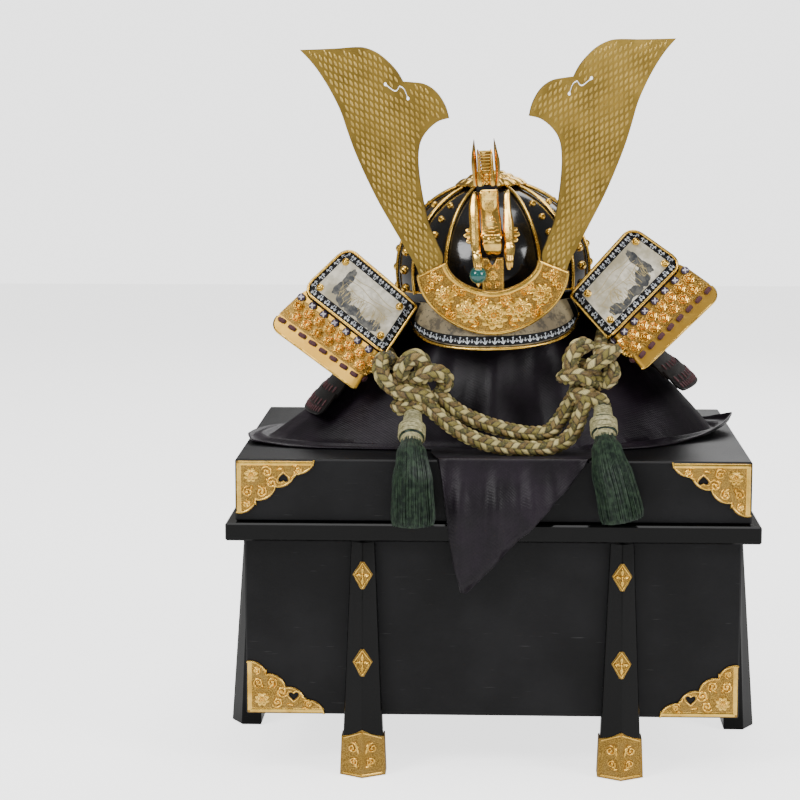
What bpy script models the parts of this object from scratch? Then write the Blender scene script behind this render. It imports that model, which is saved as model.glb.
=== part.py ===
"""Festival war helmet with tall horns, on its cloth, wooden stand and storage chest.

Metres, +Z up, X to the wearer's left as seen from the front, +Y to the back.
The origin is on the floor under the middle of the chest.
"""

import bpy
import bmesh
from math import atan2, cos, hypot, pi, radians, sin, sqrt, tan
from mathutils import Matrix, Vector
from mathutils.geometry import tessellate_polygon

# Clearances
gap = 0.0003
neck_clearance = 0.0009
cap_clearance = 0.0016
facing_clearance = 0.0006
rib_clearance = 0.0005

# Chest
rim_width = 0.450
rim_depth = 0.332
rim_thickness = 0.0152
rim_underside = 0.2002
lid_setback = 0.008
lid_height = 0.0532
lid_wall = 0.009
body_setback = 0.015
body_height = 0.153
board_thickness = 0.010
bottom_thickness = 0.008
edge_round = 0.0014

# Legs and their gilt fittings
leg_spacing = 0.218
leg_top_width = 0.020
leg_foot_width = 0.036
leg_top_depth = 0.0148
leg_foot_depth = 0.029
leg_shoulder = 0.55
shoe_height = 0.041
shoe_side_height = 0.033
sheet_metal = 0.0012
lozenge_width = 0.017
lozenge_height = 0.023
lozenge_heights = (0.172, 0.098)
corner_width = 0.066
corner_height = 0.045
corner_scallops = 4
corner_scallop_depth = 0.004
heart_size = 0.0042

# Stand under the cloth
base_width = 0.226
base_front = 0.063
base_back = 0.052
base_thickness = 0.006
post_radius = 0.014
head_share = 0.60
head_skirt = 0.012

# Helmet bowl
helmet_height = 0.392
helmet_roll = radians(-1.7)
bowl_half_width = 0.085
bowl_half_length = 0.092
bowl_rise = 0.102
bowl_widest = 0.026
bowl_wall = 0.0022
band_share = 0.985
band_top = 0.009
band_drop = 0.006
crown_hole = 0.010
bowl_columns = 30
bowl_rows = 5
rib_count = 13
rib_front_angle = radians(28)
rib_width = 0.0032
rib_height = 0.0018
rib_ring_radius = 0.0215
crown_radius = 0.031
crown_height = 0.007
crown_petals = 16

# Visor
visor_half_angle = radians(52)
visor_reach = 0.0214
visor_end_reach = 0.007
visor_drop = 0.0325
visor_end_drop = 0.0100
visor_top = 0.002
visor_thickness = 0.002
visor_rim_radius = 0.0013

# Horn holder, post and horns
holder_half_width = 0.065
holder_top = 0.029
holder_bottom = -0.0225
holder_inner_half_width = 0.0385
holder_inner_top = 0.040
holder_inner_bottom = 0.0155
holder_sweep = 0.014
holder_thickness = 0.0025
post_width = 0.018
post_depth = 0.005
post_top = 0.043
post_bottom = -0.004
post_notch = 0.007
horn_height = 0.2035
horn_reach = 0.1355
horn_root_height = 0.0205
horn_root_offset = 0.052
horn_thickness = 0.002
horn_foot_half_width = 0.0115
slit_radius = 0.0016

# Crest
crest_base = 0.0435
crest_height = 0.1005
crest_width = 0.038
crest_depth = 0.022
crest_middle = 0.001
crest_horn_middle = -0.004
jewel_radius = 0.0075

# Neck guard
guard_roll = radians(-4.2)
guard_front_angle = radians(61)
guard_side_slope = radians(47)
guard_back_slope = radians(52)
lame_thickness = 0.0016
lame_step = 0.0021
first_lame = 0.045
second_lame = 0.040
lower_lame = 0.023
lame_overlap = 0.0075
neck_height = 0.005
turn_reach = 0.032
turn_lean = radians(7)
turn_inset = -0.001
turn_rise = 0.009
wing_upper = 0.076
wing_rise = radians(39)
wing_sweep = radians(27)
wing_inner_side = 0.0534
wing_outer_side = 0.0574
wing_corner = 0.009
guard_arc_steps = 13
guard_turn_steps = 6
facing_first_column = 3
leather_thickness = 0.0008
leather_margin = 0.0015
panel_rim_radius = 0.0012
relief_thickness = 0.002

# Cloth
cloth_thickness = 0.0016
cloth_neck_radius = 0.066
cloth_fold = 0.0035
cloth_folds = 8
widest_station_gap = 18
rim_reach = 0.010
rim_fall = 0.036
hem_least_run = 0.006
lobe_ripple = 0.005
lobe_azimuths = (35, 145)
bend_margin = 0.003

# Cord
rope_radius = 0.0062
tassel_skirt_radius = 0.019

# Heights and depths that follow from the sizes above
cloth_head_share = head_share + 0.02
lid_floor = rim_underside + rim_thickness + gap
lid_top = lid_floor + lid_height
lid_width = rim_width - 2 * lid_setback
lid_depth = rim_depth - 2 * lid_setback
body_width = rim_width - 2 * body_setback
body_depth = rim_depth - 2 * body_setback
body_top = rim_underside - gap
body_floor = body_top - body_height
base_top = lid_top + gap + base_thickness


def clear_scene():
    for item in list(bpy.data.objects):
        bpy.data.objects.remove(item)


def material(name, colour, roughness, metallic=0.0):
    finish = bpy.data.materials.get(name)
    if finish is None:
        finish = bpy.data.materials.new(name)
        finish.use_nodes = True
        shader = finish.node_tree.nodes["Principled BSDF"]
        shader.inputs["Base Color"].default_value = (*colour, 1.0)
        shader.inputs["Roughness"].default_value = roughness
        shader.inputs["Metallic"].default_value = metallic
    return finish


def finish_mesh(name, bm, colour, parent=None, smooth=40):
    """Closes a bmesh into a named object with outward faces."""
    bmesh.ops.recalc_face_normals(bm, faces=bm.faces[:])
    mesh = bpy.data.meshes.new(name)
    bm.to_mesh(mesh)
    bm.free()
    mesh.materials.append(colour)
    if smooth:
        mesh.shade_smooth()
        mesh.set_sharp_from_angle(angle=radians(smooth))
    part = bpy.data.objects.new(name, mesh)
    bpy.context.scene.collection.objects.link(part)
    part.parent = parent
    return part


def round_edges(part, width, segments=1):
    bevel = part.modifiers.new("rounded edges", "BEVEL")
    bevel.width = width
    bevel.segments = segments
    bevel.limit_method = "ANGLE"
    bevel.angle_limit = radians(40)
    return part


def box(name, low, high, colour, rounding=edge_round):
    bm = bmesh.new()
    bmesh.ops.create_cube(bm, size=1.0)
    size = Vector(high) - Vector(low)
    middle = (Vector(high) + Vector(low)) / 2
    bmesh.ops.scale(bm, vec=size, verts=bm.verts[:])
    bmesh.ops.translate(bm, vec=middle, verts=bm.verts[:])
    part = finish_mesh(name, bm, colour, smooth=0)
    return round_edges(part, rounding)


def wall(name, front, back, colour, parent=None, wrap=False, pole=False, smooth=40):
    """A wall between two grids of points, closed along its edges.

    The rows run across the wall. A wrapped grid closes on itself along each row.
    With a pole, the first row is one point.
    """
    bm = bmesh.new()
    sides = []
    for grid in (front, back):
        rows = []
        for number, row in enumerate(grid):
            if pole and number == 0:
                rows.append([bm.verts.new(row[0])] * len(row))
            else:
                rows.append([bm.verts.new(point) for point in row])
        sides.append(rows)
    count = len(front[0])
    steps = range(count if wrap else count - 1)
    for rows in sides:
        for upper, lower in zip(rows, rows[1:]):
            for step in steps:
                after = (step + 1) % count
                corners = [upper[step], upper[after], lower[after], lower[step]]
                if upper[step] is upper[after]:
                    corners = [upper[step], lower[after], lower[step]]
                bm.faces.new(corners if rows is sides[0] else corners[::-1])
    outer, inner = sides
    edge_rows = [-1] if pole else [0, -1]
    for row in edge_rows:
        for step in steps:
            after = (step + 1) % count
            bm.faces.new([outer[row][step], outer[row][after], inner[row][after], inner[row][step]])
    if not wrap:
        for column in (0, -1):
            for number in range(len(front) - 1):
                bm.faces.new(
                    [
                        outer[number][column],
                        outer[number + 1][column],
                        inner[number + 1][column],
                        inner[number][column],
                    ]
                )
    return finish_mesh(name, bm, colour, parent, smooth)


def plate(name, loops, thickness, place, colour, parent=None):
    """A flat plate with holes: the first loop of (across, up) points is its outline."""
    flat = [[Vector((across, up, 0.0)) for across, up in loop] for loop in loops]
    triangles = tessellate_polygon(flat)
    bm = bmesh.new()
    near = []
    far = []
    for loop in loops:
        near.append([bm.verts.new(place(across, up, 0.0)) for across, up in loop])
        far.append([bm.verts.new(place(across, up, thickness)) for across, up in loop])
    near_all = [vert for loop in near for vert in loop]
    far_all = [vert for loop in far for vert in loop]
    for a, b, c in triangles:
        bm.faces.new([near_all[a], near_all[b], near_all[c]])
        bm.faces.new([far_all[c], far_all[b], far_all[a]])
    for front, back in zip(near, far):
        for step in range(len(front)):
            after = (step + 1) % len(front)
            bm.faces.new([front[step], front[after], back[after], back[step]])
    return finish_mesh(name, bm, colour, parent)


def loft(bm, sections):
    """Joins rings of points into one closed skin, capped at both ends."""
    rings = [[bm.verts.new(point) for point in ring] for ring in sections]
    for upper, lower in zip(rings, rings[1:]):
        for step in range(len(upper)):
            after = (step + 1) % len(upper)
            bm.faces.new([upper[step], upper[after], lower[after], lower[step]])
    bm.faces.new(rings[0][::-1])
    bm.faces.new(rings[-1])


def sweep_rings(points, radii, sides, flatten=1.0, closed=False):
    """Rings of points round a path, carried along it without twisting."""
    points = [Vector(point) for point in points]
    count = len(points)
    rings = []
    carried = None
    for number, point in enumerate(points):
        if closed:
            ahead = points[(number + 1) % count] - points[number - 1]
        else:
            ahead = points[min(number + 1, count - 1)] - points[max(number - 1, 0)]
        ahead.normalize()
        if carried is None:
            carried = ahead.orthogonal()
        carried = (carried - ahead * carried.dot(ahead)).normalized()
        across = ahead.cross(carried)
        radius = radii[number] if hasattr(radii, "__len__") else radii
        ring = []
        for side in range(sides):
            turn = 2 * pi * side / sides
            ring.append(point + radius * (cos(turn) * carried + flatten * sin(turn) * across))
        rings.append(ring)
    return rings


def tube(name, points, radii, colour, sides=6, parent=None):
    bm = bmesh.new()
    loft(bm, sweep_rings(points, radii, sides))
    return finish_mesh(name, bm, colour, parent, smooth=60)


def ring_tube(name, points, radius, colour, sides=4, parent=None):
    """A closed loop of wire."""
    bm = bmesh.new()
    rings = sweep_rings(points, radius, sides, closed=True)
    verts = [[bm.verts.new(point) for point in ring] for ring in rings]
    last, first = rings[-1], rings[0]
    shift = min(range(sides), key=lambda k: (last[0] - first[k]).length)
    for number, ring in enumerate(verts):
        following = verts[(number + 1) % len(verts)]
        turn = shift if number == len(verts) - 1 else 0
        for step in range(sides):
            a, b = step, (step + 1) % sides
            bm.faces.new([ring[a], ring[b], following[(b + turn) % sides], following[(a + turn) % sides]])
    return finish_mesh(name, bm, colour, parent, smooth=60)


def smooth_path(points, spacing):
    """Points at even spacing along a smooth curve through the given ones."""
    points = [Vector(point) for point in points]
    curve = []
    for number in range(len(points) - 1):
        p0 = points[max(number - 1, 0)]
        p1, p2 = points[number], points[number + 1]
        p3 = points[min(number + 2, len(points) - 1)]
        steps = 12
        for step in range(steps):
            t = step / steps
            curve.append(
                0.5
                * (
                    2 * p1
                    + (p2 - p0) * t
                    + (2 * p0 - 5 * p1 + 4 * p2 - p3) * t * t
                    + (3 * p1 - p0 - 3 * p2 + p3) * t**3
                )
            )
    curve.append(points[-1])
    length = sum((b - a).length for a, b in zip(curve, curve[1:]))
    count = max(2, round(length / spacing))
    result = [curve[0]]
    walked = 0.0
    target = length / count
    for a, b in zip(curve, curve[1:]):
        piece = (b - a).length
        while walked + piece >= target - 1e-9 and len(result) < count:
            result.append(a.lerp(b, (target - walked) / piece))
            target += length / count
        walked += piece
    result.append(curve[-1])
    return result


def union(base, others):
    """Fuses helper shapes into one solid with Boolean modifiers."""
    for number, other in enumerate(others):
        other.hide_render = True
        other.hide_viewport = False
        other.display_type = "WIRE"
        fuse = base.modifiers.new(f"fuse {number}", "BOOLEAN")
        fuse.operation = "UNION"
        fuse.solver = "EXACT"
        fuse.object = other
    return base


# Chest


def hollow_block(name, low, high, walls, floor_z, colour):
    """A block open at the bottom, or right through where floor_z is None."""
    x0, y0, z0 = low
    x1, y1, z1 = high
    outside = [(x0, y0), (x1, y0), (x1, y1), (x0, y1)]
    inside = [(x0 + walls, y0 + walls), (x1 - walls, y0 + walls), (x1 - walls, y1 - walls), (x0 + walls, y1 - walls)]
    bm = bmesh.new()
    inner_top = z1 if floor_z is None else floor_z
    outer_low = [bm.verts.new((x, y, z0)) for x, y in outside]
    outer_high = [bm.verts.new((x, y, z1)) for x, y in outside]
    inner_low = [bm.verts.new((x, y, z0)) for x, y in inside]
    inner_high = [bm.verts.new((x, y, inner_top)) for x, y in inside]
    for step in range(4):
        after = (step + 1) % 4
        bm.faces.new([outer_low[step], outer_low[after], outer_high[after], outer_high[step]])
        bm.faces.new([inner_high[step], inner_high[after], inner_low[after], inner_low[step]])
        bm.faces.new([inner_low[step], inner_low[after], outer_low[after], outer_low[step]])
        if floor_z is None:
            bm.faces.new([outer_high[step], outer_high[after], inner_high[after], inner_high[step]])
    if floor_z is not None:
        bm.faces.new(outer_high)
        bm.faces.new(inner_high)
    part = finish_mesh(name, bm, colour, smooth=0)
    return round_edges(part, edge_round)


def make_chest():
    satin = material("black satin lacquer", (0.012, 0.012, 0.013), 0.55)
    gloss = material("black gloss lacquer", (0.006, 0.006, 0.007), 0.12)
    half_x, half_y = body_width / 2, body_depth / 2
    inner_x = half_x - board_thickness
    inner_y = half_y - board_thickness
    for name, side in (("chest_front_board", -1), ("chest_back_board", 1)):
        ys = sorted((side * half_y, side * inner_y))
        box(name, (-half_x, ys[0], body_floor), (half_x, ys[1], body_top), satin)
    for name, side in (("chest_left_board", -1), ("chest_right_board", 1)):
        xs = sorted((side * half_x, side * inner_x))
        box(name, (xs[0], -inner_y + gap, body_floor), (xs[1], inner_y - gap, body_top), satin)
    box(
        "chest_bottom_board",
        (-inner_x + gap, -inner_y + gap, body_floor),
        (inner_x - gap, inner_y - gap, body_floor + bottom_thickness),
        satin,
    )
    hollow_block(
        "chest_rim",
        (-rim_width / 2, -rim_depth / 2, rim_underside),
        (rim_width / 2, rim_depth / 2, rim_underside + rim_thickness),
        body_setback + board_thickness,
        None,
        gloss,
    )
    hollow_block(
        "chest_lid",
        (-lid_width / 2, -lid_depth / 2, lid_floor),
        (lid_width / 2, lid_depth / 2, lid_top),
        lid_wall,
        lid_top - lid_wall,
        satin,
    )


def leg_section(z):
    """Plan outline of a leg at one height: (across, out) from the board it stands against."""
    share = z / body_top
    half = (leg_foot_width + (leg_top_width - leg_foot_width) * share) / 2
    depth = leg_foot_depth + (leg_top_depth - leg_foot_depth) * share
    shoulder = depth * leg_shoulder + half * 0.12
    return [(-half, gap), (-half, shoulder), (0.0, depth), (half, shoulder), (half, gap)]


def leg_place(across, out, z, turn, middle, face):
    """Turns a leg's plan point to its side of the chest."""
    local = Vector((middle + across, -(face + out), z))
    return Matrix.Rotation(turn, 3, "Z") @ local


def leg_positions():
    front, side = body_depth / 2, body_width / 2
    return (
        ("leg_front_left", 0.0, -leg_spacing / 2, front),
        ("leg_front_right", 0.0, leg_spacing / 2, front),
        ("leg_back_left", pi, leg_spacing / 2, front),
        ("leg_back_right", pi, -leg_spacing / 2, front),
        ("leg_side_left", -pi / 2, 0.0, side),
        ("leg_side_right", pi / 2, 0.0, side),
    )


def make_legs():
    gloss = material("black gloss lacquer", (0.006, 0.006, 0.007), 0.12)
    for name, turn, middle, face in leg_positions():
        bm = bmesh.new()
        rings = []
        for z in (0.0, body_top):
            rings.append([leg_place(a, out, z, turn, middle, face) for a, out in leg_section(z)])
        loft(bm, rings)
        round_edges(finish_mesh(name, bm, gloss, smooth=0), edge_round / 2, 1)


def leg_skin(z, off):
    """The leg's outline at one height, moved out by a distance."""
    section = leg_section(z)
    half, shoulder = section[3]
    depth = section[2][1]
    lean = atan2(depth - shoulder, half)
    out = off / cos(lean)
    corner = off * tan(pi / 4 - lean / 2)
    return [
        (-half - off, gap),
        (-half - off, shoulder + corner),
        (-half / 2, (shoulder + depth) / 2 + out),
        (0.0, depth + out),
        (half / 2, (shoulder + depth) / 2 + out),
        (half + off, shoulder + corner),
        (half + off, gap),
    ]


def make_leg_fittings():
    gilt = material("gilt", (0.83, 0.60, 0.26), 0.3, 1.0)
    waist = (shoe_side_height * 2 + shoe_height) / 3
    tops = (shoe_side_height, shoe_side_height, waist, shoe_height, waist, shoe_side_height, shoe_side_height)
    for name, turn, middle, face in leg_positions()[:2]:
        side = name.split("_")[-1]
        grids = []
        for off in (gap + sheet_metal, gap):
            rows = []
            for share in (0.0, 1.0):
                row = []
                for number, top in enumerate(tops):
                    z = top * share
                    across, out = leg_skin(z, off)[number]
                    row.append(leg_place(across, out, z, turn, middle, face))
                rows.append(row)
            grids.append(rows)
        wall(f"shoe_{side}", grids[0], grids[1], gilt, smooth=30)
        for order, height in zip(("upper", "lower"), lozenge_heights):
            grids = []
            for off in (gap + sheet_metal, gap):
                rows = []
                for share in (-1.0, 0.0, 1.0):
                    z = height + share * lozenge_height / 2
                    skin = leg_skin(z, off)
                    row = []
                    for number in (-1, 0, 1):
                        wide = lozenge_width / 2 * (1 - abs(share) * 0.82)
                        ridge, flank = skin[3], skin[2]
                        slope = (ridge[1] - flank[1]) / abs(flank[0])
                        across = number * wide
                        row.append(leg_place(across, ridge[1] - slope * abs(across), z, turn, middle, face))
                    rows.append(row)
                grids.append(rows)
            wall(f"lozenge_{side}_{order}", grids[0], grids[1], gilt, smooth=30)


def heart_loop(middle_x, middle_z, size):
    """A small heart, point up, as a closed loop."""
    loop = []
    for step in range(10):
        turn = 2 * pi * step / 10
        across = sin(turn) ** 3
        up = -(0.81 * cos(turn) - 0.31 * cos(2 * turn) - 0.13 * cos(3 * turn))
        loop.append((middle_x + size * across, middle_z + size * up))
    return loop


def corner_loop():
    """The corner plate's outline from its square corner, with a scalloped long side."""
    loop = [(0.0, 0.0), (corner_width, 0.0)]
    steps = corner_scallops * 4
    slope = hypot(corner_width, corner_height)
    for step in range(1, steps):
        share = step / steps
        bump = corner_scallop_depth * abs(sin(pi * corner_scallops * share))
        loop.append(
            (
                corner_width * (1 - share) + bump * corner_height / slope,
                -corner_height * share - bump * corner_width / slope,
            )
        )
    loop.append((0.0, -corner_height))
    return loop


def make_corner_plates():
    gilt = material("gilt", (0.83, 0.60, 0.26), 0.3, 1.0)
    loops = [corner_loop(), heart_loop(corner_width * 0.60, -corner_height * 0.33, heart_size)]
    lid_y = -lid_depth / 2 - gap
    body_y = -body_depth / 2 - gap
    inset = edge_round
    spots = (
        ("lid_corner_left", -1, 1, lid_width / 2, lid_top, lid_y),
        ("lid_corner_right", 1, 1, lid_width / 2, lid_top, lid_y),
        ("body_corner_left", -1, -1, body_width / 2, body_floor, body_y),
        ("body_corner_right", 1, -1, body_width / 2, body_floor, body_y),
    )
    for name, side, up_side, half, edge_z, face_y in spots:

        def place(across, up, depth, side=side, up_side=up_side, half=half, edge_z=edge_z, face_y=face_y):
            x = side * (half - inset - across)
            z = edge_z - up_side * inset + up_side * up
            return Vector((x, face_y - depth, z))

        plate(name, loops, sheet_metal, place, gilt)


# Helmet


def helmet_frame(name, roll):
    frame = bpy.data.objects.new(name, None)
    bpy.context.scene.collection.objects.link(frame)
    frame.location = (0.0, 0.0, helmet_height)
    frame.rotation_euler = (0.0, roll, 0.0)
    return frame


def in_helmet(point, roll=helmet_roll):
    """A point of the helmet's own frame, as it stands on the stand."""
    return Matrix.Rotation(roll, 3, "Y") @ Vector(point) + Vector((0.0, 0.0, helmet_height))


def bowl_share(z):
    """The bowl's half-width at a height, as a share of its widest."""
    if z <= band_top:
        return band_share
    if z <= bowl_widest:
        rise = (z - band_top) / (bowl_widest - band_top)
        return band_share + (1 - band_share) * sin(rise * pi / 2)
    rise = (z - bowl_widest) / (bowl_rise - bowl_widest)
    return sqrt(max(0.0, 1 - rise**2.05))


def bowl_point(angle, z, off=0.0):
    """A point on the bowl: angle from the front, height over its rim, distance off it."""
    share = bowl_share(z)
    across = share * bowl_half_width
    along = share * bowl_half_length
    point = Vector((across * sin(angle), -along * cos(angle), z))
    if off == 0.0:
        return point
    step = 0.0005
    above = bowl_share(z + step)
    below = bowl_share(z - step)
    steep = (above - below) / (2 * step)
    normal = Vector((sin(angle) / bowl_half_width, -cos(angle) / bowl_half_length, -steep))
    return point + off * normal.normalized()


def bowl_heights():
    """Heights from the rim to the crown hole, closer together near the crown."""
    top_share = crown_hole / bowl_half_width
    top = bowl_widest + (bowl_rise - bowl_widest) * sqrt(1 - top_share**2) ** (1 / 1.025)
    heights = [-band_drop, band_top, bowl_widest]
    for step in range(bowl_rows):
        turn = pi / 2 * (step + 1) / bowl_rows
        heights.append(min(bowl_widest + (bowl_rise - bowl_widest) * sin(turn), top))
    return heights


def make_bowl(frame):
    black = material("black bowl lacquer", (0.008, 0.008, 0.010), 0.15)
    gilt = material("gilt", (0.83, 0.60, 0.26), 0.3, 1.0)
    columns = bowl_columns
    heights = bowl_heights()
    outer = []
    inner = []
    for z in heights:
        outer.append([bowl_point(2 * pi * c / columns, z) for c in range(columns)])
        inner.append([bowl_point(2 * pi * c / columns, z, -bowl_wall) for c in range(columns)])
    wall("bowl", outer, inner, black, frame, wrap=True, smooth=60)

    ribs = bmesh.new()
    first = rib_front_angle
    spread = (2 * pi - 2 * first) / (rib_count - 1)
    lift = rib_clearance + rib_height
    ring_z = bowl_ring_height(rib_ring_radius * 0.8)
    levels = [z for z in heights if band_top <= z < ring_z] + [ring_z]
    for number in range(rib_count):
        angle = first + number * spread
        sections = []
        for z in levels:
            across = bowl_point(angle + 0.01, z) - bowl_point(angle - 0.01, z)
            across.normalize()
            ring = []
            for side, off in ((-0.5, rib_clearance), (0.5, rib_clearance), (0.5, lift), (-0.5, lift)):
                ring.append(bowl_point(angle, z, off) + side * rib_width * across)
            sections.append(ring)
        loft(ribs, sections)
    strips = finish_mesh("rib strips", ribs, gilt, frame)
    ring = make_crown_seat("bowl_ribs", gilt, frame)
    union(ring, [strips])
    make_crown_ring(gilt, frame)


def bowl_ring_height(radius):
    """The bowl's height where it is this wide near the crown."""
    share = radius / bowl_half_width
    return bowl_widest + (bowl_rise - bowl_widest) * (1 - share**2) ** (1 / 2.05)


def make_crown_seat(name, colour, frame):
    """The thin ring that joins the ribs' upper ends round the crown hole."""
    columns = 26
    grids = []
    for off in (rib_clearance + rib_height * 1.15, rib_clearance):
        rows = []
        for radius in (crown_hole * 1.15, rib_ring_radius):
            z = bowl_ring_height(radius)
            rows.append([bowl_point(2 * pi * c / columns, z, off) for c in range(columns)])
        grids.append(rows)
    return wall(name, grids[0], grids[1], colour, frame, wrap=True, smooth=60)


def make_crown_ring(colour, frame):
    """Petalled gilt ring over the crown hole."""
    columns = crown_petals * 2
    seat = rib_clearance + gap + rib_height * 1.15
    table = (
        (crown_hole * 1.05, crown_height),
        (crown_radius * 0.66, crown_height * 0.50),
        (crown_radius * 0.98, 0.0012),
    )
    outer = []
    inner = []
    for radius, lift in table:
        row = []
        under = []
        for column in range(columns):
            angle = 2 * pi * column / columns
            petal = 1.0
            if radius > crown_radius * 0.6:
                petal = 1 - 0.08 * (1 - abs(sin(crown_petals * angle / 2)))
            z = bowl_ring_height(radius * petal)
            under.append(bowl_point(angle, z, seat))
            row.append(bowl_point(angle, z, seat + lift))
        outer.append(row)
        inner.append(under)
    wall("crown_ring", outer, inner, colour, frame, wrap=True, smooth=50)


def band_normal(angle):
    """Level direction straight out of the bowl's band."""
    normal = Vector((sin(angle) / bowl_half_width, -cos(angle) / bowl_half_length, 0.0))
    return normal.normalized()


def band_point(angle, off):
    """A point off the bowl's band, level with its lower edge."""
    base = Vector(
        (
            band_share * bowl_half_width * sin(angle),
            -band_share * bowl_half_length * cos(angle),
            0.0,
        )
    )
    return base + off * band_normal(angle)


def visor_point(angle, share, off=0.0):
    """A point of the visor's upper face: share 0 at the bowl, 1 at its front edge."""
    turn = abs(angle) / visor_half_angle
    reach = visor_reach + (visor_end_reach - visor_reach) * turn**2
    low = visor_end_drop / visor_drop
    drop = visor_drop * sqrt(max(0.0, 1 - (1 - low**2) * turn**2.6))
    start = band_point(angle, gap + visor_thickness * 0.5)
    bulge = 0.10 * reach * sin(pi * share)
    point = start + band_normal(angle) * (reach * share + bulge)
    point.z = visor_top - (drop + visor_top) * share
    slope = Vector((0, 0, 1)) * reach + band_normal(angle) * (drop + visor_top)
    return point + slope.normalized() * off


def make_visor(frame):
    leather = material("printed leather", (0.32, 0.29, 0.22), 0.6)
    gilt = material("gilt", (0.83, 0.60, 0.26), 0.3, 1.0)
    columns = 20
    grids = []
    for off in (visor_thickness / 2, -visor_thickness / 2):
        rows = []
        for share in (0.0, 0.5, 1.0):
            row = []
            for column in range(columns + 1):
                angle = visor_half_angle * (2 * column / columns - 1)
                row.append(visor_point(angle, share, off))
            rows.append(row)
        grids.append(rows)
    wall("visor", grids[0], grids[1], leather, frame)
    path = []
    for column in range(columns + 1):
        angle = visor_half_angle * (2 * column / columns - 1)
        edge = visor_point(angle, 1.0)
        along = (visor_point(angle + 0.01, 1.0) - visor_point(angle - 0.01, 1.0)).normalized()
        run = edge - visor_point(angle, 0.9)
        run = (run - along * run.dot(along)).normalized()
        path.append(edge + run * (visor_rim_radius + 2 * gap))
    tube("visor_rim", path, visor_rim_radius, gilt, sides=6, parent=frame)


def holder_depth(x):
    """How far forward the horn holder's front stands at a distance from the middle."""
    foot = visor_point(0.0, (visor_top - holder_bottom) / (visor_drop + visor_top), visor_thickness / 2)
    return foot.y - gap - holder_thickness + holder_sweep * (x / holder_half_width) ** 2


def holder_curve(share, half_width, top, bottom, power):
    """A U-shaped line from its left end over the bottom to its right end."""
    turn = pi * (1 - share)
    across = cos(turn)
    level = abs(sin(turn)) ** (2 / power)
    x = half_width * (abs(across) ** (2 / power)) * (1 if across > 0 else -1)
    return x, top - (top - bottom) * level


def make_holder(frame):
    gilt = material("gilt", (0.83, 0.60, 0.26), 0.3, 1.0)
    columns = 24
    grids = []
    for depth in (0.0, holder_thickness):
        rows = []
        for across in (0.0, 0.5, 1.0):
            row = []
            for column in range(columns + 1):
                share = column / columns
                outer = holder_curve(share, holder_half_width, holder_top, holder_bottom, 1.9)
                inner = holder_curve(share, holder_inner_half_width, holder_inner_top, holder_inner_bottom, 2.7)
                x = outer[0] + (inner[0] - outer[0]) * across
                z = outer[1] + (inner[1] - outer[1]) * across
                row.append(Vector((x, holder_depth(x) + depth, z)))
            rows.append(row)
        grids.append(rows)
    wall("horn_holder", grids[0], grids[1], gilt, frame)

    behind = holder_depth(post_width / 2) + holder_thickness + gap
    half = post_width / 2
    outline = [
        (-half, post_bottom),
        (half, post_bottom),
        (half * 1.05, post_top),
        (half * 0.45, post_top),
        (0.0, post_top - post_notch),
        (-half * 0.45, post_top),
        (-half * 1.05, post_top),
    ]
    plate("crest_post", [outline], post_depth, lambda x, z, d: Vector((x, behind + d, z)), gilt, frame)
    return behind


# The horn's outline as shares of its reach and height, from the foot up the inner side,
# over the rounded lobe and the notch to the far tip, and back down the outer side
HORN_OUTLINE = (
    (0.155, 0.000),
    (0.070, 0.100),
    (0.105, 0.175),
    (0.155, 0.250),
    (0.185, 0.335),
    (0.208, 0.430),
    (0.218, 0.520),
    (0.205, 0.590),
    (0.160, 0.640),
    (0.085, 0.680),
    (0.005, 0.695),
    (0.030, 0.750),
    (0.085, 0.805),
    (0.160, 0.838),
    (0.250, 0.848),
    (0.305, 0.851),
    (0.345, 0.895),
    (0.400, 0.935),
    (0.470, 0.972),
    (0.550, 0.995),
    (0.620, 1.000),
    (0.740, 0.997),
    (0.865, 0.996),
    (1.000, 0.996),
    (0.925, 0.945),
    (0.860, 0.888),
    (0.795, 0.818),
    (0.733, 0.735),
    (0.690, 0.650),
    (0.643, 0.563),
    (0.575, 0.460),
    (0.492, 0.350),
    (0.400, 0.245),
    (0.315, 0.150),
    (0.245, 0.070),
    (0.220, 0.000),
)
HORN_SHARP = (10, 15, 23)


def smooth_outline(table, sharp, steps=1):
    """A closed line through a table's points, rounded except at its sharp ones."""
    points = [Vector((a, b, 0.0)) for a, b in table]
    count = len(points)
    result = []
    for number in range(count - 1):
        p1, p2 = points[number], points[number + 1]
        p0 = p1 if number in sharp or number == 0 else points[number - 1]
        p3 = p2 if number + 1 in sharp or number + 2 >= count else points[number + 2]
        for step in range(steps):
            t = step / steps
            result.append(
                0.5
                * (
                    2 * p1
                    + (p2 - p0) * t
                    + (2 * p0 - 5 * p1 + 4 * p2 - p3) * t * t
                    + (3 * p1 - p0 - 3 * p2 + p3) * t**3
                )
            )
    result.append(points[-1])
    return [(point.x, point.y) for point in result]


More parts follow.
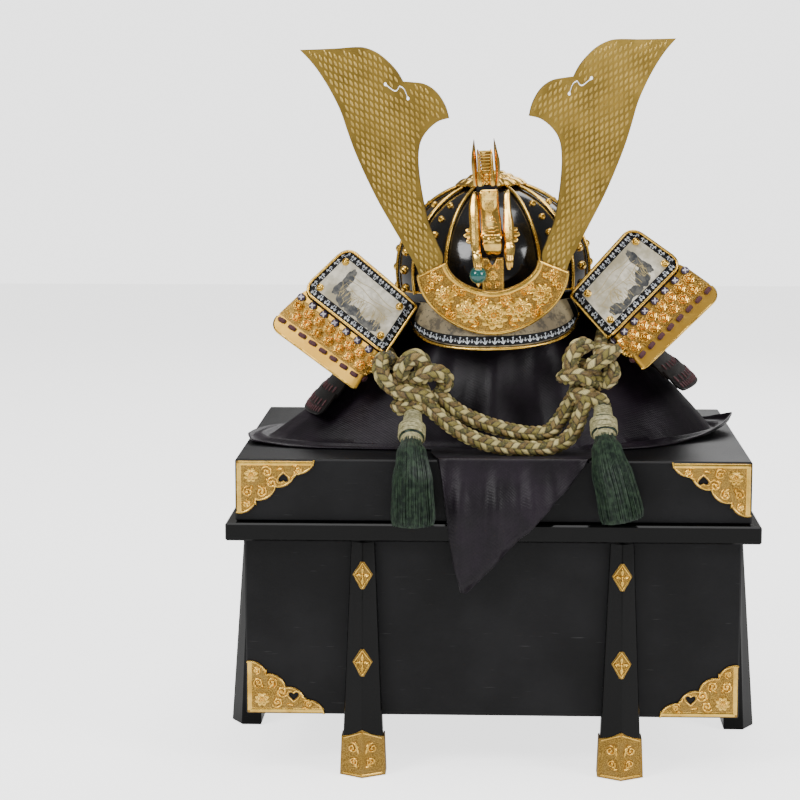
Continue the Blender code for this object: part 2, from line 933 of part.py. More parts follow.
def slit_loop():
    """The bracket-shaped cut near the horn's lobe: a thin line with a ball at each end."""
    middle_x, middle_z = 0.330 * horn_reach, 0.832 * horn_height
    ends = ((-0.055 * horn_reach, -0.052 * horn_height), (0.095 * horn_reach, 0.010 * horn_height))
    path = [ends[0], (-0.030 * horn_reach, -0.012 * horn_height), (0.0, 0.0)]
    path += [(0.030 * horn_reach, -0.020 * horn_height), ends[1]]
    thin = slit_radius * 0.35
    one_side = []
    other_side = []
    for number, (x, z) in enumerate(path):
        before = path[max(number - 1, 0)]
        after = path[min(number + 1, len(path) - 1)]
        along = Vector((after[0] - before[0], after[1] - before[1])).normalized()
        across = Vector((-along.y, along.x)) * thin
        one_side.append((middle_x + x + across.x, middle_z + z + across.y))
        other_side.append((middle_x + x - across.x, middle_z + z - across.y))

    def ball(end, toward):
        heading = atan2(toward[1] - end[1], toward[0] - end[0])
        points = []
        for step in range(5):
            turn = heading + radians(50) + radians(260) * step / 4
            points.append(
                (middle_x + end[0] + slit_radius * cos(turn), middle_z + end[1] + slit_radius * sin(turn))
            )
        return points

    return (
        one_side[1:-1]
        + ball(path[-1], path[-2])[::-1]
        + other_side[1:-1][::-1]
        + ball(path[0], path[1])[::-1]
    )


def make_horns(frame):
    gold = material("old gold plate", (0.55, 0.40, 0.16), 0.45, 1.0)
    slope = 2 * holder_sweep * horn_root_offset / holder_half_width**2
    spread = atan2(slope, 1.0)
    sagitta = holder_sweep * (horn_foot_half_width / holder_half_width) ** 2
    root_y = holder_depth(horn_root_offset) + holder_thickness + gap + sagitta
    outline = [
        ((share - 0.145) * horn_reach, horn_root_height + up * horn_height)
        for share, up in smooth_outline(HORN_OUTLINE, HORN_SHARP)
    ]
    slit = [(x - 0.145 * horn_reach, horn_root_height + z) for x, z in slit_loop()]
    for name, side in (("horn_left", -1), ("horn_right", 1)):

        def place(out, up, depth, side=side):
            x = side * (horn_root_offset + out * cos(spread) - depth * sin(spread))
            y = root_y + out * sin(spread) + depth * cos(spread)
            return Vector((x, y, up))

        plate(name, [outline, slit], horn_thickness, place, gold, frame)


# Crest: rows of (share across, share up, share of depth forward, share of width, share of width deep)
CREST_HEAD = (
    (0.03, 0.00, 0.00, 0.20, 0.16),
    (0.03, 0.06, 0.05, 0.23, 0.24),
    (0.03, 0.25, 0.20, 0.25, 0.30),
    (0.03, 0.42, 0.15, 0.30, 0.32),
    (0.03, 0.53, 0.00, 0.46, 0.34),
    (0.03, 0.58, -0.10, 0.34, 0.26),
)
CREST_HORN = (
    (0.16, 0.55, -0.10, 0.11, 0.11),
    (0.22, 0.66, -0.15, 0.12, 0.12),
    (0.28, 0.79, -0.15, 0.10, 0.10),
    (0.24, 0.90, -0.10, 0.07, 0.07),
    (0.19, 1.00, -0.05, 0.02, 0.02),
)
CREST_LEG = (
    (0.34, 0.54, 0.00, 0.11, 0.14),
    (0.40, 0.40, 0.25, 0.11, 0.13),
    (0.38, 0.22, 0.45, 0.10, 0.12),
    (0.37, 0.10, 0.60, 0.09, 0.11),
    (0.36, 0.02, 0.70, 0.12, 0.13),
    (0.34, -0.04, 0.72, 0.08, 0.09),
)


def crest_piece(name, table, side, behind, colour, frame, shift=crest_middle, sides=6):
    """A tapered rounded bar through a table's rows."""
    bm = bmesh.new()
    sections = []
    for across, up, forward, wide, deep in table:
        middle = Vector(
            (
                side * across * crest_width + shift,
                behind + post_depth / 2 - forward * crest_depth,
                crest_base + up * crest_height,
            )
        )
        ring = []
        for step in range(sides):
            turn = 2 * pi * step / sides + pi / sides
            ring.append(
                middle + Vector((wide * crest_width * cos(turn), deep * crest_width * sin(turn), 0.0))
            )
        sections.append(ring)
    loft(bm, sections)
    return finish_mesh(name, bm, colour, frame, smooth=50)


def make_crest(frame, behind):
    gilt = material("gilt", (0.83, 0.60, 0.26), 0.3, 1.0)
    green = material("green jewel", (0.05, 0.30, 0.24), 0.2)
    head = crest_piece("crest", CREST_HEAD, 1, behind, gilt, frame, sides=8)
    others = []
    for side in (-1, 1):
        horn = crest_piece(f"crest horn {side}", CREST_HORN, side, behind, gilt, frame, crest_horn_middle)
        others.append(horn)
        others.append(crest_piece(f"crest leg {side}", CREST_LEG, side, behind, gilt, frame))
    union(head, others)
    across, up, forward = CREST_LEG[-1][:3]
    bm = bmesh.new()
    bmesh.ops.create_uvsphere(bm, u_segments=12, v_segments=8, radius=jewel_radius)
    middle = Vector(
        (
            -across * crest_width + crest_middle,
            behind + post_depth / 2 - forward * crest_depth,
            crest_base + up * crest_height - jewel_radius - gap,
        )
    )
    bmesh.ops.translate(bm, vec=middle, verts=bm.verts[:])
    finish_mesh("crest_jewel", bm, green, frame, smooth=60)


# Neck guard: a master surface between two lines, U along the bowl and L at the first lame's hem


def hermite(start, start_pull, end, end_pull, t):
    return (
        (2 * t**3 - 3 * t**2 + 1) * start
        + (t**3 - 2 * t**2 + t) * start_pull
        + (3 * t**2 - 2 * t**3) * end
        + (t**3 - t**2) * end_pull
    )


def guard_columns():
    """Half of the guard, from the middle of the back to the turned-back wing's far end.

    Each column holds the upper point, the lower point, the neck flange's height
    and how much of the wing's corners is cut there.
    """
    seat = neck_clearance + lame_thickness / 2
    columns = []
    arc_steps = guard_arc_steps
    for step in range(arc_steps + 1):
        angle = pi - (pi - guard_front_angle) * step / arc_steps
        level = (angle - guard_front_angle) / (pi - guard_front_angle)
        slope = guard_side_slope + (guard_back_slope - guard_side_slope) * level**2
        upper = band_point(-angle, seat)
        lower = upper + first_lame * (band_normal(-angle) * cos(slope) - Vector((0, 0, sin(slope))))
        columns.append((upper, lower, neck_height, 0.0))
    upper, lower = columns[-1][:2]
    forward = Vector((sin(turn_lean), -cos(turn_lean), 0.0))
    heading = Vector((-cos(wing_sweep), sin(wing_sweep), 0.0)) * cos(wing_rise) + Vector((0, 0, sin(wing_rise)))
    inner_top = upper + forward * turn_reach
    inner_top += Vector((-turn_inset, 0, turn_rise))
    side = Vector((-0.594, -0.187, -0.780)).normalized()
    far_side = Vector((-0.765, -0.174, -0.622)).normalized()
    inner_low = inner_top + side * wing_inner_side
    turn_length = turn_reach * 1.45
    first_run = wing_corner * 0.7
    low_heading = (inner_top + heading * wing_upper + far_side * wing_outer_side - inner_low).normalized()
    for step in range(1, guard_turn_steps + 1):
        t = step / guard_turn_steps
        new_upper = hermite(upper, forward * turn_length, inner_top + heading * first_run, heading * turn_length, t)
        new_lower = hermite(
            lower, forward * turn_length, inner_low + low_heading * first_run, low_heading * turn_length, t
        )
        columns.append((new_upper, new_lower, neck_height * max(0.0, 1 - 2 * t), 0.0))
    far_top = inner_top + heading * wing_upper
    far_low = far_top + far_side * wing_outer_side
    start_top, start_low = columns[-1][:2]
    for share, cut in ((0.5, 0.0), (0.88, 0.0), (0.965, 0.3), (1.0, 1.0)):
        columns.append((start_top.lerp(far_top, share), start_low.lerp(far_low, share), 0.0, cut))
    return columns


def guard_grid(columns, top, bottom, offset, neck=False, rows=1, cut_top=True):
    """Points of one lame between two shares of the first lame's width, moved off the surface."""
    grid = [[] for _ in range(rows + 1 + (1 if neck else 0))]
    for number, (upper, lower, flange, cut) in enumerate(columns):
        before = columns[max(number - 1, 0)]
        after = columns[min(number + 1, len(columns) - 1)]
        width = (lower - upper).length
        shorten = cut * wing_corner / width
        start = top + (shorten if cut_top else 0.0)
        end = bottom - shorten
        for row in range(rows + 1):
            share = start + (end - start) * row / rows
            point = upper.lerp(lower, share)
            run = after[0].lerp(after[1], share) - before[0].lerp(before[1], share)
            normal = (lower - upper).cross(run).normalized()
            grid[row + (1 if neck else 0)].append(point + normal * offset)
        if neck:
            point = upper.lerp(lower, start) + Vector((0, 0, max(flange, 0.0004)))
            run = after[0] - before[0]
            slant = (lower - upper).cross(run).normalized()
            level = Vector((slant.x, slant.y, 0.0)).normalized() if flange > 0 else slant
            share = flange / neck_height
            grid[0].append(point + (slant * (1 - share) + level * share).normalized() * offset)
    return grid


def mirrored(grid):
    """A half grid from the middle of the back outwards, joined with its mirror image."""
    full = []
    for row in grid:
        left = [Vector(point) for point in row]
        right = [Vector((-point.x, point.y, point.z)) for point in row]
        left[0].x = 0.0
        full.append(left[::-1] + right[1:])
    return full


def other_side(grid):
    return [[Vector((-point.x, point.y, point.z)) for point in row] for row in grid]


def make_guard(frame):
    gold = material("gilt lame", (0.80, 0.55, 0.20), 0.35, 1.0)
    dark = material("dark lame lacquer", (0.012, 0.010, 0.010), 0.35)
    leather = material("picture leather", (0.62, 0.60, 0.52), 0.55)
    gilt = material("gilt", (0.83, 0.60, 0.26), 0.3, 1.0)
    columns = guard_columns()
    ring_count = guard_arc_steps + 1
    half = lame_thickness / 2
    starts = [0.0, first_lame - lame_overlap]
    ends = [first_lame, first_lame - lame_overlap + second_lame]
    for _ in range(3):
        starts.append(ends[-1] - lame_overlap)
        ends.append(starts[-1] + lower_lame)
    for number in range(5):
        top = starts[number] / first_lame
        bottom = ends[number] / first_lame
        used = columns
        if number >= 2:
            trimmed = list(columns[:ring_count])
            trimmed[-1] = (*trimmed[-1][:3], 0.55)
            trimmed[-2] = (*trimmed[-2][:3], 0.12)
            used = trimmed
        offset = number * lame_step
        grids = [
            guard_grid(used, top, bottom, offset + side, neck=number == 0, cut_top=number < 2)
            for side in (half, -half)
        ]
        colour = gold if number == 1 else dark
        wall(f"lame_{number + 1}", mirrored(grids[0]), mirrored(grids[1]), colour, frame)

    wing = columns[ring_count + facing_first_column :]
    face = -half - facing_clearance
    margin = leather_margin / first_lame
    rows = [
        guard_grid(wing, margin, 1 - margin, face, rows=2),
        guard_grid(wing, margin, 1 - margin, face - leather_thickness, rows=2),
    ]
    off = face - leather_thickness - gap - panel_rim_radius
    loop_grid = guard_grid(wing, margin * 0.8, 1 - margin * 0.8, off, rows=4)
    loop = loop_grid[0] + [row[-1] for row in loop_grid[1:-1]] + loop_grid[-1][::-1]
    loop += [row[0] for row in loop_grid[1:-1]][::-1]
    behind = lame_step - half - facing_clearance
    relief_top = 1 + 0.004 / first_lame
    relief_bottom = ends[1] / first_lame - 0.011 / first_lame
    relief = [
        guard_grid(wing, relief_top, relief_bottom, behind, rows=1, cut_top=False),
        guard_grid(wing, relief_top, relief_bottom, behind - relief_thickness, rows=1, cut_top=False),
    ]
    for side in ("left", "right"):
        flip = other_side if side == "right" else lambda grid: grid
        wall(f"picture_panel_{side}", flip(rows[0]), flip(rows[1]), leather, frame)
        ring_tube(f"panel_rim_{side}", flip([loop])[0], panel_rim_radius, gilt, parent=frame)
        wall(f"flower_plate_{side}", flip(relief[0]), flip(relief[1]), gilt, frame)


# Stand


def make_stand():
    wood = material("plain wood", (0.55, 0.40, 0.24), 0.6)
    box(
        "stand_base",
        (-base_width / 2, -base_front, lid_top + gap),
        (base_width / 2, base_back, base_top),
        wood,
        edge_round / 2,
    )
    columns = 16
    rings = [
        [
            Vector((post_radius * cos(2 * pi * c / columns), post_radius * sin(2 * pi * c / columns), base_top + gap))
            for c in range(columns)
        ]
    ]
    neck_z = bowl_ring_height(bowl_half_width * head_share) - head_skirt
    rings.append([in_helmet((p.x, p.y, neck_z - post_radius)) for p in rings[0]])
    off = -(bowl_wall + 2 * cap_clearance + cloth_thickness)
    for share, drop in ((head_share, head_skirt), (head_share, 0.0)):
        z = bowl_ring_height(bowl_half_width * share)
        ring = []
        for column in range(columns):
            point = bowl_point(2 * pi * column / columns + pi / 2, z, off)
            ring.append(in_helmet(point - Vector((0, 0, drop))))
        rings.append(ring)
    for share in (head_share * 0.68, head_share * 0.28):
        z = bowl_ring_height(bowl_half_width * share)
        ring = [
            in_helmet(bowl_point(2 * pi * column / columns + pi / 2, z, off)) for column in range(columns)
        ]
        rings.append(ring)
    bm = bmesh.new()
    loft(bm, rings)
    finish_mesh("stand_post", bm, wood, smooth=40)


# Cloth: azimuth from the front in degrees (+ to the right), the radius at which it meets
# the lid, how sharply it flares, the hem's radius on the lid, and how far it hangs over the edge
EDGE = 1.0
CLOTH = (
    (-180, 0.105, 1.3, EDGE, 0.062),
    (-171, 0.105, 1.3, EDGE, 0.026),
    (-166, 0.105, 1.3, EDGE, 0.0),
    (-152, 0.110, 1.4, 0.128, 0.0),
    (-132, 0.128, 1.6, 0.136, 0.0),
    (-108, 0.150, 1.7, 0.172, 0.0),
    (-91, 0.185, 1.6, 0.206, 0.0),
    (-78, 0.203, 1.5, 0.220, 0.0),
    (-70, 0.200, 1.5, 0.222, 0.0),
    (-62, 0.182, 1.5, 0.203, 0.0),
    (-56, 0.162, 1.5, 0.186, 0.0),
    (-51, 0.146, 1.6, 0.130, 0.0),
    (-44, 0.128, 1.5, 0.116, 0.0),
    (-28, 0.108, 1.4, 0.112, 0.0),
    (-15.5, 0.105, 1.3, EDGE, 0.0),
    (-13.5, 0.105, 1.3, EDGE, 0.026),
    (-11.5, 0.105, 1.3, EDGE, 0.075),
    (-8, 0.105, 1.3, EDGE, 0.112),
    (2, 0.105, 1.3, EDGE, 0.086),
    (12, 0.105, 1.3, EDGE, 0.050),
    (23, 0.106, 1.3, EDGE, 0.012),
    (26, 0.107, 1.3, EDGE, 0.0),
    (40, 0.124, 1.4, 0.136, 0.0),
    (57, 0.146, 1.2, 0.160, 0.0),
    (68, 0.158, 1.0, 0.171, 0.0),
    (79, 0.176, 0.85, 0.189, 0.0),
    (89, 0.192, 0.9, 0.206, 0.0),
    (97, 0.198, 0.9, 0.217, 0.0),
    (105, 0.180, 1.0, 0.202, 0.0),
    (118, 0.150, 1.2, 0.168, 0.0),
    (136, 0.124, 1.6, 0.130, 0.0),
    (156, 0.108, 1.4, 0.126, 0.0),
    (166, 0.105, 1.3, EDGE, 0.0),
    (171, 0.105, 1.3, EDGE, 0.026),
)
FLARE_STEPS = 5
FLAT_STEPS = 2
HANG_STEPS = 2


def cloth_line(azimuth, foot, flare, hem, hang):
    """The cloth's line from the bowl's rim outwards at one azimuth, as (radius, height)."""
    turn = radians(azimuth)
    floor_z = lid_top + 2 * gap + cloth_thickness
    hang_z = helmet_height - bowl_wall
    bend_radius = edge_round + 2 * gap + cloth_thickness
    to_front = max(abs(cos(turn)), 0.05)
    edge = (lid_depth / 2 + 2 * gap + cloth_thickness) / to_front
    hem = min(hem, edge)
    last = 1.0 if hem >= foot else (hem / foot) ** 1.2
    line = []
    for step in range(1, FLARE_STEPS + 1):
        share = last * step / FLARE_STEPS
        fold = cloth_fold * share * cos(cloth_folds * turn + 0.9 * sin(2 * turn)) * (1.35 - share)
        radius = cloth_neck_radius + (foot - cloth_neck_radius) * share**flare + 2 * fold
        line.append((radius, hang_z - (hang_z - floor_z) * share))
    start, z = line[-1]
    hem = max(hem, start + hem_least_run)
    flat_end = min(hem, edge - bend_radius)
    for step in range(1, FLAT_STEPS + 1):
        share = step / FLAT_STEPS
        lift = 0.0
        if step < FLAT_STEPS and lobe_azimuths[0] < abs(azimuth) < lobe_azimuths[1]:
            lift = lobe_ripple
        line.append((start + (flat_end - bend_margin - start) * share, z + lift))
    for step in (0, 1, 2):
        share = step / 2
        if hang > 0:
            bend = pi / 2 * share
            radius = edge - bend_radius + bend_radius * sin(bend)
            line.append((radius, z - bend_radius * (1 - cos(bend))))
        else:
            line.append((flat_end + (hem - flat_end) * share - bend_margin * (1 - share) * 2 / 3, z))
    reach, low = line[-1]
    for step in range(1, HANG_STEPS + 1):
        share = step / HANG_STEPS
        if hang > 0:
            line.append((reach + rim_reach * min(1, hang * share / rim_fall), low - hang * share))
        else:
            line.append((reach + 0.0005 * step, low))
    return line


def make_cloth():
    satin = material("dark satin cloth", (0.022, 0.015, 0.024), 0.5)
    stations = []
    for low, high in zip(CLOTH, CLOTH[1:] + ((180, *CLOTH[0][1:]),)):
        stations.append(low)
        if high[0] - low[0] > widest_station_gap:
            middle = [(a + b) / 2 for a, b in zip(low, high)]
            middle[3] = (min(low[3], 0.2) + min(high[3], 0.2)) / 2
            stations.append(tuple(middle))
    count = len(stations)
    off = -(bowl_wall + cap_clearance)
    rows = []
    for share in (0.0, head_share * 0.5, cloth_head_share):
        z = bowl_ring_height(bowl_half_width * share)
        row = []
        for station in stations:
            point = bowl_point(radians(station[0]), z, off)
            if share == 0.0:
                point = Vector((0.0, 0.0, bowl_rise + off))
            row.append(in_helmet(point))
        rows.append(row)
    edge_z = bowl_ring_height(bowl_half_width * cloth_head_share)
    for share in (0.35, 1.0):
        row = []
        for station in stations:
            turn = radians(station[0])
            top = bowl_point(turn, edge_z, off)
            low = Vector((cloth_neck_radius * sin(turn), -cloth_neck_radius * cos(turn), 0.0))
            row.append(in_helmet(top.lerp(low, share)))
        rows.append(row)
    lines = [cloth_line(*station) for station in stations]
    for step in range(len(lines[0])):
        row = []
        for station, line in zip(stations, lines):
            turn = radians(station[0])
            radius, z = line[step]
            row.append(Vector((radius * sin(turn), -radius * cos(turn), z)))
        rows.append(row)
    inner = [[in_helmet((0, 0, bowl_rise + off - cloth_thickness))] * count]
    for number in range(1, len(rows)):
        row = rows[number]
        above = rows[max(number - 1, 1)]
        below = rows[min(number + 1, len(rows) - 1)]
        new_row = []
        for column, point in enumerate(row):
            run = row[(column + 1) % count] - row[column - 1]
            normal = (below[column] - above[column]).cross(run).normalized()
            new_row.append(point - normal * cloth_thickness)
        inner.append(new_row)
    wall("display_cloth", rows, inner, satin, wrap=True, pole=True, smooth=60)


# Cord: routes are chosen by hand, from the left knot's side to the right one's

ROPE_FRONT_LOWER = (
    (-0.0510, -0.1389, 0.3083),
    (-0.0340, -0.1430, 0.2950),
    (-0.0160, -0.1440, 0.2850),
    (0.0040, -0.1445, 0.2790),
    (0.0240, -0.1445, 0.2772),
    (0.0440, -0.1440, 0.2775),
    (0.0600, -0.1420, 0.2830),
    (0.0690, -0.1400, 0.2930),
    (0.0761, -0.1381, 0.3143),
)
ROPE_FRONT_UPPER = (
    (-0.0403, -0.1289, 0.3148),
    (-0.0280, -0.1310, 0.3055),
    (-0.0100, -0.1320, 0.2975),
    (0.0100, -0.1330, 0.2915),
    (0.0300, -0.1335, 0.2880),
    (0.0450, -0.1325, 0.2890),
    (0.0540, -0.1300, 0.2960),
    (0.0665, -0.1271, 0.3160),
)
ROPE_BACK = (
    (-0.0904, -0.1209, 0.3507),
    (-0.0870, -0.1010, 0.3450),
    (-0.0895, -0.0840, 0.3445),
    (-0.0930, -0.0600, 0.3470),
    (-0.0985, -0.0300, 0.3500),
    (-0.1020, 0.0020, 0.3515),
    (-0.0970, 0.0380, 0.3520),
    (-0.0740, 0.0740, 0.3520),
    (-0.0300, 0.0980, 0.3530),
    (0.0150, 0.1000, 0.3550),
    (0.0640, 0.0840, 0.3590),
    (0.0930, 0.0480, 0.3670),
    (0.1020, 0.0020, 0.3720),
    (0.0975, -0.0400, 0.3665),
    (0.0945, -0.0700, 0.3600),
    (0.0920, -0.0950, 0.3530),
    (0.0947, -0.1222, 0.3495),
)

# Knots: each strand is a short line of (across, forward, up) from the knot's middle
LEFT_KNOT_MIDDLE = (-0.0665, -0.1300, 0.3290)
LEFT_KNOT = (
    ((-0.027, 0.006, 0.026), (-0.029, 0.000, 0.014), (-0.024, -0.004, 0.003), (-0.012, -0.002, -0.006)),
    ((-0.012, 0.000, 0.002), (-0.010, -0.004, 0.015), (-0.001, -0.004, 0.024), (0.007, 0.000, 0.018), (0.006, 0.004, 0.004)),
    ((-0.004, 0.000, 0.003), (0.008, -0.005, 0.009), (0.019, -0.004, 0.011), (0.026, 0.002, 0.004), (0.025, 0.006, -0.008)),
    ((-0.020, 0.000, -0.006), (-0.008, -0.007, -0.006), (0.006, -0.007, -0.009), (0.018, -0.003, -0.015)),
    ((-0.019, 0.000, -0.017), (-0.008, -0.005, -0.019), (0.005, -0.005, -0.017), (0.014, 0.002, -0.013)),
)
RIGHT_KNOT_MIDDLE = (0.0790, -0.1300, 0.3370)
RIGHT_KNOT = (
    ((0.005, 0.003, 0.026), (-0.007, -0.002, 0.025), (-0.014, -0.004, 0.013), (-0.010, 0.000, 0.002)),
    ((-0.001, 0.000, 0.008), (0.006, -0.006, 0.011), (0.017, -0.004, 0.019), (0.027, 0.003, 0.023)),
    ((-0.024, 0.002, -0.002), (-0.014, -0.005, 0.001), (-0.003, -0.006, 0.000), (0.005, -0.001, -0.007)),
    ((0.022, 0.004, 0.012), (0.021, 0.000, 0.002), (0.015, 0.000, -0.010)),
    ((-0.015, 0.000, -0.014), (-0.003, -0.006, -0.016), (0.009, -0.005, -0.020), (0.018, 0.001, -0.026)),
)
KNOT_CORE = 0.0135

# Tassels: the line their middle follows over the lid's edge, then (share of the way down,
# share of the skirt's radius)
LEFT_TASSEL = (
    (-0.0675, -0.1396, 0.3048),
    (-0.0680, -0.1530, 0.2925),
    (-0.0680, -0.1675, 0.2805),
    (-0.0670, -0.1750, 0.2670),
    (-0.0665, -0.1785, 0.2450),
    (-0.0660, -0.1785, 0.2175),
)
RIGHT_TASSEL = (
    (0.0923, -0.1385, 0.3107),
    (0.0928, -0.1540, 0.2950),
    (0.0945, -0.1675, 0.2815),
    (0.0970, -0.1750, 0.2680),
    (0.1030, -0.1785, 0.2460),
    (0.1080, -0.1785, 0.2230),
)
TASSEL_PROFILE = (
    (0.00, 0.40),
    (0.12, 0.44),
    (0.16, 0.62),
    (0.26, 0.62),
    (0.31, 0.50),
    (0.42, 0.68),
    (0.65, 0.92),
    (0.95, 1.00),
    (1.00, 0.90),
)
TASSEL_LOCKS = 8


def knot_solid(name, middle, strands, colour):
    """A knot's outer shape: the strands that show, fused round a core."""
    bm = bmesh.new()
    bmesh.ops.create_uvsphere(bm, u_segments=8, v_segments=6, radius=KNOT_CORE)
    bmesh.ops.scale(bm, vec=(1.25, 0.75, 1.25), verts=bm.verts[:])
    bmesh.ops.translate(bm, vec=middle, verts=bm.verts[:])
    core = finish_mesh(name, bm, colour, smooth=60)
    helpers = []
    for number, strand in enumerate(strands):
        points = [Vector(middle) + Vector(point) for point in strand]
        path = smooth_path(points, rope_radius * 1.7)
        radii = [rope_radius * 1.04] * len(path)
        radii[0] = radii[-1] = rope_radius * 0.75
        helpers.append(tube(f"{name} strand {number}", path, radii, colour))
    return union(core, helpers)


def rope(name, route, colour):
    """A hanging stretch of rope: a line with a round bevel and filled ends."""
    curve = bpy.data.curves.new(name, "CURVE")
    curve.dimensions = "3D"
    curve.bevel_depth = rope_radius
    curve.bevel_resolution = 1
    curve.use_fill_caps = True
    spline = curve.splines.new("POLY")
    points = smooth_path(route, rope_radius * 4)
    spline.points.add(len(points) - 1)
    for target, point in zip(spline.points, points):
        target.co = (*point, 1.0)
    curve.materials.append(colour)
    part = bpy.data.objects.new(name, curve)
    bpy.context.scene.collection.objects.link(part)
    return part


def tassel(name, line, colour):
    """A tassel in locks, from its bound neck to the cut end of its skirt."""
    fine = smooth_path(line, rope_radius / 4)
    last = len(fine) - 1
    count = TASSEL_LOCKS * 2
    sections = []
    for share, radius in TASSEL_PROFILE:
        here = round(share * last)
        axis = (fine[min(here + 1, last)] - fine[max(here - 1, 0)]).normalized()
        side = Vector((1, 0, 0)).cross(axis).normalized()
        other = axis.cross(side)
        ring = []
        for step in range(count):
            turn = 2 * pi * step / count
            lock = 1 - (0.10 if share > 0.35 else 0.0) * (0.5 + 0.5 * cos(TASSEL_LOCKS * turn))
            reach = tassel_skirt_radius * radius * lock
            ring.append(fine[here] + reach * (cos(turn) * side + sin(turn) * other))
        sections.append(ring)
    bm = bmesh.new()
    loft(bm, sections)
    return finish_mesh(name, bm, colour, smooth=50)


def make_cord():
    twist = material("olive and cream cord", (0.45, 0.40, 0.22), 0.7)
    green = material("green tassel thread", (0.03, 0.05, 0.03), 0.7)
    rope("rope_front_lower", ROPE_FRONT_LOWER, twist)
    rope("rope_front_upper", ROPE_FRONT_UPPER, twist)
    rope("rope_back", ROPE_BACK, twist)
    knot_solid("knot_left", LEFT_KNOT_MIDDLE, LEFT_KNOT, twist)
    knot_solid("knot_right", RIGHT_KNOT_MIDDLE, RIGHT_KNOT, twist)
    tassel("tassel_left", LEFT_TASSEL, green)
    tassel("tassel_right", RIGHT_TASSEL, green)


clear_scene()
make_chest()
make_legs()
make_leg_fittings()
make_corner_plates()
make_stand()
helmet = helmet_frame("helmet frame", helmet_roll)
make_bowl(helmet)
make_visor(helmet)
post_back = make_holder(helmet)
make_horns(helmet)
make_crest(helmet, post_back)
make_guard(helmet_frame("guard frame", guard_roll))
make_cloth()
make_cord()
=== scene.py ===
"""Festival war helmet on its cloth, stand and storage chest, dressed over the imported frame.

Metres, +Z up, -Y to the front of the helmet.
"""

import bpy
import bmesh
import random
from math import atan2, cos, exp, hypot, pi, radians, sin, sqrt
from mathutils import Matrix, Vector
from mathutils.geometry import tessellate_polygon


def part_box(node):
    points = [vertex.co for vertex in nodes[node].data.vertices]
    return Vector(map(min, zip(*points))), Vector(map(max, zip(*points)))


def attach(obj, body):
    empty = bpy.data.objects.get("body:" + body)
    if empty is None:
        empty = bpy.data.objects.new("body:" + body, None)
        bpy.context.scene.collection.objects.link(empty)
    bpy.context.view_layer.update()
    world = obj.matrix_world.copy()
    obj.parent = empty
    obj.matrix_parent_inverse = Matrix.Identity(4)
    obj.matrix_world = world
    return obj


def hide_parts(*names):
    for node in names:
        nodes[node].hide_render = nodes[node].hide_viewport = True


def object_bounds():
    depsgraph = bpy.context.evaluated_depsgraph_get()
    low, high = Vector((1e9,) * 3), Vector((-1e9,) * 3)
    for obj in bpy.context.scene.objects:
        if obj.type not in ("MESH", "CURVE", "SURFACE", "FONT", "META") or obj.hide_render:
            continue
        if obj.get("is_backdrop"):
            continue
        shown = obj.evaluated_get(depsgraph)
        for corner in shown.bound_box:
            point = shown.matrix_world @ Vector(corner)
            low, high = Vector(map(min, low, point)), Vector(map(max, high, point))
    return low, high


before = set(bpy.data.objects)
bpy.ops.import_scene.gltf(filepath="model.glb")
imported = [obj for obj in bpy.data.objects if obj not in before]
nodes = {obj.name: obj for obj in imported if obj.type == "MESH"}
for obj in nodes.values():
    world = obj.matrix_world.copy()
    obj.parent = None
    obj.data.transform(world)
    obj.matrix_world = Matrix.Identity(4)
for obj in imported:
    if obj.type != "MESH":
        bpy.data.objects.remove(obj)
cad_low, cad_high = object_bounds()

# Studio: the set stands on a white sweep with a large soft light on each side and one above,
# and is seen by a long lens from a little above the helmet.
floor_size = 9.0
camera_place = (0.002, -2.145, 0.594)
camera_turn = radians(2.30)
camera_tip = radians(7.855)
camera_lens = 108.0
soft_lights = (
    ("key softbox", (-1.5, -1.6, 1.7), (0.0, 0.0, 0.35), 1.0, 40.0),
    ("side softbox", (1.7, -1.3, 1.3), (0.0, 0.0, 0.35), 0.9, 28.0),
    ("top softbox", (0.0, -0.2, 2.4), (0.0, 0.0, 0.3), 1.3, 30.0),
    ("front softbox", (-0.3, -2.7, 1.0), (0.0, 0.0, 0.42), 0.6, 3.0),
    ("back softbox", (0.4, 2.2, 1.6), (0.0, 0.0, 0.4), 1.4, 20.0),
)


def plain_material(name, colour, roughness=0.5, metallic=0.0, coat=0.0, specular=0.5, sheen=0.0):
    """A Principled material, with its shader and tree to build on."""
    finish = bpy.data.materials.new(name)
    finish.use_nodes = True
    shader = finish.node_tree.nodes["Principled BSDF"]
    values = {"Base Color": (*colour, 1.0), "Roughness": roughness, "Metallic": metallic}
    values |= {"Coat Weight": coat, "Specular IOR Level": specular, "Sheen Weight": sheen}
    for socket, value in values.items():
        shader.inputs[socket].default_value = value
    return finish, shader, finish.node_tree


def new_piece(name, mesh, slot, *stands_for, smooth=45):
    """Puts a finished mesh into the scene as a piece that stands with the set."""
    mesh.shade_smooth()
    mesh.set_sharp_from_angle(angle=radians(smooth))
    piece = bpy.data.objects.new(name, mesh)
    bpy.context.scene.collection.objects.link(piece)
    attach(piece, "root")
    if stands_for:
        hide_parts(*stands_for)
    return piece


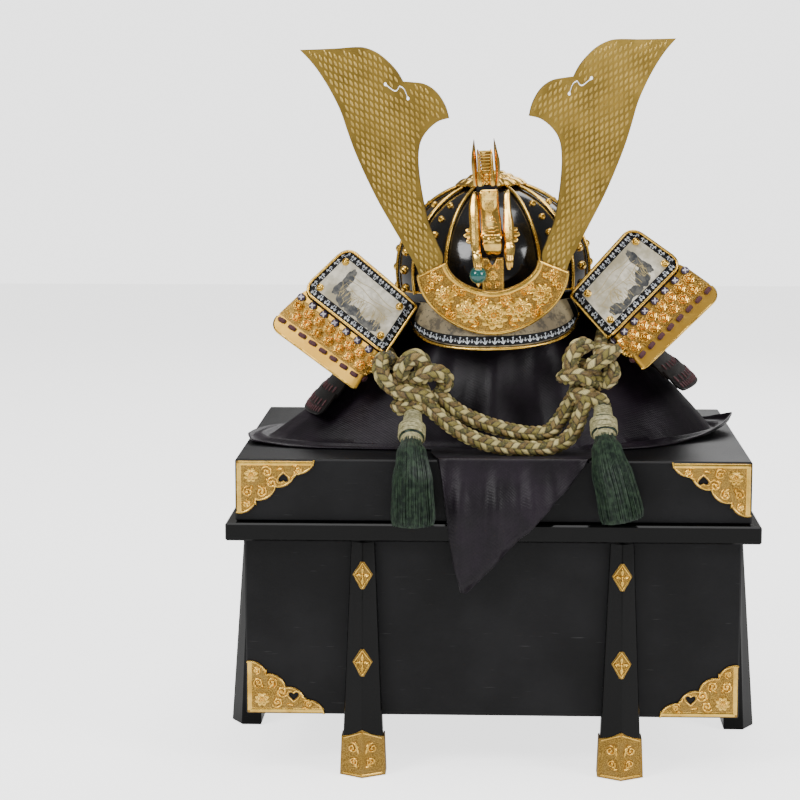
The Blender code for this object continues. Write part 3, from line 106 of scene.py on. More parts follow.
paper, paper_shader, tree = plain_material("studio paper", (0.93, 0.93, 0.93), 0.9, specular=0.1)
paper_shader.inputs["Emission Color"].default_value = (1.0, 1.0, 1.0, 1.0)
facing_lens = tree.nodes.new("ShaderNodeLightPath")
glow = tree.nodes.new("ShaderNodeMapRange")
glow.inputs["To Min"].default_value = 0.25
glow.inputs["To Max"].default_value = 2.1
tree.links.new(facing_lens.outputs["Is Camera Ray"], glow.inputs["Value"])
tree.links.new(glow.outputs["Result"], paper_shader.inputs["Emission Strength"])
bpy.ops.mesh.primitive_plane_add(size=floor_size, location=(0, 0, -0.0006))
studio_floor = bpy.context.object
studio_floor.name = "studio_floor"
studio_floor.data.materials.append(paper)
studio_floor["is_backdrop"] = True

world = bpy.data.worlds.new("studio air")
bpy.context.scene.world = world
world.use_nodes = True
air = world.node_tree
backdrop = air.nodes["Background"]
room = air.nodes.new("ShaderNodeBackground")
for light, colour, strength in (
    (backdrop, (1.0, 1.0, 1.0, 1.0), 2.7),
    (room, (1.0, 0.98, 0.95, 1.0), 0.22),
):
    light.inputs["Color"].default_value = colour
    light.inputs["Strength"].default_value = strength
either = air.nodes.new("ShaderNodeMixShader")
air.links.new(air.nodes.new("ShaderNodeLightPath").outputs["Is Camera Ray"], either.inputs["Fac"])
air.links.new(room.outputs["Background"], either.inputs[1])
air.links.new(backdrop.outputs["Background"], either.inputs[2])
air.links.new(either.outputs["Shader"], air.nodes["World Output"].inputs["Surface"])

for name, place, aim, size, power in soft_lights:
    lamp = bpy.data.lights.new(name, "AREA")
    lamp.shape = "SQUARE"
    lamp.size = size
    lamp.energy = power
    holder = bpy.data.objects.new(name, lamp)
    bpy.context.scene.collection.objects.link(holder)
    holder.location = place
    holder.rotation_euler = (Vector(aim) - Vector(place)).to_track_quat("-Z", "Y").to_euler()

camera_data = bpy.data.cameras.new("camera")
camera_data.lens = camera_lens
camera_data.sensor_width = 36.0
camera = bpy.data.objects.new("camera", camera_data)
bpy.context.scene.collection.objects.link(camera)
camera.location = camera_place
camera.rotation_euler = (pi / 2 - camera_tip, 0.0, camera_turn)
bpy.context.scene.camera = camera


# Cord: a thick round plaited cord of olive, brown and cream silk. Its strands dive under each
# other, so slanted oval stitches show in six columns round it.
# It runs from knot to knot under the neck guard and twice across the front of the cloth.
rope_radius = 0.0070
rope_columns = 6
rope_stitch = 0.0058
rope_slant = 0.70
rope_groove = 0.30
rope_front_lower_route = (
    (-0.0600, -0.1330, 0.3170),
    (-0.0510, -0.1389, 0.3083),
    (-0.0340, -0.1430, 0.2950),
    (-0.0160, -0.1440, 0.2850),
    (0.0040, -0.1445, 0.2790),
    (0.0240, -0.1445, 0.2772),
    (0.0440, -0.1440, 0.2775),
    (0.0600, -0.1420, 0.2830),
    (0.0690, -0.1400, 0.2930),
    (0.0761, -0.1381, 0.3143),
    (0.0800, -0.1320, 0.3270),
)
rope_front_upper_route = (
    (-0.0500, -0.1250, 0.3230),
    (-0.0403, -0.1289, 0.3148),
    (-0.0280, -0.1310, 0.3055),
    (-0.0100, -0.1320, 0.2975),
    (0.0100, -0.1330, 0.2915),
    (0.0300, -0.1335, 0.2880),
    (0.0450, -0.1325, 0.2890),
    (0.0540, -0.1300, 0.2960),
    (0.0665, -0.1271, 0.3160),
    (0.0730, -0.1225, 0.3290),
)
rope_back_route = (
    (-0.0904, -0.1209, 0.3507),
    (-0.0870, -0.1010, 0.3450),
    (-0.0895, -0.0840, 0.3445),
    (-0.0930, -0.0600, 0.3470),
    (-0.0985, -0.0300, 0.3500),
    (-0.1020, 0.0020, 0.3515),
    (-0.0970, 0.0380, 0.3520),
    (-0.0740, 0.0740, 0.3520),
    (-0.0300, 0.0980, 0.3530),
    (0.0150, 0.1000, 0.3550),
    (0.0640, 0.0840, 0.3590),
    (0.0930, 0.0480, 0.3670),
    (0.1020, 0.0020, 0.3720),
    (0.0975, -0.0400, 0.3665),
    (0.0945, -0.0700, 0.3600),
    (0.0920, -0.0950, 0.3530),
    (0.0947, -0.1222, 0.3495),
)


def even_path(points, spacing):
    """Points at even spacing on a smooth curve through the given ones."""
    points = [Vector(point) for point in points]
    curve = []
    for number in range(len(points) - 1):
        p1, p2 = points[number], points[number + 1]
        p0 = points[max(number - 1, 0)]
        p3 = points[min(number + 2, len(points) - 1)]
        for step in range(12):
            t = step / 12
            line = 2 * p1 + (p2 - p0) * t + (2 * p0 - 5 * p1 + 4 * p2 - p3) * t * t
            curve.append(0.5 * (line + (3 * p1 - p0 - 3 * p2 + p3) * t**3))
    curve.append(points[-1])
    length = sum((b - a).length for a, b in zip(curve, curve[1:]))
    count = max(2, round(length / spacing))
    result = [curve[0]]
    walked = 0.0
    for a, b in zip(curve, curve[1:]):
        piece = (b - a).length
        while len(result) < count and walked + piece >= length * len(result) / count - 1e-9:
            result.append(a.lerp(b, (length * len(result) / count - walked) / piece))
        walked += piece
    result.append(curve[-1])
    return result


def path_length(path):
    """How long a path is."""
    return sum((b - a).length for a, b in zip(path, path[1:]))


def path_turns(path):
    """At each point of a path: its direction and two directions across it, carried without twist."""
    turns = []
    carried = None
    for number in range(len(path)):
        ahead = path[min(number + 1, len(path) - 1)] - path[max(number - 1, 0)]
        ahead.normalize()
        if carried is None:
            carried = ahead.orthogonal()
        carried = (carried - ahead * carried.dot(ahead)).normalized()
        turns.append((ahead, carried, ahead.cross(carried)))
    return turns


def lay_strands(bm, path, radius, columns=42, ends=1.0, shift=0.0):
    """Adds a plaited cord: a tube whose surface rises in columns of slanted oval stitches.

    The UV map holds the stitch number along and the column number across.
    """
    uv = bm.loops.layers.uv.verify()
    length = path_length(path)
    spacing = length / (len(path) - 1)

    def stitch(column, sector, along):
        """The column's share of the way across its sector, and the stitch count there."""
        share = rope_columns * column / columns - sector
        lean = rope_slant if sector % 2 else -rope_slant
        return share, along / rope_stitch + lean * (share - 0.5) + 0.5 * (sector % 2) + shift

    rings = []
    for number, (point, (_, side, other)) in enumerate(zip(path, path_turns(path))):
        along = number * spacing
        from_end = min(along, length - along)
        shrink = min(1.0, ends + (1 - ends) * from_end / radius)
        ring = []
        for column in range(columns):
            turn = 2 * pi * column / columns
            share, count = stitch(column, column * rope_columns // columns, along)
            lobe = (1 - abs(2 * (count % 1.0) - 1) ** 2.2) * (1 - 0.92 * abs(2 * share - 1) ** 2.6)
            reach = radius * shrink * (1 - rope_groove + rope_groove * sqrt(max(0.0, lobe)))
            ring.append(bm.verts.new(point + reach * (cos(turn) * side + sin(turn) * other)))
        rings.append(ring)
    for number, (near, far) in enumerate(zip(rings, rings[1:])):
        for column in range(columns):
            after = (column + 1) % columns
            face = bm.faces.new([near[column], near[after], far[after], far[column]])
            sector = column * rope_columns // columns
            corners = ((column, 0), (column + 1, 0), (column + 1, 1), (column, 1))
            for loop, (across, ahead) in zip(face.loops, corners):
                share, count = stitch(across, sector, (number + ahead) * spacing)
                loop[uv].uv = (count + 600 + 2 * sector, sector + share * 0.998 + 0.001)
    bm.faces.new(rings[0][::-1])
    bm.faces.new(rings[-1])


def close_mesh(name, bm, finish):
    """Turns a bmesh of closed shells into a mesh with outward faces and one material."""
    bmesh.ops.recalc_face_normals(bm, faces=bm.faces[:])
    mesh = bpy.data.meshes.new(name)
    bm.to_mesh(mesh)
    bm.free()
    mesh.materials.append(finish)
    return mesh


class Wire:
    """A value in a material's node tree that takes plain arithmetic."""

    def __init__(self, tree, socket):
        self.tree = tree
        self.socket = socket

    def step(self, operation, *others):
        """This value through a math node, with the others."""
        node = self.tree.nodes.new("ShaderNodeMath")
        node.operation = operation
        for number, value in enumerate((self, *others)):
            if isinstance(value, Wire):
                self.tree.links.new(value.socket, node.inputs[number])
            else:
                node.inputs[number].default_value = value
        return Wire(self.tree, node.outputs[0])

    def __add__(self, other):
        return self.step("ADD", other)

    def __sub__(self, other):
        return self.step("SUBTRACT", other)

    def __mul__(self, other):
        return self.step("MULTIPLY", other)

    def __truediv__(self, other):
        return self.step("DIVIDE", other)

    def fade(self, low, high):
        """0 under low, 1 over high and smooth between."""
        node = self.tree.nodes.new("ShaderNodeMapRange")
        node.interpolation_type = "SMOOTHSTEP"
        self.tree.links.new(self.socket, node.inputs["Value"])
        node.inputs["From Min"].default_value = low
        node.inputs["From Max"].default_value = high
        return Wire(self.tree, node.outputs["Result"])


def place_of(tree, kind="Object"):
    """The three coordinates that a pattern reads, as a vector socket and as wires."""
    spot = tree.nodes.new("ShaderNodeTexCoord").outputs[kind]
    parts = tree.nodes.new("ShaderNodeSeparateXYZ")
    tree.links.new(spot, parts.inputs[0])
    return spot, [Wire(tree, parts.outputs[number]) for number in range(3)]


def spots(tree, vector, scale, detail=3.0, roughness=0.55, kind="ShaderNodeTexNoise"):
    """A noise value over the surface."""
    node = tree.nodes.new(kind)
    tree.links.new(vector, node.inputs["Vector"])
    node.inputs["Scale"].default_value = scale
    if kind == "ShaderNodeTexNoise":
        node.inputs["Detail"].default_value = detail
        node.inputs["Roughness"].default_value = roughness
        return Wire(tree, node.outputs["Fac"])
    return Wire(tree, node.outputs["Distance"])


def mix(tree, share, first, second):
    """A colour between two, each a colour or a socket."""
    node = tree.nodes.new("ShaderNodeMix")
    node.data_type = "RGBA"
    if isinstance(share, Wire):
        tree.links.new(share.socket, node.inputs["Factor"])
    else:
        node.inputs["Factor"].default_value = share
    for value, name in ((first, "A"), (second, "B")):
        socket = [s for s in node.inputs if s.name == name and s.type == "RGBA"][0]
        if isinstance(value, tuple):
            socket.default_value = (*value, 1.0)
        else:
            tree.links.new(value, socket)
    return [s for s in node.outputs if s.type == "RGBA"][0]


def bump(tree, shader, height, strength, depth):
    """Feeds the shader's normal from a height."""
    node = tree.nodes.new("ShaderNodeBump")
    node.inputs["Strength"].default_value = strength
    node.inputs["Distance"].default_value = depth
    tree.links.new(height.socket, node.inputs["Height"])
    tree.links.new(node.outputs["Normal"], shader.inputs["Normal"])


def feed(tree, shader, name, value):
    """Feeds one of the shader's sockets from a wire or a socket."""
    tree.links.new(value.socket if isinstance(value, Wire) else value, shader.inputs[name])


silk_colours = (
    (0 / 6, (0.74, 0.63, 0.28)),
    (1 / 6, (0.155, 0.095, 0.028)),
    (2 / 6, (0.25, 0.205, 0.045)),
    (3 / 6, (0.64, 0.53, 0.21)),
    (4 / 6, (0.10, 0.088, 0.020)),
    (5 / 6, (0.30, 0.20, 0.065)),
)
silk_cord, shader, tree = plain_material("plaited silk cord", (0.5, 0.4, 0.2), 0.5, sheen=0.05)
_, (stitch_count, column_count, _) = place_of(tree, "UV")
object_spot, _ = place_of(tree)
stitch_colour = (stitch_count / len(silk_colours)).step("FRACT")
ramp = tree.nodes.new("ShaderNodeValToRGB")
ramp.color_ramp.interpolation = "CONSTANT"
for place, colour in silk_colours:
    stop = ramp.color_ramp.elements.new(place) if place else ramp.color_ramp.elements[0]
    stop.color = (*colour, 1.0)
ramp.color_ramp.elements.remove(ramp.color_ramp.elements[-1])
tree.links.new(stitch_colour.socket, ramp.inputs["Fac"])
within = stitch_count.step("FRACT")
threads = (within * 6 + column_count * 0.35).step("FRACT").step("PINGPONG", 0.5)
# Painted shade: the cord's colour is darkened towards each stitch's ends and each column's edges, in the
# grooves where the strands dive under each other. Painted highlight and shade: the thread stripes brighten
# and darken the colour along each stitch.
stitch_end_painted_shade = within.step("PINGPONG", 0.5).fade(0.0, 0.22)
column_edge_painted_shade = column_count.step("FRACT").step("PINGPONG", 0.5).fade(0.0, 0.14)
fibre = spots(tree, object_spot, 900.0, 2.0)
thread_painted_light = threads.fade(0.0, 0.5) * 0.55 + 0.55
shaded = tree.nodes.new("ShaderNodeMix")
shaded.data_type = "RGBA"
shaded.blend_type = "MULTIPLY"
shaded.inputs["Factor"].default_value = 1.0
tree.links.new(ramp.outputs["Color"], shaded.inputs[6])
groove_painted_shade = (stitch_end_painted_shade * 0.80 + 0.20) * (column_edge_painted_shade * 0.62 + 0.38)
tree.links.new((thread_painted_light * groove_painted_shade).socket, shaded.inputs[7])
gold_thread = spots(tree, object_spot, 620.0, 2.0).fade(0.50, 0.64)
feed(tree, shader, "Base Color", mix(tree, gold_thread * 0.30, shaded.outputs[2], (0.46, 0.36, 0.06)))
bump(tree, shader, threads + fibre * 0.5, 0.8, 0.0009)

rope_pieces = {}
for name, route, shift in (
    ("rope_front_lower", rope_front_lower_route, 0.0),
    ("rope_front_upper", rope_front_upper_route, 1.4),
    ("rope_back", rope_back_route, 0.7),
):
    bm = bmesh.new()
    rope_path = even_path(route, 0.0008)
    lay_strands(bm, rope_path, rope_radius, shift=shift)
    mesh = close_mesh(name, bm, silk_cord)
    rope = new_piece(f"{name}_silk", mesh, "olive and cream cord", name, smooth=70)
    rope_pieces[name] = (rope, rope_path)

# Knots: the cord's loose ends are tied in a showy loop knot on each side of the helmet.
# Each strand that shows is a stretch of the same cord, round a hidden turn in the middle.
left_knot_middle = Vector((-0.0665, -0.1300, 0.3290))
left_knot = (
    ((-0.027, 0.006, 0.026), (-0.029, 0.000, 0.014), (-0.024, -0.004, 0.003), (-0.012, -0.002, -0.006)),
    (
        (-0.012, 0.000, 0.002), (-0.010, -0.004, 0.015), (-0.001, -0.004, 0.024),
        (0.007, 0.000, 0.018), (0.006, 0.004, 0.004),
    ),
    (
        (-0.004, 0.000, 0.003), (0.008, -0.005, 0.009), (0.019, -0.004, 0.011),
        (0.026, 0.002, 0.004), (0.022, 0.007, -0.008),
    ),
    ((-0.020, 0.000, -0.006), (-0.008, -0.007, -0.006), (0.006, -0.007, -0.009), (0.018, -0.003, -0.015)),
    ((-0.019, 0.000, -0.017), (-0.008, -0.005, -0.019), (0.005, -0.005, -0.017), (0.014, 0.002, -0.013)),
    ((-0.014, 0.003, 0.008), (0.000, 0.002, 0.000), (0.012, 0.003, -0.008)),
)
right_knot_middle = Vector((0.0790, -0.1300, 0.3370))
right_knot = (
    ((0.005, 0.003, 0.026), (-0.007, -0.002, 0.025), (-0.014, -0.004, 0.013), (-0.010, 0.000, 0.002)),
    ((-0.001, 0.000, 0.008), (0.006, -0.006, 0.011), (0.017, -0.004, 0.019), (0.027, 0.003, 0.023)),
    ((-0.024, 0.002, -0.002), (-0.014, -0.005, 0.001), (-0.003, -0.006, 0.000), (0.005, -0.001, -0.007)),
    ((0.022, 0.004, 0.012), (0.021, 0.000, 0.002), (0.015, 0.000, -0.010)),
    ((-0.015, 0.000, -0.014), (-0.003, -0.006, -0.016), (0.009, -0.005, -0.020), (0.018, 0.001, -0.026)),
    ((-0.010, 0.003, 0.012), (0.004, 0.002, 0.002), (0.012, 0.003, -0.012)),
)
for side, middle, strands in (
    ("left", left_knot_middle, left_knot),
    ("right", right_knot_middle, right_knot),
):
    bm = bmesh.new()
    for number, strand in enumerate(strands):
        path = even_path([middle + Vector(point) for point in strand], 0.0008)
        lay_strands(bm, path, rope_radius * 1.10, ends=0.5, shift=0.37 * number)
    mesh = close_mesh("knot", bm, silk_cord)
    knot = new_piece(f"knot_{side}_silk", mesh, "olive and cream cord", f"knot_{side}", smooth=70)

# Tassels: each loose end is bound off in a pale silk head, and below it combed out into a skirt
# of dark green threads that falls over the edge of the chest.
tassel_reach = 0.0185
tassel_threads = 230
tassel_lines = {
    "left": (
        (-0.0675, -0.1396, 0.3048),
        (-0.0680, -0.1530, 0.2925),
        (-0.0680, -0.1675, 0.2805),
        (-0.0670, -0.1750, 0.2670),
        (-0.0665, -0.1785, 0.2450),
        (-0.0660, -0.1785, 0.2175),
    ),
    "right": (
        (0.0923, -0.1385, 0.3107),
        (0.0928, -0.1540, 0.2950),
        (0.0945, -0.1675, 0.2815),
        (0.0970, -0.1750, 0.2680),
        (0.1030, -0.1785, 0.2460),
        (0.1080, -0.1785, 0.2230),
    ),
}
# share of its length, share of its reach
tassel_profile = (
    (0.00, 0.38), (0.10, 0.42), (0.14, 0.60), (0.24, 0.60), (0.28, 0.46),
    (0.32, 0.46), (0.42, 0.66), (0.65, 0.88), (0.95, 0.96), (1.00, 0.90),
)
head_end = 0.325


def table_value(table, position):
    """Reads rows of (position, value) with smooth steps between them."""
    if position <= table[0][0]:
        return table[0][1]
    for low, high in zip(table, table[1:]):
        if position <= high[0]:
            share = (position - low[0]) / (high[0] - low[0])
            share = share * share * (3 - 2 * share)
            return low[1] + share * (high[1] - low[1])
    return table[-1][1]


def geometry_tree(name, inputs, parts, links):
    """A Geometry Nodes tree from its named inputs, its nodes, and its links as "node.socket" pairs."""
    tree = bpy.data.node_groups.new(name, "GeometryNodeTree")
    for socket, kind in (("Geometry", "Geometry"), *inputs):
        tree.interface.new_socket(socket, in_out="INPUT", socket_type=f"NodeSocket{kind}")
    tree.interface.new_socket("Geometry", in_out="OUTPUT", socket_type="NodeSocketGeometry")
    made = {"start": tree.nodes.new("NodeGroupInput"), "end": tree.nodes.new("NodeGroupOutput")}
    for part, kind, *settings in parts:
        made[part] = tree.nodes.new(kind)
        for setting, value in settings:
            setattr(made[part], setting, value)
    for link in links:
        (source, out), (target, into) = [end.split(".") for end in link.split(" > ")]
        tree.links.new(made[source].outputs[out], made[target].inputs[into])
    return tree, made


def made_by(tree, seat, inputs):
    """Runs a Geometry Nodes tree on a mesh with the given inputs, and returns the plain mesh."""
    carrier = bpy.data.objects.new("carrier", seat)
    bpy.context.scene.collection.objects.link(carrier)
    modifier = carrier.modifiers.new("maker", "NODES")
    modifier.node_group = tree
    for socket in tree.interface.items_tree:
        if socket.in_out == "INPUT" and socket.name in inputs:
            modifier[socket.identifier] = inputs[socket.name]
    graph = bpy.context.evaluated_depsgraph_get()
    mesh = bpy.data.meshes.new_from_object(carrier.evaluated_get(graph), depsgraph=graph)
    bpy.data.objects.remove(carrier)
    return mesh


wires, parts = geometry_tree(
    "wires along lines",
    (("Radius", "Float"), ("Sides", "Int"), ("Finish", "Material")),
    (
        ("lines", "GeometryNodeMeshToCurve"),
        ("profile", "GeometryNodeCurvePrimitiveCircle"),
        ("sweep", "GeometryNodeCurveToMesh"),
        ("smooth", "GeometryNodeSetShadeSmooth"),
        ("real", "GeometryNodeRealizeInstances"),
        ("paint", "GeometryNodeSetMaterial"),
    ),
    (
        "start.Geometry > lines.Mesh",
        "lines.Curve > sweep.Curve",
        "start.Sides > profile.Resolution",
        "start.Radius > profile.Radius",
        "profile.Curve > sweep.Profile Curve",
        "sweep.Mesh > smooth.Geometry",
        "smooth.Geometry > real.Geometry",
        "real.Geometry > paint.Geometry",
        "start.Finish > paint.Material",
        "paint.Geometry > end.Geometry",
    ),
)
parts["sweep"].inputs["Fill Caps"].default_value = True


def wire_mesh(lines, radius, sides, finish, closed=False):
    """Round wires along lists of points."""
    seat = bpy.data.meshes.new("wire lines")
    points = []
    edges = []
    for line in lines:
        first = len(points)
        points += [tuple(point) for point in line]
        edges += [(first + number, first + number + 1) for number in range(len(line) - 1)]
        if closed:
            edges.append((len(points) - 1, first))
    seat.from_pydata(points, edges, [])
    return made_by(wires, seat, {"Radius": radius, "Sides": sides, "Finish": finish})


def put_together(name, meshes, slot, *stands_for, smooth=60):
    """Joins finished meshes, each with its own materials, into one piece."""
    bm = bmesh.new()
    joined = bpy.data.meshes.new(name)
    for mesh in meshes:
        first = len(joined.materials)
        faces_before = len(bm.faces)
        for finish in mesh.materials:
            joined.materials.append(finish)
        bm.from_mesh(mesh)
        bm.faces.ensure_lookup_table()
        for number in range(faces_before, len(bm.faces)):
            bm.faces[number].material_index += first
    bm.to_mesh(joined)
    bm.free()
    return new_piece(name, joined, slot, *stands_for, smooth=smooth)


def skin(bm, rows, wrap=False):
    """Joins rows of points into a surface and returns its vertices."""
    verts = [[bm.verts.new(point) for point in row] for row in rows]
    count = len(rows[0])
    for near, far in zip(verts, verts[1:]):
        for column in range(count if wrap else count - 1):
            after = (column + 1) % count
            bm.faces.new([near[column], near[after], far[after], far[column]])
    return verts


def closed_tube(bm, rings):
    """Joins rings of points into a tube with both ends closed."""
    verts = skin(bm, rings, wrap=True)
    bm.faces.new(verts[0][::-1])
    bm.faces.new(verts[-1])


def plain_finish(name, base, scale, tones, fade=None, detail=2.0, grit=0.55, relief=None, **look):
    """A finish mottled between two tones by one noise. Relief holds a noise, a strength and a depth."""
    finish, shader, tree = plain_material(name, base, **look)
    object_spot, _ = place_of(tree)
    patches = spots(tree, object_spot, scale, detail, grit)
    if fade:
        patches = patches.fade(*fade)
    feed(tree, shader, "Base Color", mix(tree, patches, *tones))
    if relief:
        relief_scale, strength, depth = relief
        bump(tree, shader, spots(tree, object_spot, relief_scale, 2.0), strength, depth)
    return finish


thread_tones = ((0.006, 0.014, 0.009), (0.030, 0.055, 0.030))
thread_look = {"roughness": 0.40, "specular": 0.25, "sheen": 0.08}
thread_green = plain_finish(
    "tassel silk", (0.006, 0.014, 0.007), 240.0, thread_tones, (0.35, 0.7), **thread_look
)
head_tones = ((0.22, 0.20, 0.09), (0.46, 0.42, 0.22))
head_silk = plain_finish(
    "bound silk", (0.33, 0.31, 0.15), 420.0, head_tones, (0.3, 0.7), relief=(1500.0, 0.4, 0.0004)
)


def tassel_point(axis, turns, share, turn, reach=1.0):
    """A point of a tassel: its share down the axis, its turn round it and its reach."""
    here = min(len(axis) - 1, max(0, round(share * (len(axis) - 1))))
    _, across, other = turns[here]
    radius = reach * tassel_reach * table_value(tassel_profile, share)
    return axis[here] + radius * (cos(turn) * across + sin(turn) * other)


for side, line in tassel_lines.items():
    chance = random.Random(f"tassel {side}")
    axis = even_path(line, 0.0009)
    turns = path_turns(axis)
    core = bmesh.new()
    rings = []
    for step in range(61):
        reach = 0.93 if step / 60 > head_end else 0.97
        rings.append([tassel_point(axis, turns, step / 60, 2 * pi * c / 40, reach) for c in range(40)])
    closed_tube(core, rings)
    threads = []
    steps = 22
    for number in range(tassel_threads):
        turn = 2 * pi * number / tassel_threads + chance.uniform(-0.02, 0.02)
        sway = chance.uniform(-0.10, 0.10)
        level = chance.uniform(0.94, 1.04)
        finish_at = chance.uniform(0.96, 1.0)
        thread = []
        for step in range(steps + 1):
            share = head_end - 0.02 + (finish_at - head_end + 0.02) * step / steps
            bend = sway * (share - head_end) + 0.02 * share * sin(7 * share + number)
            thread.append(tassel_point(axis, turns, share, turn + bend, level))
        threads.append(thread)
    wraps = []
    for low, high, count in ((0.0, 0.115, 7), (0.135, 0.250, 11), (0.265, 0.325, 7)):
        coil = []
        for step in range(count * 28 + 1):
            share = low + (high - low) * step / (count * 28)
            coil.append(tassel_point(axis, turns, share, 2 * pi * step / 28))
        wraps.append(coil)
    meshes = [
        close_mesh("tassel core", core, thread_green),
        wire_mesh(threads, 0.00042, 5, thread_green),
        wire_mesh(wraps, 0.00062, 6, head_silk),
    ]
    tassel = put_together(f"tassel_{side}_silk", meshes, "green tassel thread", f"tassel_{side}")

# The lower front rope leaves the right knot, so its path is turned round.
for name, end, turned in (
    ("rope_back", "right", False),
    ("rope_front_lower", "left", True),
    ("rope_front_upper", None, False),
):
    rope, path = rope_pieces[name]
    path = path[::-1] if turned else path
    tuple(path[0])
    path_length(path)
    [tuple(point) for point in path]

# Cloth: one square of dark aubergine satin, laid over the stand's head and the lid. Two corners
# lie out to the sides and one hangs over the front edge; it is smooth, with a few soft folds.
lid_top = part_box("chest_lid")[1][2]
lid_front = -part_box("chest_lid")[0][1]
cloth_wall = 0.0014
cloth_clear = 0.0007
cloth_neck = 0.066
cloth_columns = 300
helmet_height = 0.392
helmet_roll = radians(-1.7)
bowl_half_width = 0.085
bowl_half_length = 0.092
bowl_rise = 0.102
bowl_widest = 0.026
bowl_wall = 0.0022
band_share = 0.985
band_top = 0.009
band_drop = 0.006
over_edge = 1.0
# azimuth, radius where it meets the lid, sharpness of the flare, hem radius, hang, lift of the hem
cloth_plan = (
    (-180, 0.105, 1.3, over_edge, 0.062, 0.0),
    (-171, 0.105, 1.3, over_edge, 0.026, 0.0),
    (-166, 0.105, 1.3, over_edge, 0.0, 0.0),
    (-152, 0.110, 1.4, 0.128, 0.0, 0.0),
    (-132, 0.128, 1.6, 0.136, 0.0, 0.0),
    (-108, 0.150, 1.7, 0.172, 0.0, 0.0),
    (-91, 0.185, 1.6, 0.206, 0.0, 0.002),
    (-78, 0.203, 1.5, 0.220, 0.0, 0.003),
    (-70, 0.200, 1.5, 0.222, 0.0, 0.002),
    (-62, 0.182, 1.5, 0.200, 0.0, 0.0),
    (-56, 0.165, 1.5, 0.182, 0.0, 0.0),
    (-50, 0.149, 1.5, 0.163, 0.0, 0.0),
    (-43, 0.134, 1.5, 0.145, 0.0, 0.0),
    (-34, 0.118, 1.45, 0.128, 0.0, 0.0),
    (-26, 0.108, 1.4, 0.118, 0.0, 0.0),
    (-15.5, 0.105, 1.3, over_edge, 0.0, 0.0),
    (-13.5, 0.105, 1.3, over_edge, 0.026, 0.0),
    (-11.5, 0.105, 1.3, over_edge, 0.075, 0.0),
    (-8, 0.105, 1.3, over_edge, 0.112, 0.0),
    (-5, 0.105, 1.3, over_edge, 0.103, 0.0),
    (2, 0.105, 1.3, over_edge, 0.080, 0.0),
    (9, 0.105, 1.3, over_edge, 0.059, 0.0),
    (15, 0.105, 1.3, over_edge, 0.040, 0.0),
    (21, 0.106, 1.3, over_edge, 0.018, 0.0),
    (26, 0.107, 1.3, over_edge, 0.0, 0.0),
    (40, 0.124, 1.4, 0.136, 0.0, 0.0),
    (57, 0.146, 1.2, 0.160, 0.0, 0.0),
    (68, 0.158, 1.0, 0.171, 0.0, 0.0),
    (79, 0.176, 0.85, 0.189, 0.0, 0.004),
    (89, 0.192, 0.9, 0.206, 0.0, 0.010),
    (97, 0.198, 0.9, 0.217, 0.0, 0.014),
    (105, 0.180, 1.0, 0.202, 0.0, 0.006),
    (118, 0.150, 1.2, 0.168, 0.0, 0.0),
    (136, 0.124, 1.6, 0.130, 0.0, 0.0),
    (156, 0.108, 1.4, 0.126, 0.0, 0.0),
    (166, 0.105, 1.3, over_edge, 0.0, 0.0),
    (171, 0.105, 1.3, over_edge, 0.026, 0.0),
    (180, 0.105, 1.3, over_edge, 0.062, 0.0),
)


def in_helmet(point, roll=helmet_roll):
    """A point of the helmet's own frame, as it stands on the stand."""
    return Matrix.Rotation(roll, 3, "Y") @ Vector(point) + Vector((0.0, 0.0, helmet_height))


def bowl_share(z):
    """The bowl's half-width at a height, as a share of its widest."""
    if z <= band_top:
        return band_share
    if z <= bowl_widest:
        rise = (z - band_top) / (bowl_widest - band_top)
        return band_share + (1 - band_share) * sin(rise * pi / 2)
    rise = (z - bowl_widest) / (bowl_rise - bowl_widest)
    return sqrt(max(0.0, 1 - rise**2.05))


def bowl_normal(angle, z):
    """The way straight out from the bowl's skin."""
    step = 0.0005
    steep = (bowl_share(z + step) - bowl_share(z - step)) / (2 * step)
    return Vector((sin(angle) / bowl_half_width, -cos(angle) / bowl_half_length, -steep)).normalized()


def bowl_point(angle, z, off=0.0):
    """A point on the bowl: angle from the front, height over its rim, distance off it."""
    share = bowl_share(z)
    point = Vector((share * bowl_half_width * sin(angle), -share * bowl_half_length * cos(angle), z))
    return point + off * bowl_normal(angle, z) if off else point


def bowl_ring_height(radius):
    """The bowl's height where it is this wide near the crown."""
    share = radius / bowl_half_width
    return bowl_widest + (bowl_rise - bowl_widest) * (1 - share**2) ** (1 / 2.05)


def cloth_edge(azimuth):
    """How far out the lid's edge lies at an azimuth."""
    return (lid_front + cloth_clear + cloth_wall) / max(abs(cos(radians(azimuth))), 0.05)


def cloth_values(azimuth):
    """The plan's values at an azimuth, with the hem kept on the lid's edge where it hangs."""
    for low, high in zip(cloth_plan, cloth_plan[1:]):
        if azimuth <= high[0]:
            share = (azimuth - low[0]) / (high[0] - low[0])
            ends = []
            for turn, foot, flare, hem, hang, lift in (low, high):
                ends.append((foot, flare, min(hem, cloth_edge(turn)), hang, lift))
            values = [a + (b - a) * share for a, b in zip(*ends)]
            values[2] = min(values[2], cloth_edge(azimuth))
            return values


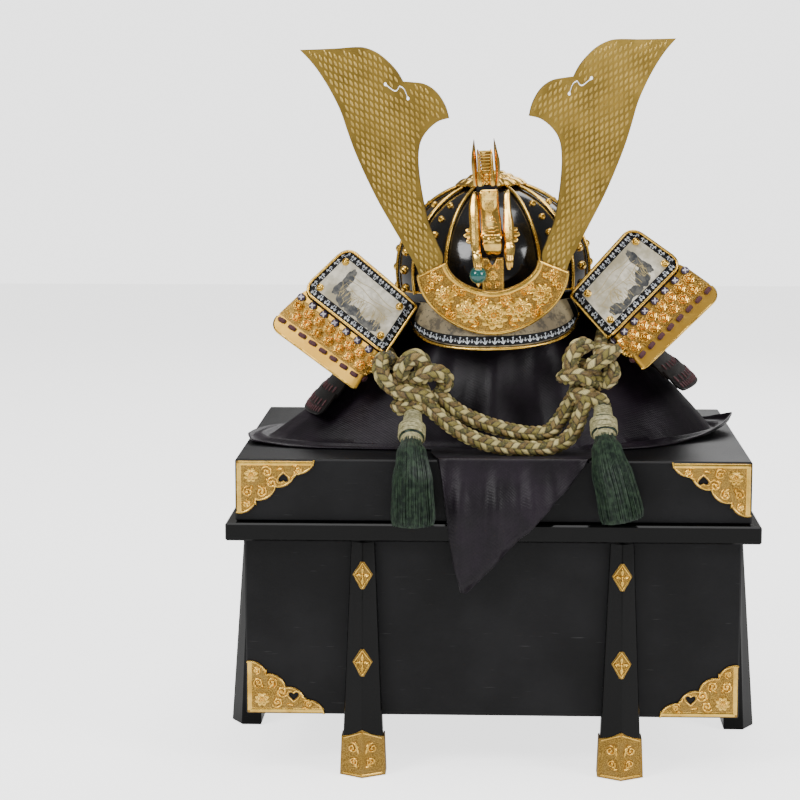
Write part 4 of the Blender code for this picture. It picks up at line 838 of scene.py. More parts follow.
def cloth_line(azimuth):
    """The cloth's line from the bowl's rim outwards at one azimuth, as (radius, height)."""
    foot, flare, hem, hang, lift = cloth_values(azimuth)
    turn = radians(azimuth)
    floor_z = lid_top + cloth_clear + cloth_wall
    hang_z = helmet_height - 0.002
    bend_radius = 0.004
    edge = cloth_edge(azimuth)
    last = 1.0 if hem >= foot else (hem / foot) ** 1.2
    line = []
    for step in range(1, 25):
        share = last * step / 24
        fold = 0.0035 * share * cos(8 * turn + 0.9 * sin(2 * turn)) * (1.35 - share)
        fold += 0.0016 * share * sin(19 * turn + 3 * share) * (1 - share)
        radius = cloth_neck + (foot - cloth_neck) * share**flare + 2 * fold
        ease = share - 0.06 * sin(pi * share) * share
        line.append((radius, hang_z - (hang_z - floor_z) * ease))
    start, z = line[-1]
    hem = max(hem, start + 0.006)
    flat_end = min(hem, edge - bend_radius)
    for step in range(1, 7):
        share = step / 6
        ripple = 0.0032 * sin(pi * share) ** 2 if 35 < abs(azimuth) < 145 else 0.0
        line.append((start + (flat_end - 0.003 - start) * share, z + ripple + 0.5 * lift * share**2))
    if hang <= 0:
        for step in range(1, 7):
            reach = flat_end - 0.002 + (hem + 0.003 - flat_end) * step / 6
            line.append((reach, floor_z + 0.5 * lift * (1 + step / 6)))
        reach, low = line[-1]
        return line + [(reach + 0.0001 * step, low) for step in range(1, 13)]
    for step in range(1, 7):
        bend = pi / 2 * step / 6
        line.append((edge - bend_radius * (1 - sin(bend)), floor_z - bend_radius * (1 - cos(bend))))
    reach, low = line[-1]
    for step in range(1, 13):
        fall = hang * step / 12
        wave = 0.5 + 0.5 * sin(0.62 * azimuth + 14 * fall) + 0.2 * sin(1.3 * azimuth - 9 * fall + 1)
        wave *= 0.0052 * min(1.0, fall / 0.03)
        line.append((reach + 0.010 * min(1, fall / 0.036) + max(0.0, wave), low - fall))
    return line


azimuths = [-180 + 360 * number / cloth_columns for number in range(cloth_columns)]
cloth_rows = []
off = -(bowl_wall + 0.0016)
head_reach = 0.62
for step in range(13):
    z = bowl_ring_height(bowl_half_width * head_reach * step / 12)
    cloth_rows.append([in_helmet(bowl_point(radians(a), z, off)) for a in azimuths])
head_edge = bowl_ring_height(bowl_half_width * head_reach)
for step in range(1, 13):
    row = []
    for azimuth in azimuths:
        turn = radians(azimuth)
        low = Vector((cloth_neck * sin(turn), -cloth_neck * cos(turn), 0.0))
        row.append(in_helmet(bowl_point(turn, head_edge, off).lerp(low, step / 12)))
    cloth_rows.append(row)
cloth_lines = [cloth_line(azimuth) for azimuth in azimuths]
for step in range(len(cloth_lines[0])):
    row = []
    for azimuth, line in zip(azimuths, cloth_lines):
        radius, z = line[step]
        row.append(Vector((radius * sin(radians(azimuth)), -radius * cos(radians(azimuth)), z)))
    cloth_rows.append(row)

bm = bmesh.new()
pole = bm.verts.new(cloth_rows[0][0])
verts = skin(bm, cloth_rows[1:], wrap=True)
for column in range(cloth_columns):
    bm.faces.new([pole, verts[0][(column + 1) % cloth_columns], verts[0][column]])
draped = [vert for row in verts[25:43] for vert in row]
for _ in range(3):
    bmesh.ops.smooth_vert(bm, verts=draped, factor=0.4, use_axis_x=True, use_axis_y=True, use_axis_z=True)

satin, shader, tree = plain_material(
    "aubergine satin", (0.018, 0.010, 0.020), 0.36, specular=0.28, sheen=0.06
)
shader.inputs["Sheen Roughness"].default_value = 0.35
object_spot, (x, y, z) = place_of(tree)
warp = (x * 1900).step("SINE") * (y * 1900 + z * 1900).step("SINE")
cloud = spots(tree, object_spot, 26.0, 4.0)
shade = mix(tree, cloud.fade(0.3, 0.75), (0.0035, 0.0020, 0.0040), (0.012, 0.0065, 0.013))
feed(tree, shader, "Base Color", shade)
feed(tree, shader, "Roughness", cloud * 0.16 + 0.38)
bump(tree, shader, warp * 0.5 + spots(tree, object_spot, 90.0, 3.0) * 6, 0.35, 0.0004)

cloth_mesh = close_mesh("satin cloth", bm, satin)
cloth = new_piece("display_cloth_satin", cloth_mesh, "dark satin cloth", "display_cloth", smooth=80)
thick = cloth.modifiers.new("cloth thickness", "SOLIDIFY")
thick.thickness = cloth_wall
thick.offset = -1.0
thick.use_even_offset = True

# Chest: the storage box is of thin boards under sanded black lacquer, with a polished black rim
# where the lid sits, and six tapered legs of the same polished lacquer nailed to its sides.
wear_outputs = ("Mottle", "Grain", "Scratch")

# Shared by the lacquers and metals: a mottled mask, fine grain and faint scratches.
surface_wear = bpy.data.node_groups.new("surface wear", "ShaderNodeTree")
for name in ("Mottle Scale", "Grain Scale"):
    surface_wear.interface.new_socket(name, in_out="INPUT", socket_type="NodeSocketFloat")
for name in wear_outputs:
    surface_wear.interface.new_socket(name, in_out="OUTPUT", socket_type="NodeSocketFloat")
start = surface_wear.nodes.new("NodeGroupInput")
end = surface_wear.nodes.new("NodeGroupOutput")
spot = surface_wear.nodes.new("ShaderNodeTexCoord").outputs["Object"]
stretch = surface_wear.nodes.new("ShaderNodeMapping")
stretch.inputs["Rotation"].default_value = (0.4, 0.2, 0.7)
stretch.inputs["Scale"].default_value = (40.0, 900.0, 900.0)
surface_wear.links.new(spot, stretch.inputs["Vector"])
for name, vector, detail in zip(wear_outputs, (spot, spot, stretch.outputs["Vector"]), (5.0, 2.0, 2.0)):
    texture = surface_wear.nodes.new("ShaderNodeTexNoise")
    texture.inputs["Detail"].default_value = detail
    surface_wear.links.new(vector, texture.inputs["Vector"])
    surface_wear.links.new(texture.outputs["Fac"], end.inputs[name])
    if name == "Scratch":
        texture.inputs["Scale"].default_value = 1.0
    else:
        surface_wear.links.new(start.outputs[f"{name} Scale"], texture.inputs["Scale"])


def wear(tree, mottle_scale, grain_scale):
    """Places the shared wear group and returns its mottle, grain and scratches."""
    node = tree.nodes.new("ShaderNodeGroup")
    node.node_tree = surface_wear
    node.inputs["Mottle Scale"].default_value = mottle_scale
    node.inputs["Grain Scale"].default_value = grain_scale
    return [Wire(tree, node.outputs[name]) for name in wear_outputs]


def worn_finish(
    name, base, scales, tones, rough, relief=None, fade=(0.4, 0.7), scratched=None, scratch_from=0.6, **look
):
    """A finish that wanders between two tones.

    Rough holds the shares of mottle, grain and scratches in its roughness, and its least value.
    Relief holds the shares of mottle and grain in its bumps, their strength and their depth.
    """
    finish, shader, tree = plain_material(name, base, **look)
    mottle, grain, scratch = wear(tree, *scales)
    colour = mix(tree, mottle.fade(*fade), *tones)
    if scratched:
        low, high, share, tone = scratched
        colour = mix(tree, scratch.fade(low, high) * share, colour, tone)
    feed(tree, shader, "Base Color", colour)
    by_mottle, by_grain, by_scratch, least = rough
    level = mottle * by_mottle
    if by_grain:
        level = level + grain * by_grain
    if by_scratch:
        level = level + scratch.fade(scratch_from, 0.8) * by_scratch
    feed(tree, shader, "Roughness", level + least)
    if relief:
        by_mottle, by_grain, strength, depth = relief
        bump(tree, shader, mottle * by_mottle + grain * by_grain, strength, depth)
    return finish


sanded_black = worn_finish(
    "sanded black lacquer",
    (0.010, 0.010, 0.011),
    (14.0, 1400.0),
    ((0.0035, 0.0035, 0.004), (0.009, 0.009, 0.010)),
    (0.16, 0.10, 0.0, 0.30),
    (0.0, 1.0, 0.22, 0.0004),
    fade=(0.35, 0.7),
    scratched=(0.70, 0.80, 0.5, (0.07, 0.07, 0.07)),
    roughness=0.46,
    specular=0.20,
)
polished_black = worn_finish(
    "polished black lacquer",
    (0.003, 0.003, 0.003),
    (22.0, 500.0),
    ((0.003, 0.003, 0.003), (0.003, 0.003, 0.003)),
    (0.10, 0.0, 0.2, 0.05),
    (1.0, 0.0, 0.08, 0.002),
    scratched=(0.70, 0.80, 0.4, (0.03, 0.03, 0.03)),
    roughness=0.10,
    specular=0.16,
)
for name in ("front_board", "back_board", "left_board", "right_board", "bottom_board", "lid"):
    nodes[f"chest_{name}"].material_slots[0].material = sanded_black
nodes["chest_rim"].material_slots[0].material = polished_black
for name in ("front_left", "front_right", "back_left", "back_right", "side_left", "side_right"):
    nodes[f"leg_{name}"].material_slots[0].material = polished_black

# Chest fittings: corner plates with a heart-shaped hole, shoes and lozenges of cast gilt brass.
# Their scrolls stand up polished from a darker punched ground, inside a plain border strip.
body_low, body_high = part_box("chest_front_board")
lid_low, lid_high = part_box("chest_lid")
fitting_gap = 0.0003
sheet_metal = 0.0012
corner_width = 0.066
corner_height = 0.045
corner_scallops = 4
corner_scallop_depth = 0.004
corner_inset = 0.0014
heart_size = 0.0042
heart_place = (0.60 * corner_width, -0.33 * corner_height)
scroll_height = 0.0011
leg_spacing = 0.218
leg_top_width = 0.020
leg_foot_width = 0.036
leg_top_depth = 0.0148
leg_foot_depth = 0.029
leg_shoulder = 0.55
lozenge_heights = (0.172, 0.098)


def raised(bm, place, middle, half, rows, columns=12, turn=0.0, lobes=0, lobe_depth=0.0, power=2.0):
    """Adds a low closed form on a surface, from rows of (share of its reach, height).

    A row's third value turns its lobes by that share of a lobe.
    """
    rings = []
    for row in rows:
        share, height = row[:2]
        phase = row[2] if len(row) > 2 else 0.0
        ring = []
        for column in range(columns):
            angle = 2 * pi * column / columns
            swell = (abs(cos(angle)) ** power + abs(sin(angle)) ** power) ** (-1 / power)
            if lobes:
                swell *= 1 - lobe_depth * (1 - abs(sin(lobes * angle / 2 + pi * phase)))
            a = half[0] * share * swell * cos(angle)
            b = half[1] * share * swell * sin(angle)
            across = middle[0] + a * cos(turn) - b * sin(turn)
            up = middle[1] + a * sin(turn) + b * cos(turn)
            ring.append(place(across, up, height))
        rings.append(ring)
    closed_tube(bm, rings)


def stroke(bm, place, path, widths, height, sink=0.0004):
    """Adds a rounded ridge along a line of (across, up) points, with its half-width at each."""
    profile = ((-1.0, -sink), (-0.85, 0.45 * height), (-0.4, 0.9 * height), (0.0, height))
    profile += ((0.4, 0.9 * height), (0.85, 0.45 * height), (1.0, -sink))
    rings = []
    for number, (a, b) in enumerate(path):
        before = path[max(number - 1, 0)]
        after = path[min(number + 1, len(path) - 1)]
        along = Vector((after[0] - before[0], after[1] - before[1])).normalized()
        wide = widths[number]
        ring = []
        for side, lift in profile:
            lift = lift if lift < 0 else lift * min(1.0, wide / (0.5 * height))
            ring.append(place(a - along.y * wide * side, b + along.x * wide * side, lift))
        rings.append(ring)
    closed_tube(bm, rings)


def ridge(bm, place, path, width, height, sink=0.0004):
    """Adds a ridge of one width along a line."""
    stroke(bm, place, path, [width] * len(path), height, sink)


def straight(start, end, steps):
    """The (across, up) points of a straight line."""
    (a, b), (c, d) = start, end
    return [(a + (c - a) * step / steps, b + (d - b) * step / steps) for step in range(steps + 1)]


def scroll(bm, place, middle, radius, start, hand=1, turns=1.35, width=0.0011, height=scroll_height):
    """Adds a tendril that winds in from its outer end to a bead at its middle."""
    path = []
    widths = []
    for step in range(27):
        share = step / 26
        reach = radius * (1 - 0.80 * share)
        angle = start + hand * 2 * pi * turns * share
        path.append((middle[0] + reach * cos(angle), middle[1] + reach * sin(angle)))
        widths.append(width * (0.35 + 0.65 * sin(pi * min(1.0, 0.15 + share * 0.75))))
    stroke(bm, place, path, widths, height)
    bead = ((1.0, -0.0003), (0.9, 0.6 * height), (0.45, 1.15 * height))
    raised(bm, place, path[-1], (width * 1.5, width * 1.5), bead, columns=8)


def leaf(bm, place, root, heading, length, wide, height=scroll_height):
    """Adds a pointed leaf with a rounded back, from its root."""
    middle = (root[0] + 0.5 * length * cos(heading), root[1] + 0.5 * length * sin(heading))
    rows = ((1.0, -0.0003), (0.92, 0.5 * height), (0.55, height), (0.15, 0.75 * height))
    raised(bm, place, middle, (length / 2, wide / 2), rows, columns=12, turn=heading, power=1.35)


def flower(bm, place, middle, radius, petals=8, height=0.0016, turn=0.0):
    """Adds a blossom: three rings of petals, each standing a little over the last, and its eye."""
    rows = (
        (1.00, -0.0004, 0.0),
        (0.96, 0.40 * height, 0.0),
        (0.78, 0.62 * height, 0.0),
        (0.66, 0.42 * height, 0.5),
        (0.62, 0.70 * height, 0.5),
        (0.48, 0.86 * height, 0.5),
        (0.38, 0.60 * height, 0.0),
        (0.34, 0.92 * height, 0.0),
        (0.22, 1.00 * height, 0.0),
        (0.16, 0.72 * height, 0.0),
        (0.12, 1.05 * height, 0.0),
    )
    sides = petals * 6
    raised(bm, place, middle, (radius, radius), rows, sides, turn, lobes=petals, lobe_depth=0.24)


def flat_plate(bm, loops, thickness, place):
    """Adds a plate with holes: the first loop of (across, up) points is its outline."""
    flat = [[Vector((across, up, 0.0)) for across, up in loop] for loop in loops]
    triangles = tessellate_polygon(flat)
    faces = []
    for depth in (0.0, thickness):
        faces.append([[bm.verts.new(place(a, b, depth)) for a, b in loop] for loop in loops])
    flat_near, flat_far = [[vert for loop in side for vert in loop] for side in faces]
    for a, b, c in triangles:
        bm.faces.new([flat_near[a], flat_near[b], flat_near[c]])
        bm.faces.new([flat_far[c], flat_far[b], flat_far[a]])
    for near, far in zip(*faces):
        for step in range(len(near)):
            after = (step + 1) % len(near)
            bm.faces.new([near[step], near[after], far[after], far[step]])


def relief_piece(name, ground, relief, *stands_for):
    """Finishes a gilt plate's punched ground and the polished relief on it as one piece."""
    meshes = [close_mesh("ground", ground, punched_gilt), close_mesh("relief", relief, bright_gilt)]
    put_together(name, meshes, "gilt", *stands_for, smooth=50)


bright_gilt = worn_finish(
    "polished gilt",
    (0.92, 0.58, 0.15),
    (70.0, 900.0),
    ((0.94, 0.60, 0.13), (0.70, 0.41, 0.07)),
    (0.20, 0.0, 0.2, 0.14),
    (2.0, 1.0, 0.15, 0.0003),
    fade=(0.40, 0.68),
    scratch_from=0.55,
    roughness=0.25,
    metallic=1.0,
)
punched_gilt, shader, tree = plain_material("punched gilt ground", (0.45, 0.30, 0.12), 0.45, metallic=1.0)
mottle, grain, scratch = wear(tree, 90.0, 700.0)
object_spot, _ = place_of(tree)
dots = spots(tree, object_spot, 1250.0, kind="ShaderNodeTexVoronoi").fade(0.25, 0.55)
colour = mix(tree, dots, (0.70, 0.43, 0.095), (0.24, 0.135, 0.03))
feed(tree, shader, "Base Color", mix(tree, mottle.fade(0.4, 0.7) * 0.5, colour, (0.38, 0.25, 0.08)))
feed(tree, shader, "Roughness", mottle * 0.2 + 0.30)
bump(tree, shader, dots, 0.6, -0.0003)


def heart_loop(middle, size):
    """A heart's outline."""
    loop = []
    for step in range(28):
        turn = 2 * pi * step / 28
        up = -(0.81 * cos(turn) - 0.31 * cos(2 * turn) - 0.13 * cos(3 * turn))
        loop.append((middle[0] + size * sin(turn) ** 3, middle[1] + size * up))
    return loop


def corner_loop():
    """The corner plate's outline from its square corner, with a scalloped long side."""
    loop = [(0.0, 0.0), (corner_width, 0.0)]
    steps = corner_scallops * 12
    slope = hypot(corner_width, corner_height)
    for step in range(1, steps):
        share = step / steps
        swell = corner_scallop_depth * abs(sin(pi * corner_scallops * share)) ** 0.7
        across = corner_width * (1 - share) + swell * corner_height / slope
        loop.append((across, -corner_height * share - swell * corner_width / slope))
    loop.append((0.0, -corner_height))
    return loop


corner_spots = (
    ("lid_corner_left", -1, 1, lid_high[0], lid_high[2], lid_low[1]),
    ("lid_corner_right", 1, 1, lid_high[0], lid_high[2], lid_low[1]),
    ("body_corner_left", -1, -1, body_high[0], body_low[2], body_low[1]),
    ("body_corner_right", 1, -1, body_high[0], body_low[2], body_low[1]),
)
for name, side, up_side, half, edge_z, face_y in corner_spots:

    def place(across, up, out):
        """A point of the corner plate: across and down from its square corner, out from its face."""
        x = side * (half - corner_inset - across)
        z = edge_z - up_side * corner_inset + up_side * up
        return Vector((x, face_y - fitting_gap - sheet_metal - out, z))

    ground = bmesh.new()
    flat_plate(ground, [corner_loop(), heart_loop(heart_place, heart_size)], -sheet_metal, place)
    relief = bmesh.new()
    strip = 0.0021
    for end in ((corner_width - 0.001, -strip), (strip, 0.001 - corner_height)):
        ridge(relief, place, straight((strip, -strip), end, 8), strip, 0.0006)
    edge = corner_loop()[1:]
    inner = []
    for a, b in edge:
        inner.append((a - 0.0010 * corner_height / 0.08, b + 0.0012 * corner_width / 0.08))
    ridge(relief, place, inner, 0.0009, 0.0007)
    rim = heart_loop(heart_place, heart_size * 1.32)
    ridge(relief, place, rim + rim[:1], 0.0006, 0.0006)
    flower(relief, place, (0.0125, -0.0118), 0.0066, petals=8, height=0.0016)
    for centre, radius, start_angle, hand in (
        ((0.0255, -0.0092), 0.0048, 2.6, -1),
        ((0.0300, -0.0185), 0.0050, 0.6, 1),
        ((0.0520, -0.0080), 0.0036, 3.3, 1),
        ((0.0210, -0.0262), 0.0046, 1.2, -1),
        ((0.0095, -0.0262), 0.0047, 1.4, 1),
        ((0.0080, -0.0368), 0.0033, 1.6, -1),
    ):
        scroll(relief, place, centre, radius, start_angle, hand)
    for root, heading, length in (
        ((0.0170, -0.0205), -0.6, 0.0085),
        ((0.0330, -0.0075), 0.15, 0.0070),
        ((0.0455, -0.0145), 0.5, 0.0065),
        ((0.0465, -0.0045), 0.2, 0.0060),
        ((0.0145, -0.0330), -1.2, 0.0060),
        ((0.0245, -0.0145), -0.9, 0.0055),
        ((0.0130, -0.0205), -1.7, 0.0050),
    ):
        leaf(relief, place, root, heading, length, 0.0030)
    relief_piece(f"{name}_chased", ground, relief, name)


def leg_skin(z):
    """Half-width, shoulder depth and ridge depth of a front leg at one height."""
    share = z / body_high[2]
    half = (leg_foot_width + (leg_top_width - leg_foot_width) * share) / 2
    depth = leg_foot_depth + (leg_top_depth - leg_foot_depth) * share
    return half, depth * leg_shoulder + half * 0.12, depth


for side_name, leg_x in (("left", -leg_spacing / 2), ("right", leg_spacing / 2)):

    def place(across, z, out):
        """A point on a leg's two front faces: across from its ridge, at a height, out from its gilt."""
        half, shoulder, depth = leg_skin(z)
        slope = (depth - shoulder) / half
        off = (fitting_gap + sheet_metal + out) / cos(atan2(slope, 1))
        y = body_low[1] - (depth - slope * abs(across) + off)
        return Vector((leg_x + across, y, z))

    relief = bmesh.new()
    for face in (-1, 1):
        scroll(relief, place, (face * 0.0088, 0.0245), 0.0044, pi / 2, face, width=0.0010)
        scroll(relief, place, (face * 0.0080, 0.0130), 0.0040, -pi / 2, -face, width=0.0010)
        leaf(relief, place, (face * 0.0030, 0.0190), pi / 2 - face * 0.25, 0.0125, 0.0032)
        leaf(relief, place, (face * 0.0025, 0.0075), pi / 2 - face * 0.9, 0.0075, 0.0030)
        peak = straight((face * 0.0165, 0.0318), (face * 0.0007, 0.0386), 12)
        ridge(relief, place, peak, 0.0009, 0.0007)
        ridge(relief, place, straight((0.0, 0.0022), (face * 0.0167, 0.0022), 12), 0.0011, 0.0007)
    mesh = close_mesh("shoe relief", relief, bright_gilt)
    new_piece(f"shoe_{side_name}_chasing", mesh, "gilt", smooth=50)
    relief = bmesh.new()
    for height in lozenge_heights:
        for number in range(4):
            heading = pi / 2 * number
            root = (0.0006 * cos(heading), height + 0.0006 * sin(heading))
            leaf(relief, place, root, heading, (0.0062, 0.0080)[number % 2], 0.0034, 0.0010)
        bead = ((1.0, -0.0003), (0.9, 0.0012), (0.4, 0.0017))
        raised(relief, place, (0.0, height), (0.0016, 0.0016), bead, columns=10)
        corners = ((0.0, 0.0108), (0.0074, 0.0), (0.0, -0.0108), (-0.0074, 0.0), (0.0, 0.0108))
        corners = [(across, height + up) for across, up in corners]
        for start, end in zip(corners, corners[1:]):
            ridge(relief, place, straight(start, end, 6), 0.0006, 0.0005)
    mesh = close_mesh("lozenge relief", relief, bright_gilt)
    new_piece(f"lozenges_{side_name}_chasing", mesh, "gilt", smooth=50)
    for name in (f"shoe_{side_name}", f"lozenge_{side_name}_upper", f"lozenge_{side_name}_lower"):
        nodes[name].material_slots[0].material = punched_gilt

# Stand: a planed board and a turned post of pale wood carry the helmet. The cloth hides all of
# it but the front edge of the board.
plain_wood, shader, tree = plain_material("planed pale wood", (0.60, 0.43, 0.25), 0.55)
object_spot, _ = place_of(tree)
stretch = tree.nodes.new("ShaderNodeMapping")
stretch.inputs["Scale"].default_value = (6.0, 160.0, 160.0)
tree.links.new(object_spot, stretch.inputs["Vector"])
rings = spots(tree, stretch.outputs["Vector"], 1.0, 4.0)
pores = spots(tree, stretch.outputs["Vector"], 9.0, 2.0)
colour = mix(tree, rings.fade(0.35, 0.65), (0.66, 0.48, 0.28), (0.42, 0.27, 0.14))
feed(tree, shader, "Base Color", mix(tree, pores.fade(0.62, 0.75) * 0.6, colour, (0.22, 0.13, 0.06)))
feed(tree, shader, "Roughness", rings * 0.2 + 0.42)
bump(tree, shader, pores, 0.3, 0.0003)
for name in ("stand_base", "stand_post"):
    nodes[name].material_slots[0].material = plain_wood

# Bowl: one raised iron shell under black lacquer, with thirteen gilt wire ribs from its rim to the
# crown, a column of gilt rivets between each two, and a scalloped gilt plate behind the crest.
rib_count = 13
rib_front_angle = radians(28)
rib_clearance = 0.0005
rib_radius = 0.0016
crown_hole = 0.010
crown_radius = 0.031
crown_petals = 16
rivet_radius = 0.0041
rivet_heights = (0.013, 0.029, 0.045, 0.060, 0.0735, 0.0845)


stamps, parts = geometry_tree(
    "stamps on points",
    (("Stamp", "Object"), ("Size", "Float"), ("Finish", "Material")),
    (
        ("stamp", "GeometryNodeObjectInfo"),
        ("turn", "GeometryNodeInputNamedAttribute", ("data_type", "FLOAT_VECTOR")),
        ("to_turn", "FunctionNodeEulerToRotation"),
        ("size", "GeometryNodeInputNamedAttribute", ("data_type", "FLOAT_VECTOR")),
        ("scale", "ShaderNodeVectorMath", ("operation", "SCALE")),
        ("put", "GeometryNodeInstanceOnPoints"),
        ("real", "GeometryNodeRealizeInstances"),
        ("paint", "GeometryNodeSetMaterial"),
    ),
    (
        "start.Geometry > put.Points",
        "start.Stamp > stamp.Object",
        "stamp.Geometry > put.Instance",
        "turn.Attribute > to_turn.Euler",
        "to_turn.Rotation > put.Rotation",
        "size.Attribute > scale.Vector",
        "start.Size > scale.Scale",
        "scale.Vector > put.Scale",
        "put.Instances > real.Geometry",
        "real.Geometry > paint.Geometry",
        "start.Finish > paint.Material",
        "paint.Geometry > end.Geometry",
    ),
)
for name in ("turn", "size"):
    parts[name].inputs["Name"].default_value = name


def upright(across, up, out):
    """The plane that a stamp is made on: its face looks along +Z."""
    return Vector((across, up, out))


def stamp_mesh(shape, seats, finish, size=1.0):
    """Sets a shape, drawn by a function on a bmesh, at (place, outward, upward, size) seats."""
    bm = bmesh.new()
    shape(bm)
    stamp = bpy.data.objects.new("stamp", close_mesh("stamp", bm, finish))
    seat = bpy.data.meshes.new("seats")
    seat.from_pydata([tuple(row[0]) for row in seats], [], [])
    seat.attributes.new("turn", "FLOAT_VECTOR", "POINT")
    seat.attributes.new("size", "FLOAT_VECTOR", "POINT")
    for number, (_, outward, upward, own_size) in enumerate(seats):
        outward = outward.normalized()
        side = upward.cross(outward).normalized()
        frame_turn = Matrix((side, outward.cross(side), outward)).transposed()
        seat.attributes["turn"].data[number].vector = frame_turn.to_euler()
        seat.attributes["size"].data[number].vector = (own_size, own_size, own_size)
    mesh = made_by(stamps, seat, {"Stamp": stamp, "Size": size, "Finish": finish})
    bpy.data.objects.remove(stamp)
    return mesh


def thick_wall(bm, front, back, wrap=False):
    """Adds a wall between two like grids of points, closed along its edges."""
    outer = skin(bm, front, wrap)
    inner = skin(bm, back, wrap)
    count = len(front[0])
    for row in (0, -1):
        for column in range(count if wrap else count - 1):
            after = (column + 1) % count
            bm.faces.new([outer[row][column], outer[row][after], inner[row][after], inner[row][column]])
    if not wrap:
        for column in (0, -1):
            for number in range(len(front) - 1):
                near, far = outer[number], outer[number + 1]
                bm.faces.new([near[column], far[column], inner[number + 1][column], inner[number][column]])


def two_faces(offs, rows, columns, point):
    """Two like grids of points, from a function of how far each is off, its row and its column."""
    return [[[point(off, row, column) for column in range(columns)] for row in range(rows)] for off in offs]


def wall_seat(place, across, up, size=1.0, facing=1, upward=Vector((0.0, 0.0, 1.0))):
    """A seat for a stamp on a surface, from the surface's own (across, up, out) function."""
    spot = place(across, up, 0.0)
    return spot, place(across, up, facing * 0.01) - spot, upward, size


bowl_black = worn_finish(
    "bowl lacquer",
    (0.003, 0.003, 0.003),
    (30.0, 600.0),
    ((0.004, 0.004, 0.005), (0.014, 0.013, 0.013)),
    (0.14, 0.0, 0.15, 0.06),
    (1.0, 0.1, 0.10, 0.002),
    scratch_from=0.55,
    roughness=0.12,
    coat=0.15,
)

columns = 156
bowl_levels = [-band_drop, -band_drop + 0.0006, 0.0, band_top * 0.5, band_top, 0.014, 0.020, bowl_widest]
top_height = bowl_ring_height(crown_hole)
for step in range(1, 27):
    bowl_levels.append(min(bowl_widest + (bowl_rise - bowl_widest) * sin(pi / 2 * step / 27), top_height))
bowl_levels.append(top_height)

def bowl_place(angle, z, out):
    """A point over the bowl's skin."""
    return in_helmet(bowl_point(angle, z, out))


bm = bmesh.new()
thick_wall(
    bm,
    *two_faces(
        (0.0, -bowl_wall),
        len(bowl_levels),
        columns,
        lambda off, row, column: bowl_place(2 * pi * column / columns, bowl_levels[row], off),
    ),
    wrap=True,
)
new_piece("bowl_shell", close_mesh("bowl", bm, bowl_black), "black bowl lacquer", "bowl", smooth=50)

rib_angles = []
for number in range(rib_count):
    rib_angles.append(rib_front_angle + number * (2 * pi - 2 * rib_front_angle) / (rib_count - 1))
rib_top = bowl_ring_height(0.0215)
lines = []
for angle in rib_angles:
    line = []
    for step in range(41):
        z = band_top + (rib_top - band_top) * sin(pi / 2 * step / 40)
        line.append(in_helmet(bowl_point(angle, z, rib_clearance + 0.8 * rib_radius)))
    lines.append(line)
ribs_mesh = wire_mesh(lines, rib_radius, 12, bright_gilt)
band_line = []
for column in range(120):
    band_line.append(in_helmet(bowl_point(2 * pi * column / 120, 0.0105, 0.0010)))
band_mesh = wire_mesh([band_line], 0.0009, 8, bright_gilt, closed=True)
put_together("bowl_ribs_wire", [ribs_mesh, band_mesh], "gilt", "bowl_ribs")


def rivet(bm):
    """A rivet with a high domed head."""
    rows = ((1.0, -0.0006), (1.0, 0.0005), (0.96, 0.0014), (0.84, 0.0025))
    rows += ((0.64, 0.0034), (0.38, 0.0041), (0.12, 0.0044))
    raised(bm, upright, (0.0, 0.0), (rivet_radius, rivet_radius), rows, columns=16)


seats = []
sector = rib_angles[1] - rib_angles[0]
for angle in [angle + sector / 2 for angle in rib_angles[:-1]]:
    for z in rivet_heights:
        seats.append(wall_seat(bowl_place, angle, z, 0.75 if z > 0.07 else 1.0))
put_together("bowl_rivets", [stamp_mesh(rivet, seats, bright_gilt)], "gilt")

crown_steps = 22
crown_columns = crown_petals * 12
seat_off = rib_clearance + 0.0024


def crown_point(lifted, step, column):
    """A point of the crown ring: two rings of petals round a raised lip, or its flat underside."""
    share = step / crown_steps
    angle = 2 * pi * column / crown_columns
    petal = abs(sin(crown_petals * angle / 2)) ** 0.5
    inner_petal = abs(cos(crown_petals * angle / 2)) ** 0.5
    inside_edge = crown_hole * 1.05
    radius = inside_edge + (crown_radius * (0.92 + 0.08 * petal) - inside_edge) * share
    lift = 0.0052 * (1 - share) ** 1.4
    lift += 0.0016 * petal * sin(pi * min(1.0, max(0.0, (share - 0.42) / 0.58)))
    lift += 0.0018 * inner_petal * sin(pi * min(1.0, max(0.0, (share - 0.12) / 0.38)))
    lift += 0.0016 * exp(-(((share - 0.02) / 0.06) ** 2)) + 0.0012
    return bowl_place(angle, bowl_ring_height(radius), seat_off + lifted * lift)


bm = bmesh.new()
thick_wall(bm, *two_faces((1, 0), crown_steps + 1, crown_columns, crown_point), wrap=True)
new_piece("crown_ring_petals", close_mesh("crown ring", bm, bright_gilt), "gilt", "crown_ring", smooth=60)

# Visor: a curved peak covered in printed doe leather, with a dark border of white sprigs round
# it and a gilt tube along its free edge.
visor_half_angle = radians(52)
visor_reach = 0.0214
visor_end_reach = 0.007
visor_drop = 0.0325
visor_end_drop = 0.0100
visor_top = 0.002
visor_thickness = 0.002
visor_length = 0.0405
visor_stretch = 1.12
visor_rows = 12
visor_columns = 96
border_reach = 0.985
visor_rim_radius = 0.0013
touch_gap = 0.0003


def band_normal(angle):
    """The level way out from the bowl's band."""
    return Vector((sin(angle) / bowl_half_width, -cos(angle) / bowl_half_length, 0.0)).normalized()


def band_point(angle, off):
    """A point off the bowl's band, level with its lower edge."""
    base = Vector((bowl_half_width * sin(angle), -bowl_half_length * cos(angle), 0.0))
    return base * band_share + off * band_normal(angle)


